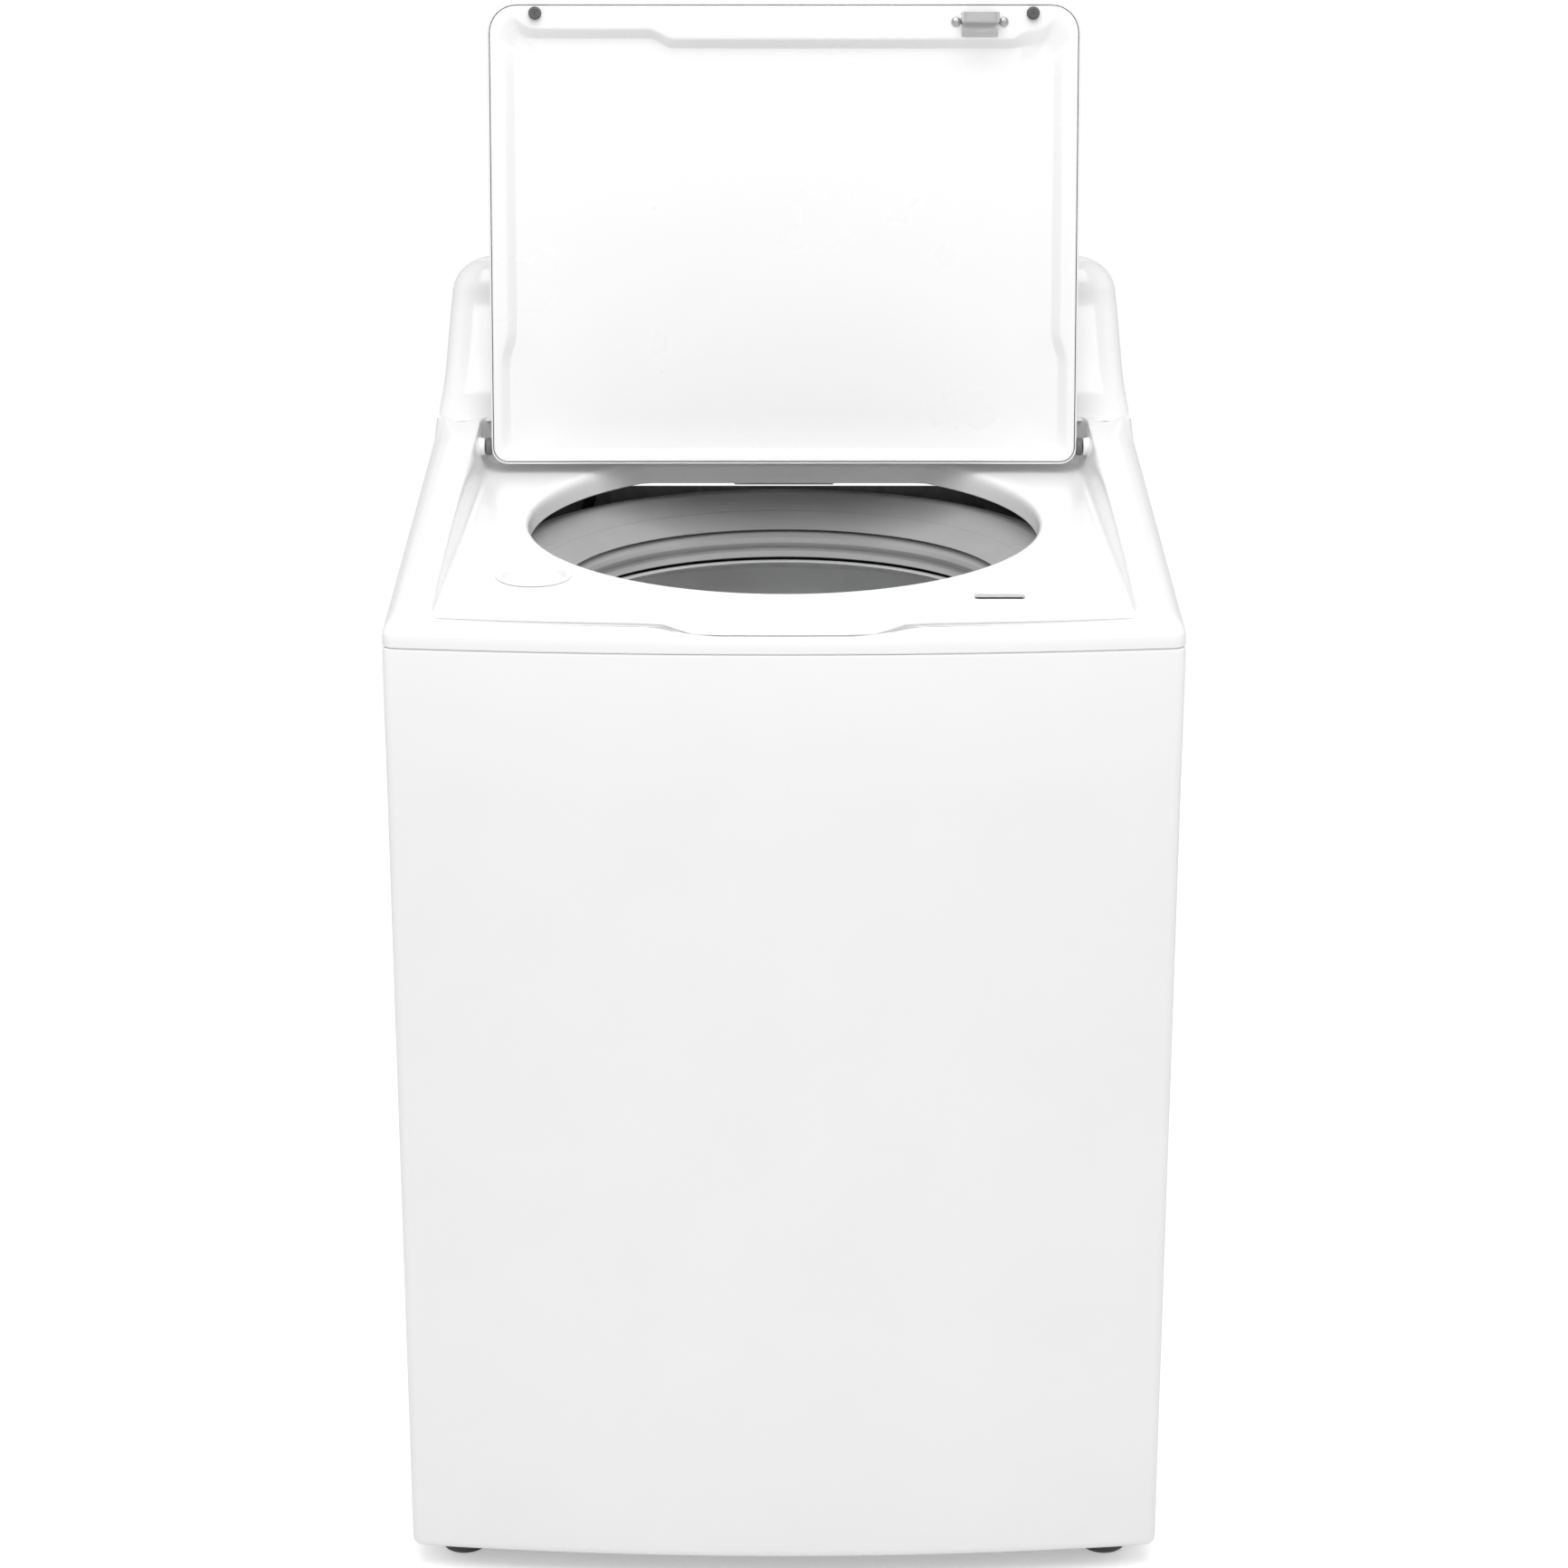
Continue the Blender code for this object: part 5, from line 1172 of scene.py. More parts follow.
        t = self.wall
        shell = [
            level(self._mouth(0.0012), lip(self.lip)), level(self._mouth(0), lip(self.lip - 0.0012)),
            level(self._mouth(0), lip(0.008)), level(self._mouth(0.0024), lip(0.0022)),
            level(self._mouth(0.008), lip(0)), level(mid(0.35), deck()), level(mid(0.7), deck()),
            level(self._recess(-0.014), deck()), level(self._recess(-0.004), rise(0.04)),
            level(self._recess(0.0005), rise(0.30)), level(self._recess(0.0025), rise(0.65)),
            level(self._recess(0.0050), side(0.98)), level(self._recess(0.0095), side(1.0)),
            level(self._outer(0.0110, 0.017), side(0.84)), level(self._outer(0.0045, 0.014), side(0.50)),
            level(self._outer(0.0008, 0.0108), side(0.14)), level(self._outer(0, 0.010), side(0, 0.003)),
            level(self._outer(0, 0.010), lambda x, y: SIZE.seam + 0.0012),
            level(self._outer(0.0008, 0.0095), lambda x, y: SIZE.seam + 0.0001),
        ]
        outside = between(shell, 3, hard=(1, 16, 17))
        inside = [
            level(self._outer(t, 0.007), lambda x, y: SIZE.seam + 0.0001), level(self._outer(t, 0.007), side(0, t + 0.003)),
            level(self._outer(0.0125, 0.014), side(0.84, t)), level(self._recess(0.0095), side(1.0, t)),
            level(self._recess(0.0036), rise(0.28)), level(self._recess(-0.0030), deck(t)),
            level(mid(0.5), deck(t)), level(self._mouth(0.008), deck(t)), level(self._mouth(0.0048), lip(0.006)),
            level(self._mouth(t), lip(self.lip - 0.0008)),
        ]
        bm = lofted([*outside, *inside], ring=True)
        pin = transformed(lathe([(0, -0.33), (0.005, -0.33), (0.005, 0.33), (0, 0.33)], 32), Matrix.Translation((0, *SIZE.hinge)) @ turned_to("x"))
        slot = rounded_box(
            (SIZE.strike_x - 0.022, SIZE.slot_y - 0.0075, self.deck - 0.02), (SIZE.strike_x + 0.022, SIZE.slot_y + 0.0075, self.deck + 0.01), 0.0035
        )
        x, y, radius = self.bleach
        cup = transformed(lathe([(0, -0.02), (radius, -0.02), (radius, 0.02), (0, 0.02)], 64), self._cup_place())
        dress("top_cover_moulding", bm, WHITE_COVER, "top_cover", cuts=[pin, slot, cup], angle=32)

    def _cup_place(self) -> Matrix:
        """Where the bleach cup stands, level with the sloped deck."""
        x, y, _ = self.bleach
        return Matrix.Translation((x, y, self.deck_at(y))) @ Matrix.Rotation(math.atan(self.slope), 4, "X")

    def _bleach_cup(self) -> None:
        """The shallow bleach cup, with a pouring lip and a drain slot."""
        r = self.bleach[2]
        profile = [(0, -0.0105), (r - 0.0125, -0.0105), (r - 0.0035, -0.003), (r - 0.0018, 0.0012), (r + 0.0036, 0.0011)]
        profile += [(r + 0.004, 0.0005), (r - 0.0005, 0.0005), (r - 0.002, -0.004), (r - 0.0115, -0.0123), (0, -0.0125)]
        bm = lathe(profile, 72, 0.0006)
        drain = rounded_box((-0.010, 0.004, -0.02), (0.010, 0.0085, 0.0), 0.002)
        dress("bleach_dispenser_cup", bm, CUP_WHITE, "bleach_dispenser", matrix=self._cup_place(), cuts=[drain])


# ---- lid ----
@dataclass
class Lid:
    """The lid: an enamelled skin, a moulded liner, the strike, bumpers and hinge pins."""

    half: float = 0.285
    reach: float = 0.424
    tail: float = 0.0167
    top: float = 0.012
    rim: float = -0.0075
    skin: float = 0.0015
    floor: float = 0.004
    slope: float = 0.0095
    pin: float = 0.0038
    bumper: Flat = (0.239, 0.4144)
    strike_half: float = 0.018
    strike_reach: float = 0.4095
    strike_drop: float = 0.0225
    ear_left: tuple[Flat, ...] = (
        (-0.2415, 0.4025), (-0.2501, 0.4059), (-0.2562, 0.4102), (-0.2623, 0.4136), (-0.2684, 0.4119), (-0.2736, 0.4059),
        (-0.2771, 0.3990), (-0.2790, 0.3931), (-0.2780, 0.3885), (-0.2745, 0.3840), (-0.2719, 0.3790), (-0.2709, 0.3717),
    )
    ear_right: tuple[Flat, ...] = (
        (0.2281, 0.3978), (0.2345, 0.4008), (0.2437, 0.4024), (0.2526, 0.4058), (0.2580, 0.4103), (0.2636, 0.4133),
        (0.2690, 0.4120), (0.2732, 0.4075), (0.2768, 0.4005), (0.2797, 0.3935), (0.2782, 0.3880), (0.2740, 0.3800),
        (0.2715, 0.3706),
    )

    def build(self) -> None:
        """Builds the whole sub-assembly."""
        self.place = Matrix.Translation((0, *SIZE.hinge)) @ Matrix.Rotation(math.radians(-SIZE.open_angle), 4, "X")
        self._skin()
        self._liner()
        self._strike()
        self._bumpers()
        self._pins()

    def _edge(self, inset: float, spans: int = 8) -> list[Flat]:
        """The lid's outline in its own plane, moved in by an inset. y runs backwards from the hinge."""
        side, front, tail = self.half - inset, self.reach - inset, self.tail - inset
        made: list[Flat] = []
        for x, y, radius, start in (
            (side, tail, 0.016, 0), (-side, tail, 0.016, 90), (-side, -front, 0.028, 180), (side, -front, 0.028, 270),
        ):
            radius -= inset
            cx, cy = x - math.copysign(radius, x), y - math.copysign(radius, y + 0.1)
            for k in range(spans + 1):
                angle = math.radians(start + 90 * k / spans)
                made.append((cx + radius * math.cos(angle), cy + radius * math.sin(angle)))
        return made

    def _skin(self) -> None:
        """The enamelled upper skin with a rolled edge."""
        t = self.skin
        rows = [
            (t, self.rim + 0.0002), (t * 0.5, self.rim - 0.0001), (0.0, self.rim + 0.0008), (0.0, 0.0055), (0.0007, 0.0084),
            (0.0026, 0.0105), (0.0055, 0.0116), (0.0090, self.top), (0.0500, self.top),
        ]
        under = [(0.0500, self.top - t), (0.0090, self.top - t), (0.0040, 0.0096), (t, 0.0060)]
        loops = [[(x, y, z) for x, y in self._edge(min(inset, 0.0155))] for inset, z in rows[:-1] + under[1:]]
        bm = bmesh.new()
        rings = [[bm.verts.new(p) for p in loop] for loop in loops]
        for first, second in zip(rings[: len(rows) - 1], rings[1 : len(rows) - 1]):
            bridge(bm, first, second)
        for first, second in zip(rings[len(rows) - 1 :], rings[len(rows) :]):
            bridge(bm, first, second)
        bridge(bm, rings[-1], rings[0])
        bm.faces.new(rings[len(rows) - 2])
        bm.faces.new(rings[len(rows) - 1])
        dress("lid_enamel_skin", bm, WHITE_ENAMEL, "lid_skin", matrix=self.place, cuts=[self._pin_hole()])

    def _pin_hole(self) -> bmesh.types.BMesh:
        """A cutter for the hinge pins' bore."""
        wall = self.pin + 0.0006
        return transformed(lathe([(0, -0.30), (wall, -0.30), (wall, 0.30), (0, 0.30)], 32), turned_to("x"))

    def front_line(self, x: float) -> float:
        """How far ahead of the hinge the pan's front edge runs at x."""
        return 0.3922 + 0.0094 * (1 - smoothstep(-0.127, -0.109, x))

    def mouth(self) -> list[Flat]:
        """The pan's mouth: a step in its front edge and a lobe in each front corner, clockwise from the rear right.

        Returns:
            The outline, with y running backwards from the hinge.
        """
        front_right = [(0.2192, 0.3922)] + [(0.20 - 0.03 * k, 0.3922) for k in range(10)]
        step = [(-0.1000, 0.3923), (-0.1090, 0.3930), (-0.1180, 0.3969), (-0.1270, 0.4008), (-0.1360, 0.4016)]
        front_left = [(-0.16, 0.4016), (-0.19, 0.4016), (-0.22, 0.4017)]
        side = [(0.36, 0.2702), (0.30, 0.2700), (0.22, 0.2700), (0.15, 0.2700), (0.112, 0.2702), (0.100, 0.2722)]
        side += [(0.090, 0.2752), (0.078, 0.2768), (0.05, 0.2770), (0.02, 0.2770), (0.002, 0.2768)]
        tail = [(0.2752, -0.0060), (0.2710, -0.0104), (0.2650, -0.0124)]
        rear = [(0.24 - 0.06 * k, -0.0126) for k in range(9)]
        path = [(x, length) for length, x in side][::-1]
        right = [(x, length) for x, length in reversed(tail)] + path
        left = [(-x, length) for x, length in reversed(right)]
        points = right + list(reversed(self.ear_right)) + front_right + step + front_left + list(self.ear_left) + left + list(reversed(rear))
        return [(p.x, -p.y) for p in curve_through(points, 3, closed=True)]

    def _pan(self, outline: Sequence[Flat], inset: float, radius: float) -> list[Flat]:
        """Moves each point of the mouth to the nearest point of a smaller rounded rectangle.

        Args:
            outline: the mouth.
            inset: how far inside the mouth's straight sides it runs.
            radius: of its corners.

        Returns:
            The points.
        """
        made = []
        for x, y in outline:
            narrow = 0.2700 + 0.0070 * smoothstep(-0.112, -0.078, y)
            side, low, high = narrow - inset, -(self.front_line(x) - inset), 0.0126 - inset
            px, py = min(max(x, -side), side), min(max(y, low), high)
            cx = min(max(px, -side + radius), side - radius)
            cy = min(max(py, low + radius), high - radius)
            if cx != px and cy != py:
                away = Vector((x - cx, y - cy)).normalized() * radius
                px, py = cx + away.x, cy + away.y
            made.append((px, py))
        return made

    def _liner(self) -> None:
        """The moulded liner: a flat flange, a sloped step and a shallow pan."""
        t, rim = self.skin, self.skin + 0.0008
        mouth = self.mouth()
        edge = self._edge(rim, 10)
        bm = bmesh.new()

        def ring(points: Sequence[Flat], z: float) -> list[bmesh.types.BMVert]:
            return [bm.verts.new((x, y, z)) for x, y in points]

        def flange(outer: list[bmesh.types.BMVert], inner: list[bmesh.types.BMVert]) -> None:
            edges = [bm.edges.get((a, b)) or bm.edges.new((a, b)) for loop in (outer, inner) for a, b in zip(loop, loop[1:] + loop[:1])]
            bmesh.ops.triangle_fill(bm, edges=edges, use_beauty=True)

        inner_edge = ring(self._edge(rim + 0.0010, 10), self.rim)
        outer_edge = ring(edge, self.rim + 0.0009)
        bridge(bm, outer_edge, inner_edge)
        profile = [(0.0, 0.0), (0.10, 0.0003), (0.22, 0.0012), (0.62, 0.0085), (0.82, 0.0108), (1.0, self.floor - self.rim)]
        lines = [(0.0, 0.0)] + profile[1:]
        rings = []
        for share, rise in lines:
            inside = self._pan(mouth, self.slope + 0.004, 0.016)
            points = [(a + (c - a) * share, b + (d - b) * share) for (a, b), (c, d) in zip(mouth, inside)]
            rings.append(ring(points, self.rim + rise))
        deeper = self._pan(mouth, 0.040, 0.010)
        rings.append(ring(deeper, self.floor + 0.0006))
        for first, second in zip(rings, rings[1:]):
            bridge(bm, first, second)
        flange(inner_edge, rings[0])
        bm.faces.new(rings[-1])
        back_edge = ring(edge, self.rim + t + 0.0004)
        bridge(bm, outer_edge, back_edge)
        over = [ring([(v.co.x, v.co.y) for v in line], line[0].co.z + t) for line in (rings[0], rings[3], rings[-1])]
        flange(back_edge, over[0])
        for first, second in zip(over, over[1:]):
            bridge(bm, first, second)
        bm.faces.new(over[-1])
        x, y = SIZE.strike_x, -self.strike_reach
        low, high = self.rim - 0.01, self.rim + 0.005
        cuts = [rounded_box((x - 0.0186, y - 0.0055, low), (x + 0.0186, y + 0.0055, high), 0.002)]
        dress("lid_moulded_liner", bm, WHITE_LINER, "lid_liner", matrix=self.place, cuts=cuts, angle=28)

    def _strike(self) -> None:
        """The bent steel strike with its apron, and its two cross-head screws."""
        left, right = SIZE.strike_x - self.strike_half, SIZE.strike_x + self.strike_half
        tip, top = self.rim - self.strike_drop, self.rim + self.skin + 0.0004
        near, far = -self.strike_reach + 0.0045, -self.strike_reach - 0.0045
        bm = rounded_box((left - 0.011, far + 0.0005, top), (right + 0.011, near - 0.0005, top + 0.0014), 0.0006)
        path = filleted([(left + 0.001, top), (left + 0.001, tip + 0.001), (right - 0.001, tip + 0.001), (right - 0.001, top)], 0.004, 5, closed=False)
        hoop = [[], [], [], []]
        for i, (x, z) in enumerate(path):
            a, b = Vector(path[max(i - 1, 0)]), Vector(path[min(i + 1, len(path) - 1)])
            along = (b - a).normalized()
            out = Vector((along.y, -along.x)) * 0.001
            for k, (sx, y) in enumerate(((1, far), (1, near), (-1, near), (-1, far))):
                hoop[k].append((x + out.x * sx, y, z + out.y * sx))
        lofted([[hoop[k][i] for k in range(4)] for i in range(len(path))], bm=bm)
        lip = rounded_box((left + 0.0010, near - 0.0006, self.rim - 0.0200), (right - 0.0010, near + 0.0008, self.rim - 0.0012), 0.0005)
        apron = rounded_box((left + 0.0006, near - 0.0006, self.rim - 0.0024), (right - 0.0006, -0.3926, self.rim - 0.0006), 0.0006)
        for part in (lip, apron):
            mesh = bpy.data.meshes.new("part")
            part.to_mesh(mesh)
            part.free()
            bm.from_mesh(mesh)
            bpy.data.meshes.remove(mesh)
        dress("lid_strike_hoop", bm, BRIGHT_STEEL, "lid_strike", matrix=self.place)
        for side, sign in (("left", -1), ("right", 1)):
            head = [(0, 0.0034), (0.0022, 0.0032), (0.0038, 0.0024), (0.0045, 0.0012), (0.0045, 0.0), (0.0017, 0.0), (0.0017, -0.006), (0, -0.006)]
            bm = lathe(head, 48, 0.0003)
            cross = [rounded_box((-0.0023, -0.00035, 0.0018), (0.0023, 0.00035, 0.006), 0.0002), rounded_box((-0.00035, -0.0023, 0.0018), (0.00035, 0.0023, 0.006), 0.0002)]
            spot = Matrix.Translation((SIZE.strike_x + sign * 0.023, -self.strike_reach + 0.003, self.rim - 0.0003)) @ Matrix.Rotation(math.pi, 4, "X")
            dress(f"strike_cross_screw_{side}", bm, SCREW_STEEL, f"strike_screw_{side}", matrix=self.place @ spot, cuts=cross)

    def _bumpers(self) -> None:
        """The two rubber bumpers, with stepped faces and a blind hole."""
        profile = [
            (0, -0.0045), (0.0007, -0.0045), (0.0007, -0.0085), (0.0021, -0.0088), (0.0024, -0.0082), (0.0030, -0.0082),
            (0.0034, -0.0088), (0.0046, -0.0086), (0.0058, -0.0066), (0.0062, -0.0045), (0.0062, -0.0005), (0.0029, -0.0003),
            (0.0029, 0.0028), (0, 0.0028),
        ]
        for side, sign in (("left", -1), ("right", 1)):
            spot = Matrix.Translation((sign * self.bumper[0], -self.bumper[1], self.rim + 0.0006))
            dress(f"lid_rubber_bumper_{side}", lathe(profile, 48, 0.0003), GREY_RUBBER, f"lid_bumper_{side}", matrix=self.place @ spot)

    def _pins(self) -> None:
        """The hinge pins, with a collar between lid and cover."""
        profile = [
            (0, 0.2748), (0.0058, 0.2748), (0.0064, 0.2754), (0.0064, 0.2776), (self.pin, 0.2780), (self.pin, 0.2854),
            (0.0085, 0.2856), (0.0088, 0.2900), (0.0062, 0.2912), (self.pin, 0.2914), (self.pin, 0.2974),
            (self.pin - 0.0008, 0.298), (0, 0.298),
        ]
        boss = [(0.0042, 0.2916), (0.0078, 0.2919), (0.0084, 0.2926), (0.0096, 0.3000), (0.0042, 0.3000)]
        for side, sign in (("left", -1), ("right", 1)):
            turn = Matrix.Rotation(math.radians(90 * sign), 4, "Y")
            dress(
                f"lid_hinge_pin_{side}", lathe(profile, 40, 0.0003), DARK_HINGE, f"hinge_pin_{side}",
                matrix=self.place @ turn,
            )
            at_hinge = Matrix.Translation((0, *SIZE.hinge)) @ turn
            dress(f"hinge_boss_{side}", lathe(boss, 40, 0.0003), WHITE_COVER, "top_cover", False, at_hinge)


# ---- lid lock ----
@dataclass
class LidLock:
    """The lock under the deck: a white housing and its sliding bolt."""

    def build(self) -> None:
        """Builds the housing and the bolt."""
        low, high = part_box("lid_lock_housing")
        x0, x1 = low.x, high.x
        floor = SIZE.seam + 0.0065
        bm = rounded_box((x0, low.y, floor), (x1, high.y, high.z), 0.0015)
        box = rounded_box((x0 + 0.004, low.y, low.z), (x1 - 0.004, SIZE.slot_y - 0.014, floor + 0.002), 0.002)
        ribs = [rounded_box((x0 + 0.010 + k * 0.011, low.y + 0.002, low.z - 0.0), (x0 + 0.0115 + k * 0.011, SIZE.slot_y - 0.016, low.z + 0.003), 0.0004) for k in range(5)]
        pocket = rounded_box(
            (SIZE.strike_x - 0.022, SIZE.slot_y - 0.0075, floor + 0.0015), (SIZE.strike_x + 0.022, SIZE.slot_y + 0.0075, high.z + 0.01), 0.001
        )
        bolt_low, bolt_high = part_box("lid_lock_bolt")
        channel = rounded_box(
            (bolt_low.x - 0.0006, bolt_low.y - 0.0006, bolt_low.z - 0.0006), (bolt_high.x + 0.0006, SIZE.slot_y, bolt_high.z + 0.0006), 0.0003
        )
        made = dress("lid_lock_case", bm, WHITE_MOULDING, "lid_lock_housing")
        cut_out(made, [box], union=True)
        cut_out(made, ribs + [pocket, channel])
        bolt = rounded_box(tuple(bolt_low), tuple(bolt_high), 0.0005)
        dress("lid_lock_steel_bolt", bolt, BRIGHT_STEEL, "lid_lock_bolt")


# ---- console ----
@dataclass
class Console:
    """The raised console with its fascia, knobs, button, board and sensor."""

    top: float = 1.118
    wall: float = 0.003
    tilt: float = 20.0
    fascia_at: Spot = (0.0, 0.265, 1.046)
    fascia_half: Flat = (0.290, 0.044)
    selectors: tuple[tuple[str, float], ...] = (("load_size_knob", -0.200), ("water_temperature_knob", -0.110))
    cycle: tuple[str, float] = ("cycle_knob", 0.095)
    start_x: float = 0.210

    def build(self) -> None:
        """Builds the whole sub-assembly."""
        self.frame = Matrix.Translation(self.fascia_at) @ Matrix.Rotation(math.radians(-self.tilt), 4, "X")
        self.facing = self.frame @ Matrix.Rotation(math.radians(90), 4, "X")
        self._shell()
        self._rear_cover()
        self._fascia()
        self._knob(*self.cycle, 0.028, 0.020, 0.0225, 0.0045, 36)
        for name, x in self.selectors:
            self._knob(name, x, 0.016, 0.015, 0.017, 0.003, 24)
        self._start_button()
        self._board()
        self._sensor()

    def _section(self, height: float) -> tuple[float, float, float]:
        """The console's half width and its front and rear y at a height above the seam.

        Args:
            height: above the seam.

        Returns:
            The three sizes.
        """
        stations = [
            (0.0900, 0.3425, 0.530), (0.0960, 0.3420, 0.545), (0.1060, 0.3405, 0.558), (0.1230, 0.3385, 0.570),
            (0.1850, 0.3335, 0.596), (0.1960, 0.3323, 0.601),
        ]
        top = self.top - SIZE.seam
        start, half, behind = stations[-1]
        height = max(height, stations[0][0])
        if height > start:
            turn = math.asin(min(1.0, (height - start) / (top - start)))
            half -= 0.038 * (1 - math.cos(turn))
            behind += 0.022 * (1 - math.cos(turn))
        else:
            for (z0, h0, b0), (z1, h1, b1) in zip(stations, stations[1:]):
                if z0 <= height <= z1:
                    t = (height - z0) / (z1 - z0)
                    half, behind = h0 + (h1 - h0) * t, b0 + (b1 - b0) * t
        return half, SIZE.corner_y + behind, SIZE.rear - 0.0005 - 0.012 * smoothstep(top - 0.022, top, height)

    def _shell(self) -> None:
        """The moulded shell, with a window for the fascia and one for the rear cover."""
        top = self.top - SIZE.seam
        levels = [0.0870, 0.0930, 0.0960, 0.1010, 0.1060, 0.1140, 0.1230, 0.1440, 0.1650, 0.1850, 0.1960]
        levels += [0.1960 + (top - 0.1960) * math.sin(math.pi / 2 * k / 9) for k in range(1, 10)]
        outside, inside = [], []
        for level in levels:
            half, front, rear = self._section(level)
            z, w = SIZE.seam + level, self.wall
            corner = min(0.026, 0.46 * (rear - front))
            outside.append([(x, y, z) for x, y in plate_outline(-half, front, half, rear, corner, 9)])
            low = z - w * smoothstep(0.19, 0.232, level)
            inner = plate_outline(-half + w, front + w, half - w, rear - w, corner - w, 9)
            inside.append([(x, y, low) for x, y in inner])
        bm = lofted([*reversed(inside), *outside])
        a, b = self.fascia_half
        window = transformed(rounded_box((-a - 0.0006, -0.035, -b - 0.0006), (a + 0.0006, 0.022, b + 0.0006), 0.003), self.frame)
        z = SIZE.seam + 0.105
        back = rounded_box((-0.2606, SIZE.rear - 0.02, z - 0.0006), (0.2606, SIZE.rear + 0.02, z + 0.0906), 0.004)
        dress("console_moulding", bm, WHITE_COVER, "console_shell", cuts=[window, back], angle=32)

    def _rear_cover(self) -> None:
        """The zinc-coated cover at the console's back, with louvres."""
        y, z = SIZE.rear - self.wall, SIZE.seam + 0.105
        bm = rounded_box((-0.2598, y, z), (0.2598, y + SIZE.sheet, z + 0.0898), 0.0005)
        cuts = []
        for k in range(14):
            x = -0.169 + 0.026 * k
            cuts.append(rounded_box((x - 0.009, y - 0.01, z + 0.030), (x + 0.009, y + 0.01, z + 0.0335), 0.0015))
            cuts.append(rounded_box((x - 0.009, y - 0.01, z + 0.056), (x + 0.009, y + 0.01, z + 0.0595), 0.0015))
        tool = cuts[0]
        for other in cuts[1:]:
            mesh = bpy.data.meshes.new("slot")
            other.to_mesh(mesh)
            other.free()
            tool.from_mesh(mesh)
            bpy.data.meshes.remove(mesh)
        dress("console_rear_plate", bm, ZINC_SHEET, "console_rear_cover", cuts=[tool])
        heads = bmesh.new()
        for x in (-0.248, -0.083, 0.083, 0.248):
            for dz in (0.009, 0.081):
                screw(heads, Matrix.Translation((x, y + SIZE.sheet, z + dz)) @ turned_to("y"), 0.0042, 0.0016)
        dress("console_rear_screws", heads, SCREW_STEEL, "console_rear_cover", replace=False)

    def _fascia(self) -> None:
        """The satin fascia with recessed dials, and its printed tick marks."""
        a, b = self.fascia_half
        bm = rounded_box((-a, 0, -b), (a, 0.003, b), 0.0012)
        cuts = []
        for x, radius in ((self.selectors[0][1], 0.0046), (self.selectors[1][1], 0.0046), (self.cycle[1], 0.0046), (self.start_x, 0.011)):
            cuts.append(transformed(lathe([(0, -0.02), (radius, -0.02), (radius, 0.02), (0, 0.02)], 40), Matrix.Translation((x, 0, 0)) @ turned_to("-y")))
        for x, inner, outer in ((self.cycle[1], 0.0345, 0.0355), (self.selectors[0][1], 0.0205, 0.0211), (self.selectors[1][1], 0.0205, 0.0211)):
            groove = lathe([(inner, -0.0004), (outer, -0.0004), (outer, 0.0100), (inner, 0.0100)], 72)
            cuts.append(transformed(groove, Matrix.Translation((x, 0, 0)) @ turned_to("-y")))
        dress("fascia_panel", bm, FASCIA_GREY, "control_fascia", matrix=self.frame, cuts=cuts)
        ink = bmesh.new()
        dials = [(self.cycle[1], 0.0325, 24, 0.0030)] + [(x, 0.0232, 9, 0.0026) for _, x in self.selectors]
        for x, radius, count, length in dials:
            sweep = 360 if count == 24 else 270
            for k in range(count):
                angle = math.radians(90 + sweep / 2 - sweep * k / (count if sweep == 360 else count - 1))
                long = length * (1.5 if k % 4 == 0 else 1.0)
                turn = Matrix.Translation((x, 0, 0)) @ Matrix.Rotation(-angle, 4, "Y")
                mark = transformed(rounded_box((radius + 0.0035, -0.00012, -0.0004), (radius + 0.0035 + long, 0.0002, 0.0004), 0.0001, steps=1), turn)
                mesh = bpy.data.meshes.new("mark")
                mark.to_mesh(mesh)
                mark.free()
                ink.from_mesh(mesh)
                bpy.data.meshes.remove(mesh)
        lines = [rounded_box((-0.272, -0.00012, z - 0.0004), (0.272, 0.0002, z + 0.0004), 0.0001, steps=1) for z in (-0.0405, 0.0405)]
        for line in lines:
            mesh = bpy.data.meshes.new("line")
            line.to_mesh(mesh)
            line.free()
            ink.from_mesh(mesh)
            bpy.data.meshes.remove(mesh)
        dress("fascia_tick_marks", ink, PRINT_INK, "control_fascia", replace=False, matrix=self.frame)

    def _knob(self, name: str, x: float, radius: float, height: float, grip: float, thick: float, flutes: int) -> None:
        """One turning knob: a fluted skirted dial with a grip bar and a pointer.

        Args:
            name: the knob's node.
            x: where it sits on the fascia.
            radius: of the dial.
            height: of the dial.
            grip: height of the bar.
            thick: half the bar's thickness.
            flutes: round the dial.
        """
        skirt = radius * 1.12

        def fluted(r: float, z: float, angle: float) -> float:
            side = smoothstep(0.0045, 0.0075, z) * (1 - smoothstep(height - 0.004, height - 0.001, z))
            return r - 0.0007 * side * (0.5 + 0.5 * math.cos(angle * flutes)) * (r > radius * 0.8)

        profile = [
            (0, height), (radius * 0.70, height), (radius * 0.84, height - 0.0012), (radius * 0.88, height - 0.004),
            (radius * 0.92, 0.0075), (radius * 0.94, 0.0048), (skirt, 0.0036), (skirt, 0.0014), (0.004, 0.0013), (0.004, -0.018), (0, -0.018),
        ]
        bm = lathe(profile, flutes * 6, 0.0006, shape=fluted)
        place = self.facing @ Matrix.Translation((x, 0, 0))
        made = dress(f"{name}_dial", bm, KNOB_GREY, name, matrix=IDENTITY)
        long = radius * 0.785
        bar = rounded_box((-thick, -long, height * 0.5), (thick, long, grip), 0.0016, steps=4)
        cut_out(made, [bar], union=True)
        made.data.transform(place)
        pointer = rounded_box((-0.0006, radius * 0.25, grip - 0.0004), (0.0006, long * 0.92, grip + 0.00012), 0.0002, steps=1)
        dress(f"{name}_pointer", pointer, PRINT_INK, name, replace=False, matrix=place)

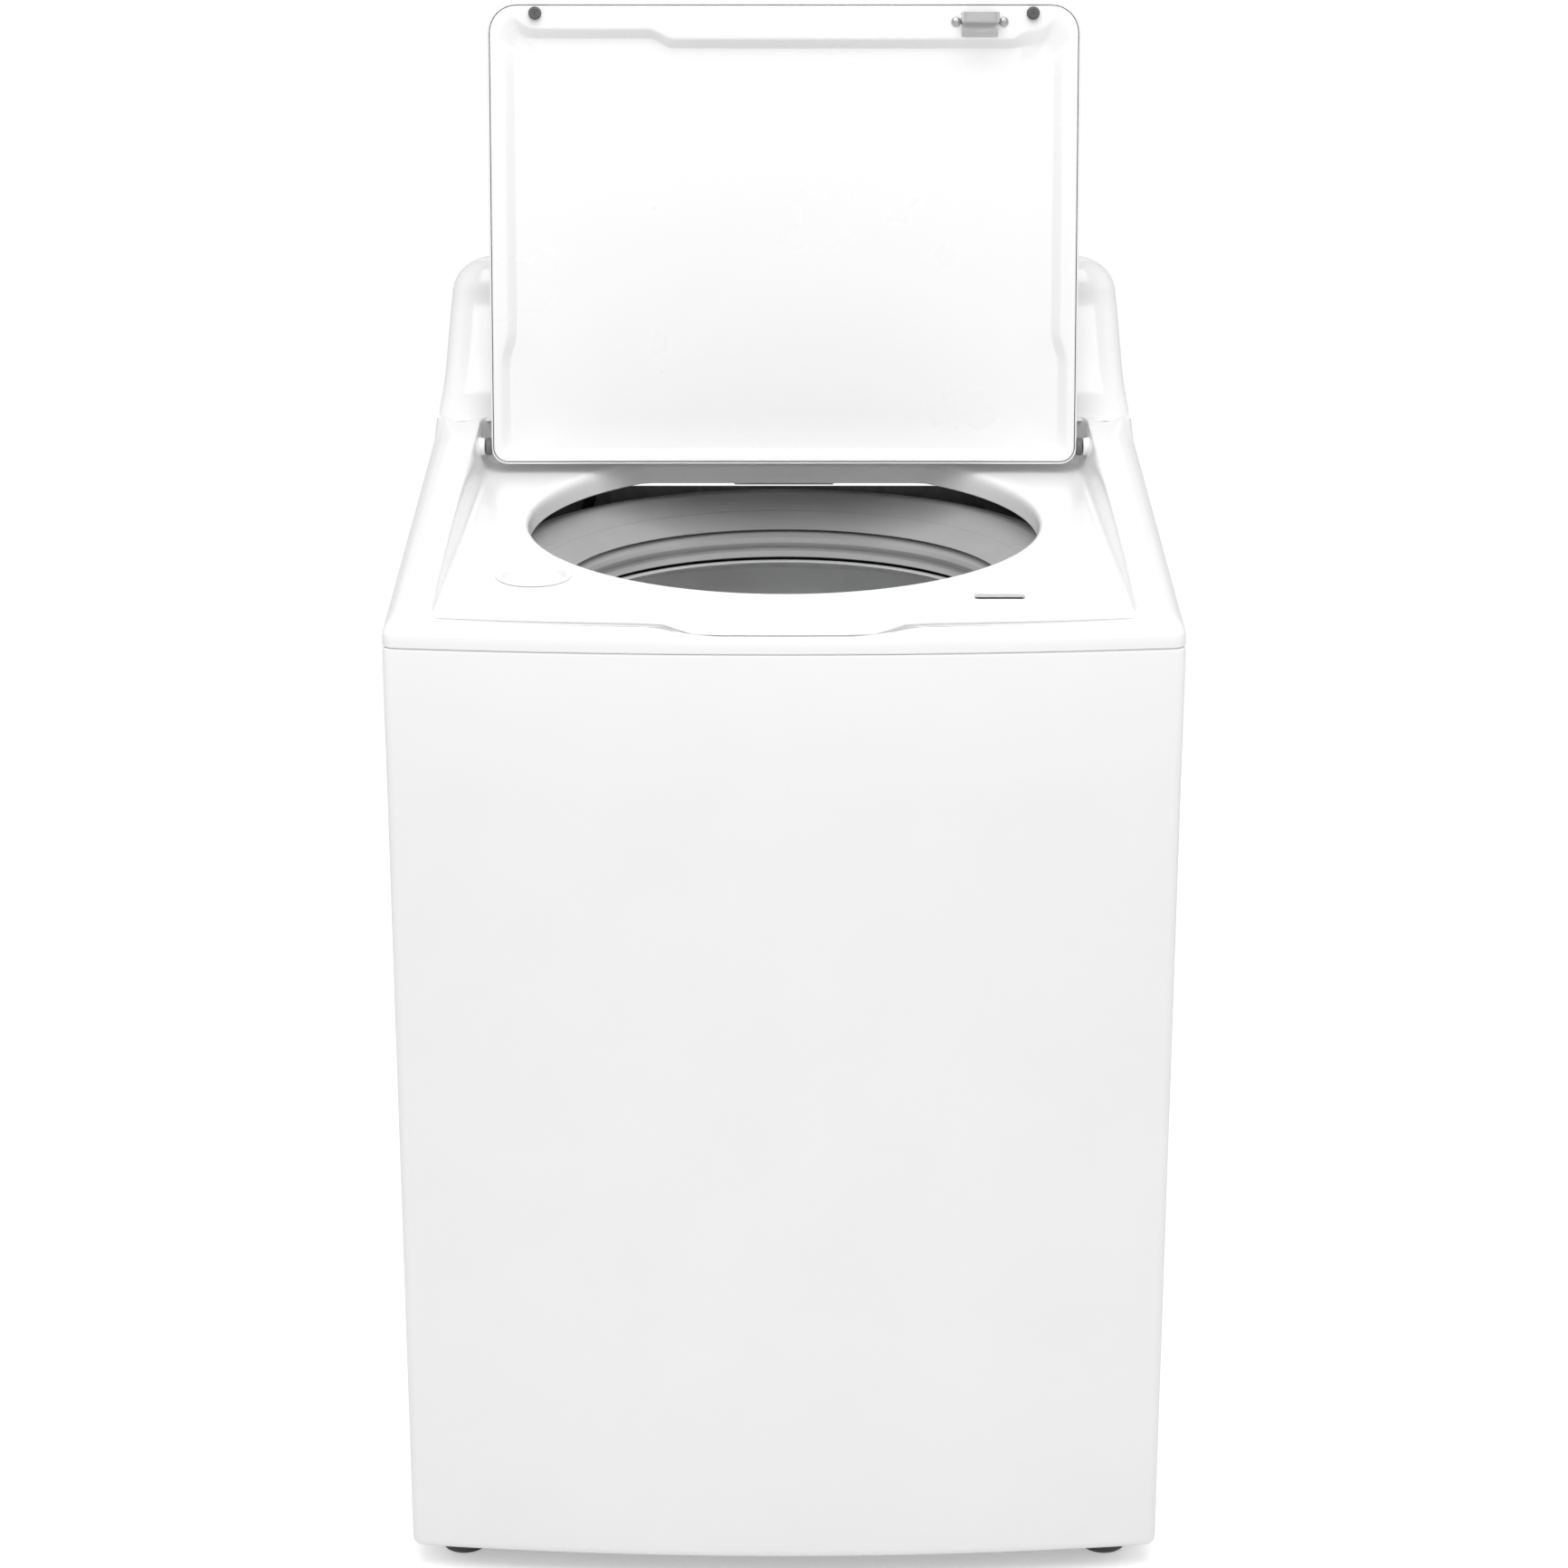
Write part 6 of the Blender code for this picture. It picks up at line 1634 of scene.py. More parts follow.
    def _start_button(self) -> None:
        """The round start button, slightly dished."""
        r = 0.0104
        profile = [(0, 0.0024), (r * 0.5, 0.0026), (r - 0.0016, 0.0032), (r, 0.0020), (r, -0.0041), (r + 0.002, -0.0042), (r + 0.002, -0.006), (0, -0.006)]
        bm = lathe(profile, 56, 0.0005)
        dress("start_button_cap", bm, KNOB_GREY, "start_button", matrix=self.facing @ Matrix.Translation((self.start_x, 0, 0)))

    def _board(self) -> None:
        """The control board with its relays, capacitors and connectors."""
        bm = rounded_box((0.03, 0.0300, -0.034), (0.25, 0.0318, 0.034), 0.0003)
        dress("control_board_laminate", bm, BOARD_GREEN, "control_board", matrix=self.frame)
        parts = bmesh.new()
        for x, z, w, h in ((0.055, -0.018, 0.010, 0.008), (0.085, -0.018, 0.010, 0.008), (0.115, -0.018, 0.010, 0.008), (0.150, 0.012, 0.014, 0.014), (0.200, -0.010, 0.008, 0.018), (0.225, 0.010, 0.010, 0.006)):
            rounded_box((x - w, 0.0204, z - h), (x + w, 0.0302, z + h), 0.0008, parts)
        for x, z in ((0.050, 0.018), (0.068, 0.018), (0.095, 0.020), (0.175, -0.020)):
            can = transformed(lathe([(0, 0), (0.0055, 0), (0.0055, 0.009), (0, 0.009)], 24, 0.0006), Matrix.Translation((x, 0.0300, z)) @ turned_to("-y"))
            mesh = bpy.data.meshes.new("can")
            can.to_mesh(mesh)
            can.free()
            parts.from_mesh(mesh)
            bpy.data.meshes.remove(mesh)
        dress("control_board_parts", parts, BLACK_PLASTIC, "control_board", replace=False, matrix=self.frame)

    def _sensor(self) -> None:
        """The water pressure sensor with its hose barb."""
        profile = [
            (0, 0.0002), (0.0215, 0.0002), (0.0215, 0.004), (0.019, 0.005), (0.019, 0.012), (0.0215, 0.013), (0.0212, 0.0142), (0.006, 0.0155),
            (0.0035, 0.017), (0.0035, 0.0195), (0.0044, 0.0195), (0.0030, 0.0225), (0.0044, 0.0225), (0.0028, 0.0258), (0, 0.0258),
        ]
        dress("pressure_sensor_case", lathe(profile, 56, 0.0005), WHITE_MOULDING, "pressure_sensor", matrix=self.frame @ Matrix.Translation((-0.20, 0.046, -0.004)) @ Matrix.Rotation(math.radians(90), 4, "X"))


# ---- tub and basket ----
@dataclass
class WashTub:
    """The outer tub with its cover, and the spinning basket inside it."""

    radius: float = 0.285
    wall: float = 0.004
    floor: float = 0.322
    top: float = 0.874
    basket: float = 0.262
    basket_floor: float = 0.352
    ring_inner: float = 0.205
    ear: Flat = (0.390, 0.016)
    rod: Flat = (0.290, 0.270)
    columns: int = 240
    rows: int = 62

    def build(self) -> None:
        """Builds the whole sub-assembly."""
        self.centre = (0.0, SIZE.axis_y)
        self._outer_tub()
        self._cover()
        self._basket()
        self._ring()
        self._hub()

    def _outer_tub(self) -> None:
        """The moulded tub, with stiffening ribs and four suspension ears."""
        r, t, floor = self.radius, self.wall, self.floor
        bands = [(0.46 + 0.075 * k) for k in range(5)]

        def ribbed(reach: float, height: float, angle: float) -> float:
            if reach < r - 0.001:
                return reach
            return reach + sum(0.0022 * math.exp(-(((height - band) / 0.004) ** 2)) for band in bands)

        outer = [(0.030, floor), (0.120, floor), (0.235, floor + 0.010), (0.272, floor + 0.030), (r, floor + 0.060)]
        heights = [floor + 0.064 + (self.top - floor - 0.068) * k / 80 for k in range(81)]
        inner = [(r - t, self.top), (r - t, floor + 0.062), (0.269, floor + 0.034), (0.233, floor + 0.014), (0.120, floor + t), (0.030, floor + t)]
        profile = filleted(outer, 0.012, 4, closed=False) + [(r, z) for z in heights] + [(r - 0.0008, self.top)] + filleted(inner, 0.008, 4, closed=False)
        bm = lathe(profile, 96, 0, self.centre, ribbed)
        made = dress("outer_tub_moulding", bm, TUB_GREY, "outer_tub")
        arms, holes = [], []
        low, thick = self.ear
        for sx in (-1, 1):
            for sy in (-1, 1):
                x, y = sx * self.rod[0], sy * self.rod[1]
                angle, reach = math.atan2(y, x), math.hypot(x, y)
                turn = Matrix.Translation((*self.centre, 0)) @ Matrix.Rotation(angle, 4, "Z")
                arms.append(transformed(rounded_box((r - t / 2, -0.0199, low), (reach + 0.0179, 0.0199, low + thick), 0.006, steps=4), turn))
                web = rounded_box((r - t / 2, -0.0025, low + thick - 0.004), (reach - 0.012, 0.0025, low + thick + 0.045), 0.002)
                arms.append(transformed(web, turn))
                holes.append(lathe([(0, low - 0.01), (0.0065, low - 0.01), (0.0065, low + 0.03), (0, low + 0.03)], 32, centre=(x, y + SIZE.axis_y)))
        for arm in arms[1::2]:
            bmesh.ops.transform(arm, matrix=Matrix.Identity(4), verts=arm.verts)
        cut_out(made, arms, union=True)
        cut_out(made, holes)

    def _cover(self) -> None:
        """The ring that closes the tub and leads down into the basket."""
        r, top, low = self.radius, SIZE.seam + 0.004, SIZE.seam - 0.025
        profile = [
            (r + 0.0005, self.top - 0.010), (r + 0.0035, self.top - 0.010), (r + 0.0035, self.top + 0.0035), (0.262, top - 0.0006),
            (0.2575, top), (0.252, top), (0.2485, top - 0.0012), (0.240, top - 0.008), (0.2300, top - 0.0152), (0.2285, top - 0.0152),
            (0.2090, low + 0.0006), (0.2075, low), (0.2090, low - 0.0014), (0.2112, low), (0.2295, top - 0.0190), (0.241, top - 0.0115),
            (0.253, top - 0.0035), (r + 0.0005, self.top + 0.0004),
        ]
        # Its finish carries painted shade: the grey is darker than the plastic's own colour.
        dress("tub_cover_ring", lathe(profile, 180, 0.0008, self.centre), COVER_GREY_WITH_PAINTED_SHADE, "tub_cover")

    def _wall_point(self, angle: float, z: float) -> float:
        """Radius of the basket's wall: eight pressed ribs, and shallow bands round it."""
        away = abs((math.degrees(angle) - 22.5 + 22.5) % 45 - 22.5)
        rib = 1 - smoothstep(0.9, 1.7, away)
        rib *= smoothstep(self.basket_floor + 0.045, self.basket_floor + 0.075, z) * (1 - smoothstep(0.785, 0.800, z))
        band = math.exp(-(((z - 0.43) / 0.006) ** 2)) + math.exp(-(((z - 0.798) / 0.004) ** 2))
        return self.basket - 0.0006 - 0.0040 * rib - 0.0016 * band

    def _basket(self) -> None:
        """The stainless basket: a perforated pressed wall with a rolled mouth."""
        low, high = self.basket_floor + 0.020, SIZE.seam - 0.0775
        bm = bmesh.new()
        rows = []
        foot = [(0.239, self.basket_floor + 0.0002), (0.246, self.basket_floor + 0.0012), (0.252, self.basket_floor + 0.0042), (0.2572, self.basket_floor + 0.010), (0.2600, self.basket_floor + 0.0150)]
        for reach, z in foot:
            rows.append([self._spot(reach, z, i) for i in range(self.columns)])
        for j in range(self.rows + 1):
            z = low + (high - low) * j / self.rows
            rows.append([self._spot(self._wall_point(2 * math.pi * i / self.columns, z), z, i) for i in range(self.columns)])
        under = SIZE.seam - 0.074 + 0.0195
        neck = [(self.basket - 0.0030, high + 0.0010), (self.basket - 0.012, high + 0.0045), (0.235, high + 0.0112), (self.ring_inner + 0.0075, under - 0.0036), (self.ring_inner + 0.001, under - 0.0022)]
        neck += [(0.2030, under - 0.0022), (0.2021, under - 0.0031), (0.2029, under - 0.0042), (0.2045, under - 0.0046), (0.2075, under - 0.0046)]
        for reach, z in neck:
            rows.append([self._spot(reach, z, i) for i in range(self.columns)])
        rings = [[bm.verts.new(p) for p in row] for row in rows]
        start = len(foot)
        for j, (first, second) in enumerate(zip(rings, rings[1:])):
            for i in range(self.columns):
                k = (i + 1) % self.columns
                corners = (first[i], first[k], second[k], second[i])
                if self._holed(i, j - start):
                    self._slot(bm, corners)
                else:
                    bm.faces.new(corners)
        bmesh.ops.recalc_face_normals(bm, faces=bm.faces)
        made = dress("basket_perforated_drum", bm, STAINLESS, "basket_drum", angle=50)
        step = made.modifiers.new("sheet", "SOLIDIFY")
        step.thickness, step.offset = 0.0009, 0.0
        bpy.context.view_layer.update()
        made.data = bpy.data.meshes.new_from_object(made.evaluated_get(bpy.context.evaluated_depsgraph_get()))
        made.modifiers.clear()
        smooth(made.data, 50)

    def _spot(self, reach: float, z: float, column: int) -> Spot:
        """A point of the basket.

        Args:
            reach: its radius.
            z: its height.
            column: its place round the basket.

        Returns:
            The point.
        """
        angle = 2 * math.pi * column / self.columns
        return (reach * math.cos(angle), SIZE.axis_y + reach * math.sin(angle), z)

    def _holed(self, column: int, row: int) -> bool:
        """Whether a cell of the wall has a drain slot. Every other panel between ribs is plain.

        Args:
            column: the cell's place round the basket.
            row: its place up the wall.

        Returns:
            Whether it is holed.
        """
        if row < 6 or row > self.rows - 3:
            return False
        degrees = (column + 0.5) * 360 / self.columns
        panel = int((degrees - 22.5) // 45) % 8
        if panel % 2 == 0 and panel in (1, 3, 5, 7):
            return False
        within = (degrees - 22.5) % 45
        plain = panel in (1, 3, 5, 7)
        if plain:
            return within < 3.0 and within > 1.5 and row % 2 == 0 and row < self.rows - 2 or within > 42.0 and within < 43.5 and row % 2 == 0
        return 3.0 < within < 42.0 and column % 3 == 0 and (row + (column // 3)) % 2 == 0

    @staticmethod
    def _slot(bm: bmesh.types.BMesh, corners: tuple[bmesh.types.BMVert, ...]) -> None:
        """Fills a cell of the wall round an upright rounded slot.

        Args:
            bm: the mesh.
            corners: the cell's corners.
        """
        a, b, c, d = (v.co for v in corners)

        def at(u: float, v: float) -> Vector:
            return (a * (1 - u) + b * u) * (1 - v) + (d * (1 - u) + c * u) * v

        rim = [(0.34, 0.22), (0.5, 0.12), (0.66, 0.22), (0.66, 0.78), (0.5, 0.88), (0.34, 0.78)]
        inner = [bm.verts.new(at(u, v)) for u, v in rim]
        p, q, r, s = corners
        bm.faces.new((p, q, inner[2], inner[1], inner[0]))
        bm.faces.new((q, r, inner[3], inner[2]))
        bm.faces.new((r, s, inner[5], inner[4], inner[3]))
        bm.faces.new((s, p, inner[0], inner[5]))

    def _ring(self) -> None:
        """The fluid-filled balance ring at the basket's mouth."""
        low, top, inner = SIZE.seam - 0.074, SIZE.seam - 0.0285, self.ring_inner
        under, r = SIZE.seam - 0.074 + 0.0195, self.basket
        profile = [
            (r + 0.0018, low), (r + 0.0018, low + 0.012), (r + 0.0010, low + 0.0135), (r + 0.0018, low + 0.015), (r + 0.0018, top - 0.007),
            (r - 0.004, top - 0.0002), (0.2475, top), (0.2455, top - 0.0014), (0.2425, top - 0.0014), (0.2405, top), (inner + 0.009, top),
            (inner + 0.0015, top - 0.0055), (inner, top - 0.010), (inner + 0.0012, top - 0.0128), (inner + 0.0046, top - 0.0165),
            (inner + 0.0046, top - 0.0195), (inner + 0.0010, top - 0.0232), (inner + 0.0005, top - 0.0245), (inner + 0.0072, under),
        ]
        # Its finish carries painted shade: the grey is darker than the plastic's own colour.
        dress("balance_ring_moulding", lathe(profile, 180, 0.0012, self.centre), RING_GREY_WITH_PAINTED_SHADE, "balance_ring")

    def _hub(self) -> None:
        """The basket's base plate, with radial ribs, on its drive tube."""
        floor = self.basket_floor
        profile = [
            (0.0088, 0.1905), (0.0128, 0.1905), (0.0128, floor - 0.014), (0.050, floor - 0.008), (0.240, floor - 0.004),
            (0.2485, floor - 0.001), (0.2485, floor - 0.0006), (0.2372, floor - 0.0006), (0.2372, floor + 0.006), (0.060, floor + 0.008),
            (0.030, floor + 0.030), (0.0088, floor + 0.030),
        ]

        def ribbed(reach: float, height: float, angle: float) -> float:
            return reach

        bm = lathe(profile, 96, 0.0012, self.centre, ribbed)
        made = dress("basket_hub_moulding", bm, WHITE_MOULDING, "basket_hub")
        ribs = bmesh.new()
        for k in range(12):
            rib = rounded_box((0.045, -0.0018, floor - 0.004), (0.232, 0.0018, floor + 0.0098), 0.001)
            transformed(rib, Matrix.Translation((*self.centre, 0)) @ Matrix.Rotation(2 * math.pi * k / 12, 4, "Z"))
            mesh = bpy.data.meshes.new("rib")
            rib.to_mesh(mesh)
            rib.free()
            ribs.from_mesh(mesh)
            bpy.data.meshes.remove(mesh)
        del made
        dress("basket_hub_ribs", ribs, WHITE_MOULDING, "basket_hub", replace=False)


# ---- agitator ----
@dataclass
class AgitatorPost:
    """The agitator with its vanes, the auger with its screw flights, and the softener cup."""

    top: float = 0.640
    auger_top: float = 0.740
    low: float = 0.368
    shaft: float = 0.008

    def build(self) -> None:
        """Builds the whole sub-assembly."""
        self.place = Matrix.Translation((0, SIZE.axis_y, 0))
        self._agitator()
        self._auger()
        self._cup()

    def _agitator(self) -> None:
        """The flared base with four curved vanes."""
        low, top = self.low, self.top
        outer = [(0, top), (0.0298, top), (0.0298, top - 0.090), (0.0445, top - 0.094), (0.0495, low + 0.120), (0.0595, low + 0.070)]
        outer += [(0.087, low + 0.034), (0.140, low + 0.010), (0.1648, low)]
        inner = [(0.162, low - 0.0001), (0.138, low + 0.007), (0.086, low + 0.030), (0.056, low + 0.066), (0.046, low + 0.118)]
        inner += [(0.040, top - 0.099), (0.0086, top - 0.100), (0.0086, top - 0.020), (0, top - 0.020)]
        made = dress("agitator_moulding", lathe(outer + inner, 96, 0.004), WHITE_MOULDING, "agitator")
        vane = [(0.034, top - 0.101), (0.0535, top - 0.110), (0.062, low + 0.145), (0.0695, low + 0.110), (0.090, low + 0.082)]
        vane += [(0.118, low + 0.062), (0.142, low + 0.034), (0.157, low + 0.005), (0.140, low + 0.0075), (0.087, low + 0.031), (0.056, low + 0.068), (0.0455, low + 0.119)]
        section = filleted(vane, 0.006, 3)
        vanes = []
        for k in range(4):
            loops = []
            for y, shrink in ((-0.0040, 0.0012), (-0.0030, 0.0), (0.0, 0.0), (0.0030, 0.0), (0.0040, 0.0012)):
                loops.append([(r - shrink * (r > 0.06), y, z - shrink * (z > low + 0.02)) for r, z in section])
            vanes.append(transformed(lofted(loops), Matrix.Rotation(math.pi / 2 * k, 4, "Z")))
        cut_out(made, vanes, union=True)
        made.data.transform(self.place)

    def _auger(self) -> None:
        """The auger sleeve with a pair of screw flights."""
        low, high, bore = self.top - 0.086, self.auger_top, 0.031
        sleeve = [(bore, low), (0.0358, low), (0.0358, high - 0.003), (0.0345, high), (bore, high)]
        bm = lathe(sleeve, 72, 0.0006)
        steps = 80
        for number in range(2):
            loops = []
            for i in range(steps + 1):
                t = i / steps
                angle = math.pi * number + 2 * math.pi * 0.85 * t
                z = low + 0.008 + (high - low - 0.030) * t
                reach = 0.0368 + 0.0425 * math.sin(math.pi * min(1, 0.12 + t)) ** 0.6
                section = filleted([(0.0345, z), (reach, z - 0.0038), (reach, z + 0.0001), (0.0345, z + 0.0066)], 0.0012, 2)
                loops.append([(r * math.cos(angle), r * math.sin(angle), h) for r, h in section])
            lofted(loops, bm=bm)
        dress("auger_screw", bm, WHITE_MOULDING, "auger", matrix=self.place)

    def _cup(self) -> None:
        """The softener cup with a rounded crown and a fluted grip."""
        low, reach, high = self.top + 0.0007, 0.0294, self.auger_top
        profile = [(0, low), (reach, low), (reach, high + 0.0010), (0.0396, high + 0.0010), (0.0426, high + 0.0060), (0.0424, high + 0.0110)]
        profile += [(0.0360, high + 0.0196), (0.0300, high + 0.0216), (0.0245, high + 0.0216), (0.0240, high + 0.018), (0.024, high - 0.010)]
        profile += [(0.022, low + 0.003), (0, low + 0.003)]

        def fluted(radius: float, height: float, angle: float) -> float:
            share = smoothstep(high + 0.002, high + 0.005, height) * (1 - smoothstep(high + 0.012, high + 0.017, height))
            return radius - 0.0008 * share * (0.5 + 0.5 * math.cos(36 * angle)) * (radius > 0.036)

        dress("softener_cup_moulding", lathe(profile, 216, 0.0014, shape=fluted), WHITE_MOULDING, "softener_cup", matrix=self.place)


# ---- drive ----
@dataclass
class Drive:
    """Shaft, pulleys, belt, gearcase, motor and drain pump."""

    pulley_z: float = 0.178
    thick: float = 0.016
    big: float = 0.085
    small: float = 0.020
    offset: float = 0.165
    motor: float = 0.058
    pump: Flat = (0.150, -0.080)

    def build(self) -> None:
        """Builds the whole sub-assembly."""
        self.place = Matrix.Translation((0, SIZE.axis_y, 0))
        self.motor_place = Matrix.Translation((0, SIZE.axis_y + self.offset, 0))
        low = self.pulley_z - self.thick / 2 - 0.010
        shaft = [(0, low), (0.0070, low), (0.0077, low + 0.001), (0.0077, 0.6180), (0.0070, 0.6188), (0, 0.6188)]
        dress("drive_shaft_steel", lathe(shaft, 48), SHAFT_STEEL, "drive_shaft", matrix=self.place)
        self._big_pulley()
        self._motor_pulley()
        self._gearcase()
        self._motor()
        self._belt()
        self._pump()

    def _rim(self, radius: float) -> list[Flat]:
        """The grooved rim of a pulley.

        Args:
            radius: of its groove.

        Returns:
            The section.
        """
        low, high = self.pulley_z - self.thick / 2, self.pulley_z + self.thick / 2
        groove = [(radius + 0.0038, low), (radius + 0.0038, low + 0.0018)]
        for k in range(6):
            z = low + 0.0032 + (self.thick - 0.0064) * (k + 0.5) / 6
            groove += [(radius - 0.0012, z - 0.0005), (radius - 0.0022, z + 0.0002)]
        return [*groove, (radius + 0.0038, high - 0.0018), (radius + 0.0038, high)]

    def _big_pulley(self) -> None:
        """The spoked drive pulley on the shaft."""
        low, high, r = self.pulley_z - self.thick / 2, self.pulley_z + self.thick / 2, self.big
        section = [(0.0085, low + 0.002), (0.024, low + 0.002), (0.026, low + 0.006), (r - 0.010, low + 0.006)]
        section += self._rim(r) + [(r - 0.010, high - 0.006), (0.026, high - 0.006), (0.022, high - 0.003), (0.0085, high - 0.003)]
        cuts = []
        for k in range(6):
            a0, a1 = math.radians(60 * k + 11), math.radians(60 * k + 49)
            arc = [(0.069 * math.cos(a0 + (a1 - a0) * i / 8), 0.069 * math.sin(a0 + (a1 - a0) * i / 8)) for i in range(9)]
            arc += [(0.034 * math.cos(a1 - (a1 - a0) * i / 4 * 0.8 - (a1 - a0) * 0.1), 0.034 * math.sin(a1 - (a1 - a0) * i / 4 * 0.8 - (a1 - a0) * 0.1)) for i in range(5)]
            cuts.append(plate(filleted(arc, 0.004, 3), low - 0.01, high + 0.01))
        dress("drive_pulley_cast", lathe(section, 120, 0.0006), CAST_ALLOY, "drive_pulley", matrix=self.place, cuts=cuts)

    def _motor_pulley(self) -> None:
        """The motor's small grooved pulley and its shaft."""
        low, high = self.pulley_z - self.thick / 2, self.pulley_z + self.thick / 2
        section = [(0, low), (0.006, low), (0.0075, low + 0.001), (0.015, low + 0.001)] + self._rim(self.small)
        section += [(0.0145, high - 0.0005), (0.0105, high), (0.0066, high), (0.0066, 0.2106), (0, 0.2108)]
        dress("motor_pulley_turned", lathe(section, 60, 0.0005), SHAFT_STEEL, "motor_pulley", matrix=self.motor_place)

    def _gearcase(self) -> None:
        """The cast gearcase with cooling ribs and its bolt circle."""
        section = [
            (0.0138, 0.1945), (0.034, 0.1945), (0.0378, 0.205), (0.0598, 0.212), (0.0598, 0.290), (0.0898, 0.318), (0.1098, 0.3214),
            (0.029, 0.3214), (0.0287, 0.3298), (0.0138, 0.3298),
        ]

        def ribbed(reach: float, height: float, angle: float) -> float:
            if not 0.055 < reach < 0.095 or height > 0.315:
                return reach
            return reach - 0.0035 * (0.5 - 0.5 * math.cos(angle * 16)) * smoothstep(0.207, 0.216, height)

        bm = lathe(section, 192, 0.003, (0, 0), ribbed)
        made = dress("gearcase_casting", bm, CAST_ALLOY, "gearcase")
        made.data.transform(self.place)
        heads = bmesh.new()
        for k in range(8):
            angle = math.radians(22.5 + 45 * k)
            spot = Matrix.Translation((0.098 * math.cos(angle), 0.098 * math.sin(angle), 0.3188)) @ Matrix.Rotation(math.pi, 4, "X")
            screw(heads, self.place @ spot, 0.0065, 0.0048)
        dress("gearcase_bolts", heads, SCREW_STEEL, "gearcase", replace=False)

    def _motor(self) -> None:
        """The motor: two vented end bells round a ribbed stator, on a bracket."""
        r = self.motor
        section = [
            (0.0076, 0.1962), (0.030, 0.1962), (0.032, 0.202), (r - 0.004, 0.2045), (r - 0.0005, 0.208), (r - 0.0005, 0.224),
            (r - 0.004, 0.2255), (r - 0.004, 0.278), (r - 0.0005, 0.2795), (r - 0.0005, 0.296), (0.050, 0.3055), (0, 0.3058), (0, 0.2125), (0.0076, 0.2125),
        ]

        def laminated(reach: float, height: float, angle: float) -> float:
            if abs(reach - (r - 0.004)) < 0.0006 and 0.226 < height < 0.278:
                return reach + 0.0025 * (math.cos(angle * 8) > 0.6)
            return reach

        rows = bmesh.new()
        lathe(section, 128, 0.0012, (0, 0), laminated, rows)
        vents = []
        for k in range(12):
            angle = 2 * math.pi * k / 12
            for z in (0.216, 0.2875):
                vent = rounded_box((r - 0.008, -0.006, z - 0.0035), (r + 0.004, 0.006, z + 0.0035), 0.002)
                vents.append(transformed(vent, Matrix.Rotation(angle, 4, "Z")))
        tool = vents[0]
        for other in vents[1:]:
            mesh = bpy.data.meshes.new("vent")
            other.to_mesh(mesh)
            other.free()
            tool.from_mesh(mesh)
            bpy.data.meshes.remove(mesh)
        made = dress("drive_motor_case", rows, MOTOR_ENAMEL, "drive_motor", cuts=[tool])
        mount = rounded_box((-0.0298, -self.offset + 0.078, 0.2865), (0.0298, -0.040, 0.2975), 0.003)
        cut_out(made, [mount], union=True)
        made.data.transform(self.motor_place)
        coil = lathe([(0.036, 0.213), (0.046, 0.213), (0.049, 0.2155), (0.049, 0.2195), (0.036, 0.2215)], 96, 0.002)
        dress("drive_motor_winding", coil, COPPER, "drive_motor", replace=False, matrix=self.motor_place)

    def _belt(self) -> None:
        """The ribbed belt round both pulleys."""
        big, small, y = self.big + 0.0004, self.small + 0.0004, SIZE.axis_y + self.offset
        lean = math.asin((big - small) / self.offset)

        def outline(depth: float) -> list[Flat]:
            made = []
            for k in range(61):
                angle = lean + (-math.pi - 2 * lean) * k / 60
                made.append(((big + depth) * math.cos(angle), SIZE.axis_y + (big + depth) * math.sin(angle)))
            for k in range(25):
                angle = math.pi + lean - (math.pi + 2 * lean) * k / 24
                made.append(((small + depth) * math.cos(angle), y + (small + depth) * math.sin(angle)))
            return made

        low, high = self.pulley_z - 0.0045, self.pulley_z + 0.0045
        section: list[Flat] = [(0.0029, high - 0.0004), (0.0025, high), (0.0008, high)]
        for k in range(5):
            z = high - 0.0009 * (2 * k + 1)
            section += [(0.0, z + 0.0005), (0.0011, z - 0.0003)]
        section += [(0.0008, low), (0.0025, low), (0.0029, low + 0.0004)]
        loops = [[(x, py, z) for x, py in outline(depth)] for depth, z in section]
        dress("drive_belt_ribbed", lofted(loops, ring=True), BLACK_RUBBER, "drive_belt")

    def _pump(self) -> None:
        """The drain pump: a volute, a ribbed motor can and its two stubs."""
        section = [(0, 0.2152), (0.029, 0.2152), (0.0318, 0.220), (0.0318, 0.262), (0.0418, 0.2645), (0.0418, 0.2955), (0.0145, 0.2958)]
        section += [(0.0138, 0.299), (0.0138, 0.3212), (0, 0.3214)]

        def ribbed(reach: float, height: float, angle: float) -> float:
            if 0.031 < reach < 0.033 and 0.222 < height < 0.262:
                return reach - 0.0015 * (0.5 + 0.5 * math.cos(angle * 20))
            return reach

        path = [(0, 0.2152)] + filleted(section[1:-1], 0.0016, 3, closed=False) + [(0, 0.3214)]
        bm = lathe(path, 120, 0, (0, 0), ribbed)
        made = dress("drain_pump_case", bm, BLACK_PLASTIC, "drain_pump")
        stub = lathe([(0, 0.010), (0.0104, 0.010), (0.0104, 0.052), (0.0096, 0.0548), (0, 0.0548)], 48)
        transformed(stub, Matrix.Translation((0, 0, 0.280)) @ turned_to("x"))
        cut_out(made, [stub], union=True)
        made.data.transform(Matrix.Translation((*self.pump, 0)))


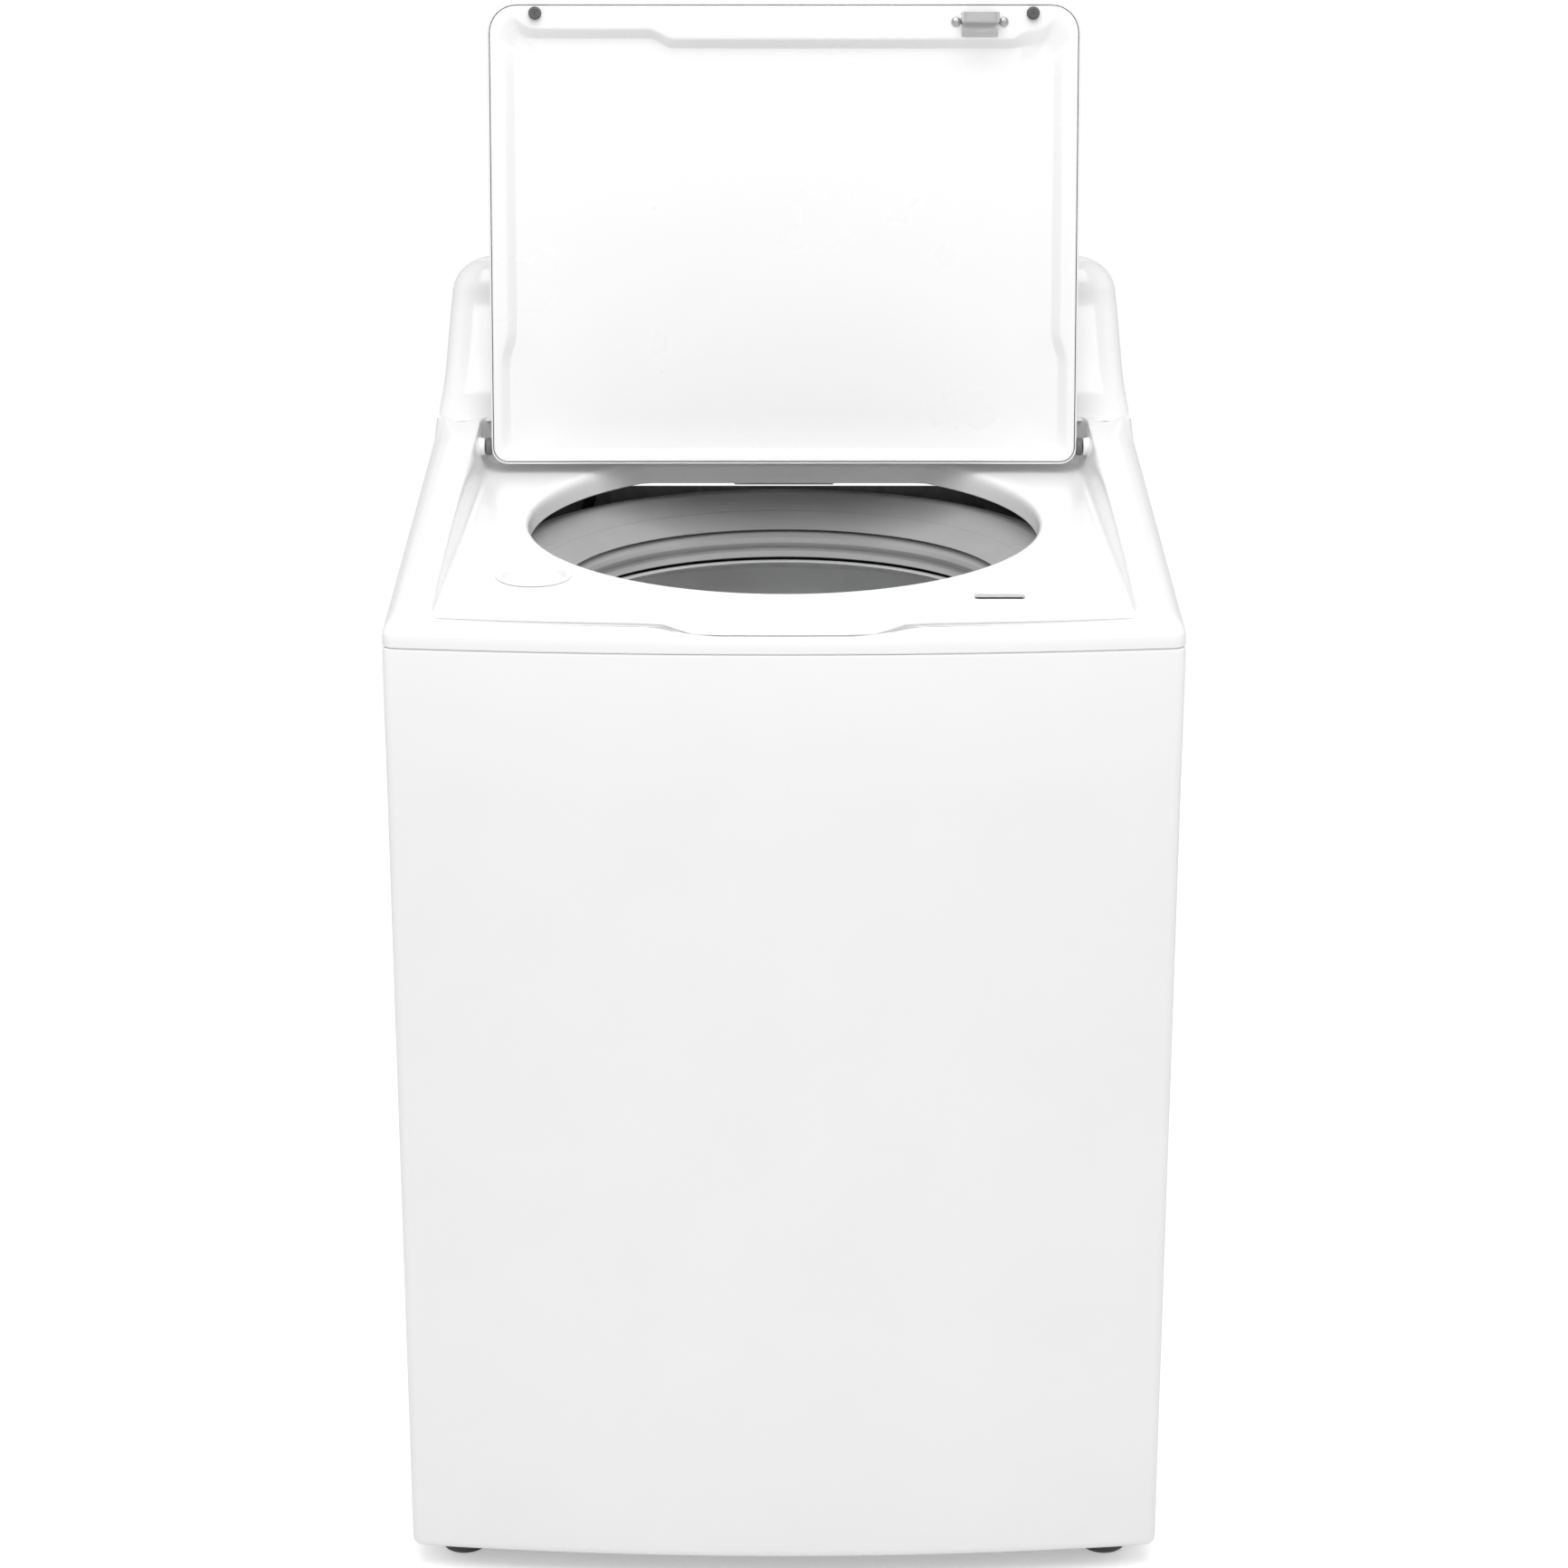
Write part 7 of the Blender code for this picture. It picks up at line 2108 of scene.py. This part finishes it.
# ---- suspension ----
@dataclass
class Suspension:
    """Two rails under the cabinet's top edge, and a rod and spring in each corner."""

    rod: Flat = (0.290, 0.270)
    bottom: float = 0.215
    top: float = 0.856
    spring_radius: float = 0.014
    wire: float = 0.0018
    turns: int = 5
    ear: float = 0.390

    def build(self) -> None:
        """Builds the whole sub-assembly."""
        for side, sign in (("left", -1), ("right", 1)):
            self._rail(side, sign)
            for end, way in (("front", -1), ("rear", 1)):
                x, y = sign * self.rod[0], SIZE.axis_y + way * self.rod[1]
                self._rod(f"{end}_{side}", x, y)
                self._spring(f"{end}_{side}", x, y)

    def _rail(self, side: str, sign: int) -> None:
        """One folded rail with a cup under each rod's head.

        Args:
            side: left or right.
            sign: -1 or 1 across.
        """
        t, inner, wide, outer = 0.004, 0.2955, self.rod[0] - 0.022, SIZE.width / 2 - SIZE.sheet - SIZE.gap
        near, far = SIZE.axis_y - self.rod[1] - 0.025, SIZE.axis_y + self.rod[1] + 0.018
        low = self.top - t

        def span(a: float, b: float) -> tuple[float, float]:
            return (min(sign * a, sign * b), max(sign * a, sign * b))

        x0, x1 = span(inner, outer)
        bm = rounded_box((x0, near, low), (x1, far, self.top), 0.0012)
        x0, x1 = span(outer - 0.0025, outer)
        joins = [rounded_box((x0, near, low - 0.0258), (x1, far, self.top - 0.001), 0.0008)]
        cuts = []
        for y in (SIZE.axis_y - self.rod[1], SIZE.axis_y + self.rod[1]):
            x0, x1 = span(wide, outer - 0.004)
            joins.append(rounded_box((x0, y - 0.018, low + 0.0002), (x1, y + 0.0175, self.top - 0.0002), 0.0014))
            cuts.append(lathe([(0, low - 0.01), (0.005, low - 0.01), (0.005, self.top + 0.01), (0, self.top + 0.01)], 32, centre=(sign * self.rod[0], y)))
        for k in range(5):
            y = SIZE.axis_y - 0.16 + 0.08 * k
            x0, x1 = span(0.308, 0.326)
            cuts.append(rounded_box((x0, y - 0.014, low - 0.01), (x1, y + 0.014, self.top + 0.01), 0.006))
        made = dress(f"suspension_rail_{side}_folded", bm, ZINC_SHEET, f"suspension_rail_{side}")
        cut_out(made, joins, union=True)
        cut_out(made, cuts)

    def _rod(self, corner: str, x: float, y: float) -> None:
        """One rod, with a ball head and a spring seat.

        Args:
            corner: its corner's name.
            x: where it hangs.
            y: where it hangs.
        """
        seat, low, top = self.bottom + 0.008, self.bottom, self.top
        section = [(0, low), (0.0118, low), (0.0188, low + 0.002), (0.0188, seat - 0.001), (0.0182, seat), (0.0040, seat), (0.0040, top + 0.0004)]
        section += [(0.0108, top + 0.0005), (0.0100, top + 0.0042), (0.0075, top + 0.0082), (0, top + 0.0098)]
        dress(f"suspension_rod_{corner}_plated", lathe(section, 48, 0.0006, (x, y)), ZINC_ROD, f"suspension_rod_{corner}")

    def _spring(self, corner: str, x: float, y: float) -> None:
        """One coil spring with closed ends.

        Args:
            corner: its corner's name.
            x: its axis.
            y: its axis.
        """
        seat = self.bottom + 0.008
        low, high = seat + 0.0004 + self.wire, self.ear - 0.0004 - self.wire
        count, path = self.turns * 40, []
        for i in range(count + 1):
            t = i / count
            lift = smoothstep(0.0, 0.16, t) * 0.5 * 0.16 + max(0.0, min(t - 0.16, 0.68)) + smoothstep(0.84, 1.0, t) * 0.5 * 0.16
            angle = 2 * math.pi * (self.turns + 1.5) * t
            path.append((x + self.spring_radius * math.cos(angle), y + self.spring_radius * math.sin(angle), low + (high - low) * lift / 0.84))
        made = dress(f"suspension_spring_{corner}_coil", tube(path, self.wire, 12), SPRING_STEEL, f"suspension_spring_{corner}")
        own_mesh(made)


# ---- water and power services ----
@dataclass
class Services:
    """The inlet valve, spout, hoses, drain port and cord gland."""

    inlet_x: Flat = (-0.225, -0.175)
    inlet_z: float = 0.822
    drain: Flat = (0.200, 0.800)
    gland: Flat = (0.255, 0.835)
    face: float = 0.326

    def build(self) -> None:
        """Builds the whole sub-assembly."""
        self._valve()
        self._spout()
        self._drain_port()
        self._gland()
        self._hoses()

    def _valve(self) -> None:
        """The twin inlet valve: a body with two solenoids and two threaded ports."""
        z = self.inlet_z
        bm = rounded_box((-0.242, 0.280, z - 0.024), (-0.158, self.face - 0.0017, z + 0.0198), 0.003)
        made = dress("inlet_valve_body", bm, WHITE_MOULDING, "inlet_valve")
        joins = []
        for x in self.inlet_x:
            outline: list[Flat] = [(0, -self.face + 0.012), (0.0120, -self.face + 0.012)]
            for k in range(7):
                at = -self.face - 0.0012 - k * 0.0022
                outline += [(0.0132, at + 0.0004), (0.0122, at - 0.0007)]
            outline += [(0.0122, -SIZE.rear + 0.0006), (0.0115, -SIZE.rear), (0.0088, -SIZE.rear), (0.0086, -SIZE.rear + 0.012), (0, -SIZE.rear + 0.012)]
            joins.append(transformed(lathe(outline, 64), Matrix.Translation((x, 0, z)) @ Matrix.Rotation(math.radians(90), 4, "X")))
        outlet = lathe([(0, -0.002), (0.0059, -0.002), (0.0059, 0.022), (0.0052, 0.0278), (0, 0.0278)], 40)
        joins.append(transformed(outlet, Matrix.Translation((-0.200, 0.300, z))))
        cut_out(made, joins, union=True)
        screens = bmesh.new()
        for x in self.inlet_x:
            mesh_disc = lathe([(0, -SIZE.rear + 0.0088), (0.0080, -SIZE.rear + 0.0088), (0.0080, -SIZE.rear + 0.0100), (0, -SIZE.rear + 0.0100)], 40)
            for k in range(-3, 4):
                rounded_box((-0.0078, 0.0020 * k - 0.0003, -SIZE.rear + 0.0080), (0.0078, 0.0020 * k + 0.0003, -SIZE.rear + 0.0092), 0.0002, mesh_disc, 1)
            transformed(mesh_disc, Matrix.Translation((x, 0, z)) @ Matrix.Rotation(math.radians(90), 4, "X"))
            mesh = bpy.data.meshes.new("screen")
            mesh_disc.to_mesh(mesh)
            mesh_disc.free()
            screens.from_mesh(mesh)
            bpy.data.meshes.remove(mesh)
        dress("inlet_valve_screens", screens, BLACK_PLASTIC, "inlet_valve", replace=False)

    def _spout(self) -> None:
        """The fan-shaped fill spout under the rear deck."""
        low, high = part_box("fill_spout")
        bm = rounded_box(tuple(low), tuple(high), 0.002)
        made = dress("fill_spout_moulding", bm, WHITE_MOULDING, "fill_spout")
        mouth = rounded_box((-0.046, low.y - 0.01, low.z + 0.0015), (0.046, high.y - 0.003, high.z - 0.0055), 0.002)
        cut_out(made, [mouth])

    def _drain_port(self) -> None:
        """The ribbed drain port through the rear panel."""
        face, r = self.face, 0.012
        section = [(0.0086, -SIZE.rear)]
        section += [(r - 0.0012, -SIZE.rear), (r - 0.0006, -SIZE.rear + 0.0040), (r - 0.0016, -SIZE.rear + 0.0042), (r - 0.0004, -SIZE.rear + 0.0088)]
        section += [(r - 0.0014, -SIZE.rear + 0.0090), (r, -SIZE.rear + 0.0140), (r, -(face - 0.0017)), (r + 0.0058, -(face - 0.0017)), (r + 0.0058, -(face - 0.0045))]
        section += [(r, -(face - 0.0047)), (r, -(face - 0.0352)), (0.0086, -(face - 0.0352))]
        place = Matrix.Translation((self.drain[0], 0, self.drain[1])) @ Matrix.Rotation(math.radians(90), 4, "X")
        dress("drain_port_barb", lathe(section, 64, 0.0003), BLACK_PLASTIC, "drain_port", matrix=place)

    def _gland(self) -> None:
        """The cord gland's grommet."""
        face = self.face
        section = [(0.0046, -(face + 0.0118)), (0.0078, -(face + 0.0118)), (0.0093, -(face + 0.004)), (0.0138, -(face + 0.003)), (0.0138, -(face + 0.0006))]
        section += [(0.0104, -(face + 0.0006)), (0.0104, -(face - 0.0050)), (0.0046, -(face - 0.0050))]
        place = Matrix.Translation((self.gland[0], 0, self.gland[1])) @ Matrix.Rotation(math.radians(90), 4, "X")
        dress("power_cord_grommet", lathe(section, 56, 0.0007), BLACK_RUBBER, "power_cord_gland", matrix=place)

    def _hoses(self) -> None:
        """The corrugated drain hose and the plain fill hose inside the cabinet."""
        start, end = 0.150 + 0.055 + 0.0004, self.face - 0.036
        route = [
            (start, -0.080, 0.280), (start + 0.020, -0.076, 0.279), (0.262, -0.045, 0.272), (0.296, 0.020, 0.268), (0.306, 0.090, 0.280),
            (0.309, 0.150, 0.330), (0.310, 0.190, 0.420), (0.310, 0.205, 0.560), (0.308, 0.208, 0.680), (0.296, 0.214, 0.755),
            (0.262, 0.232, 0.792), (0.222, 0.252, 0.800), (0.203, 0.268, 0.800), (0.200, end, 0.800),
        ]
        path = curve_through(route, 60)

        def corrugated(run: float) -> float:
            plain = run < 0.018
            return 0.94 if plain else 0.94 - 0.06 * math.cos(run * 2 * math.pi / 0.0052)

        dress("drain_hose_corrugated", tube(path, 0.012, 20, corrugated), BLACK_PLASTIC, "drain_hose", angle=60)
        low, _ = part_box("fill_spout")
        spout_z = 0.9085
        start_z = self.inlet_z + 0.028 + 0.0004
        feed = [
            (-0.200, 0.300, start_z), (-0.200, 0.300, start_z + 0.008), (-0.200, 0.300, start_z + 0.016), (-0.192, 0.302, start_z + 0.036),
            (-0.168, 0.304, spout_z - 0.003), (-0.130, 0.304, spout_z), (-0.100, 0.300, spout_z), (-0.075, 0.299, spout_z), (-0.0504, 0.299, spout_z),
        ]
        dress("fill_hose_rubber", tube(curve_through(feed, 14), 0.0059, 24), BLACK_RUBBER, "fill_hose", angle=60)


# ---- the whole machine ----
def main() -> None:
    """Builds the studio and every sub-assembly."""
    logging.basicConfig(level=logging.INFO, format="%(message)s")
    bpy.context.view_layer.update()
    Studio().build()
    for part in (Cabinet(), TopCover(), Lid(), LidLock(), Console(), WashTub(), AgitatorPost(), Drive(), Suspension(), Services()):
        log.info("building %s", type(part).__name__)
        part.build()


if __name__ == "__main__":
    main()
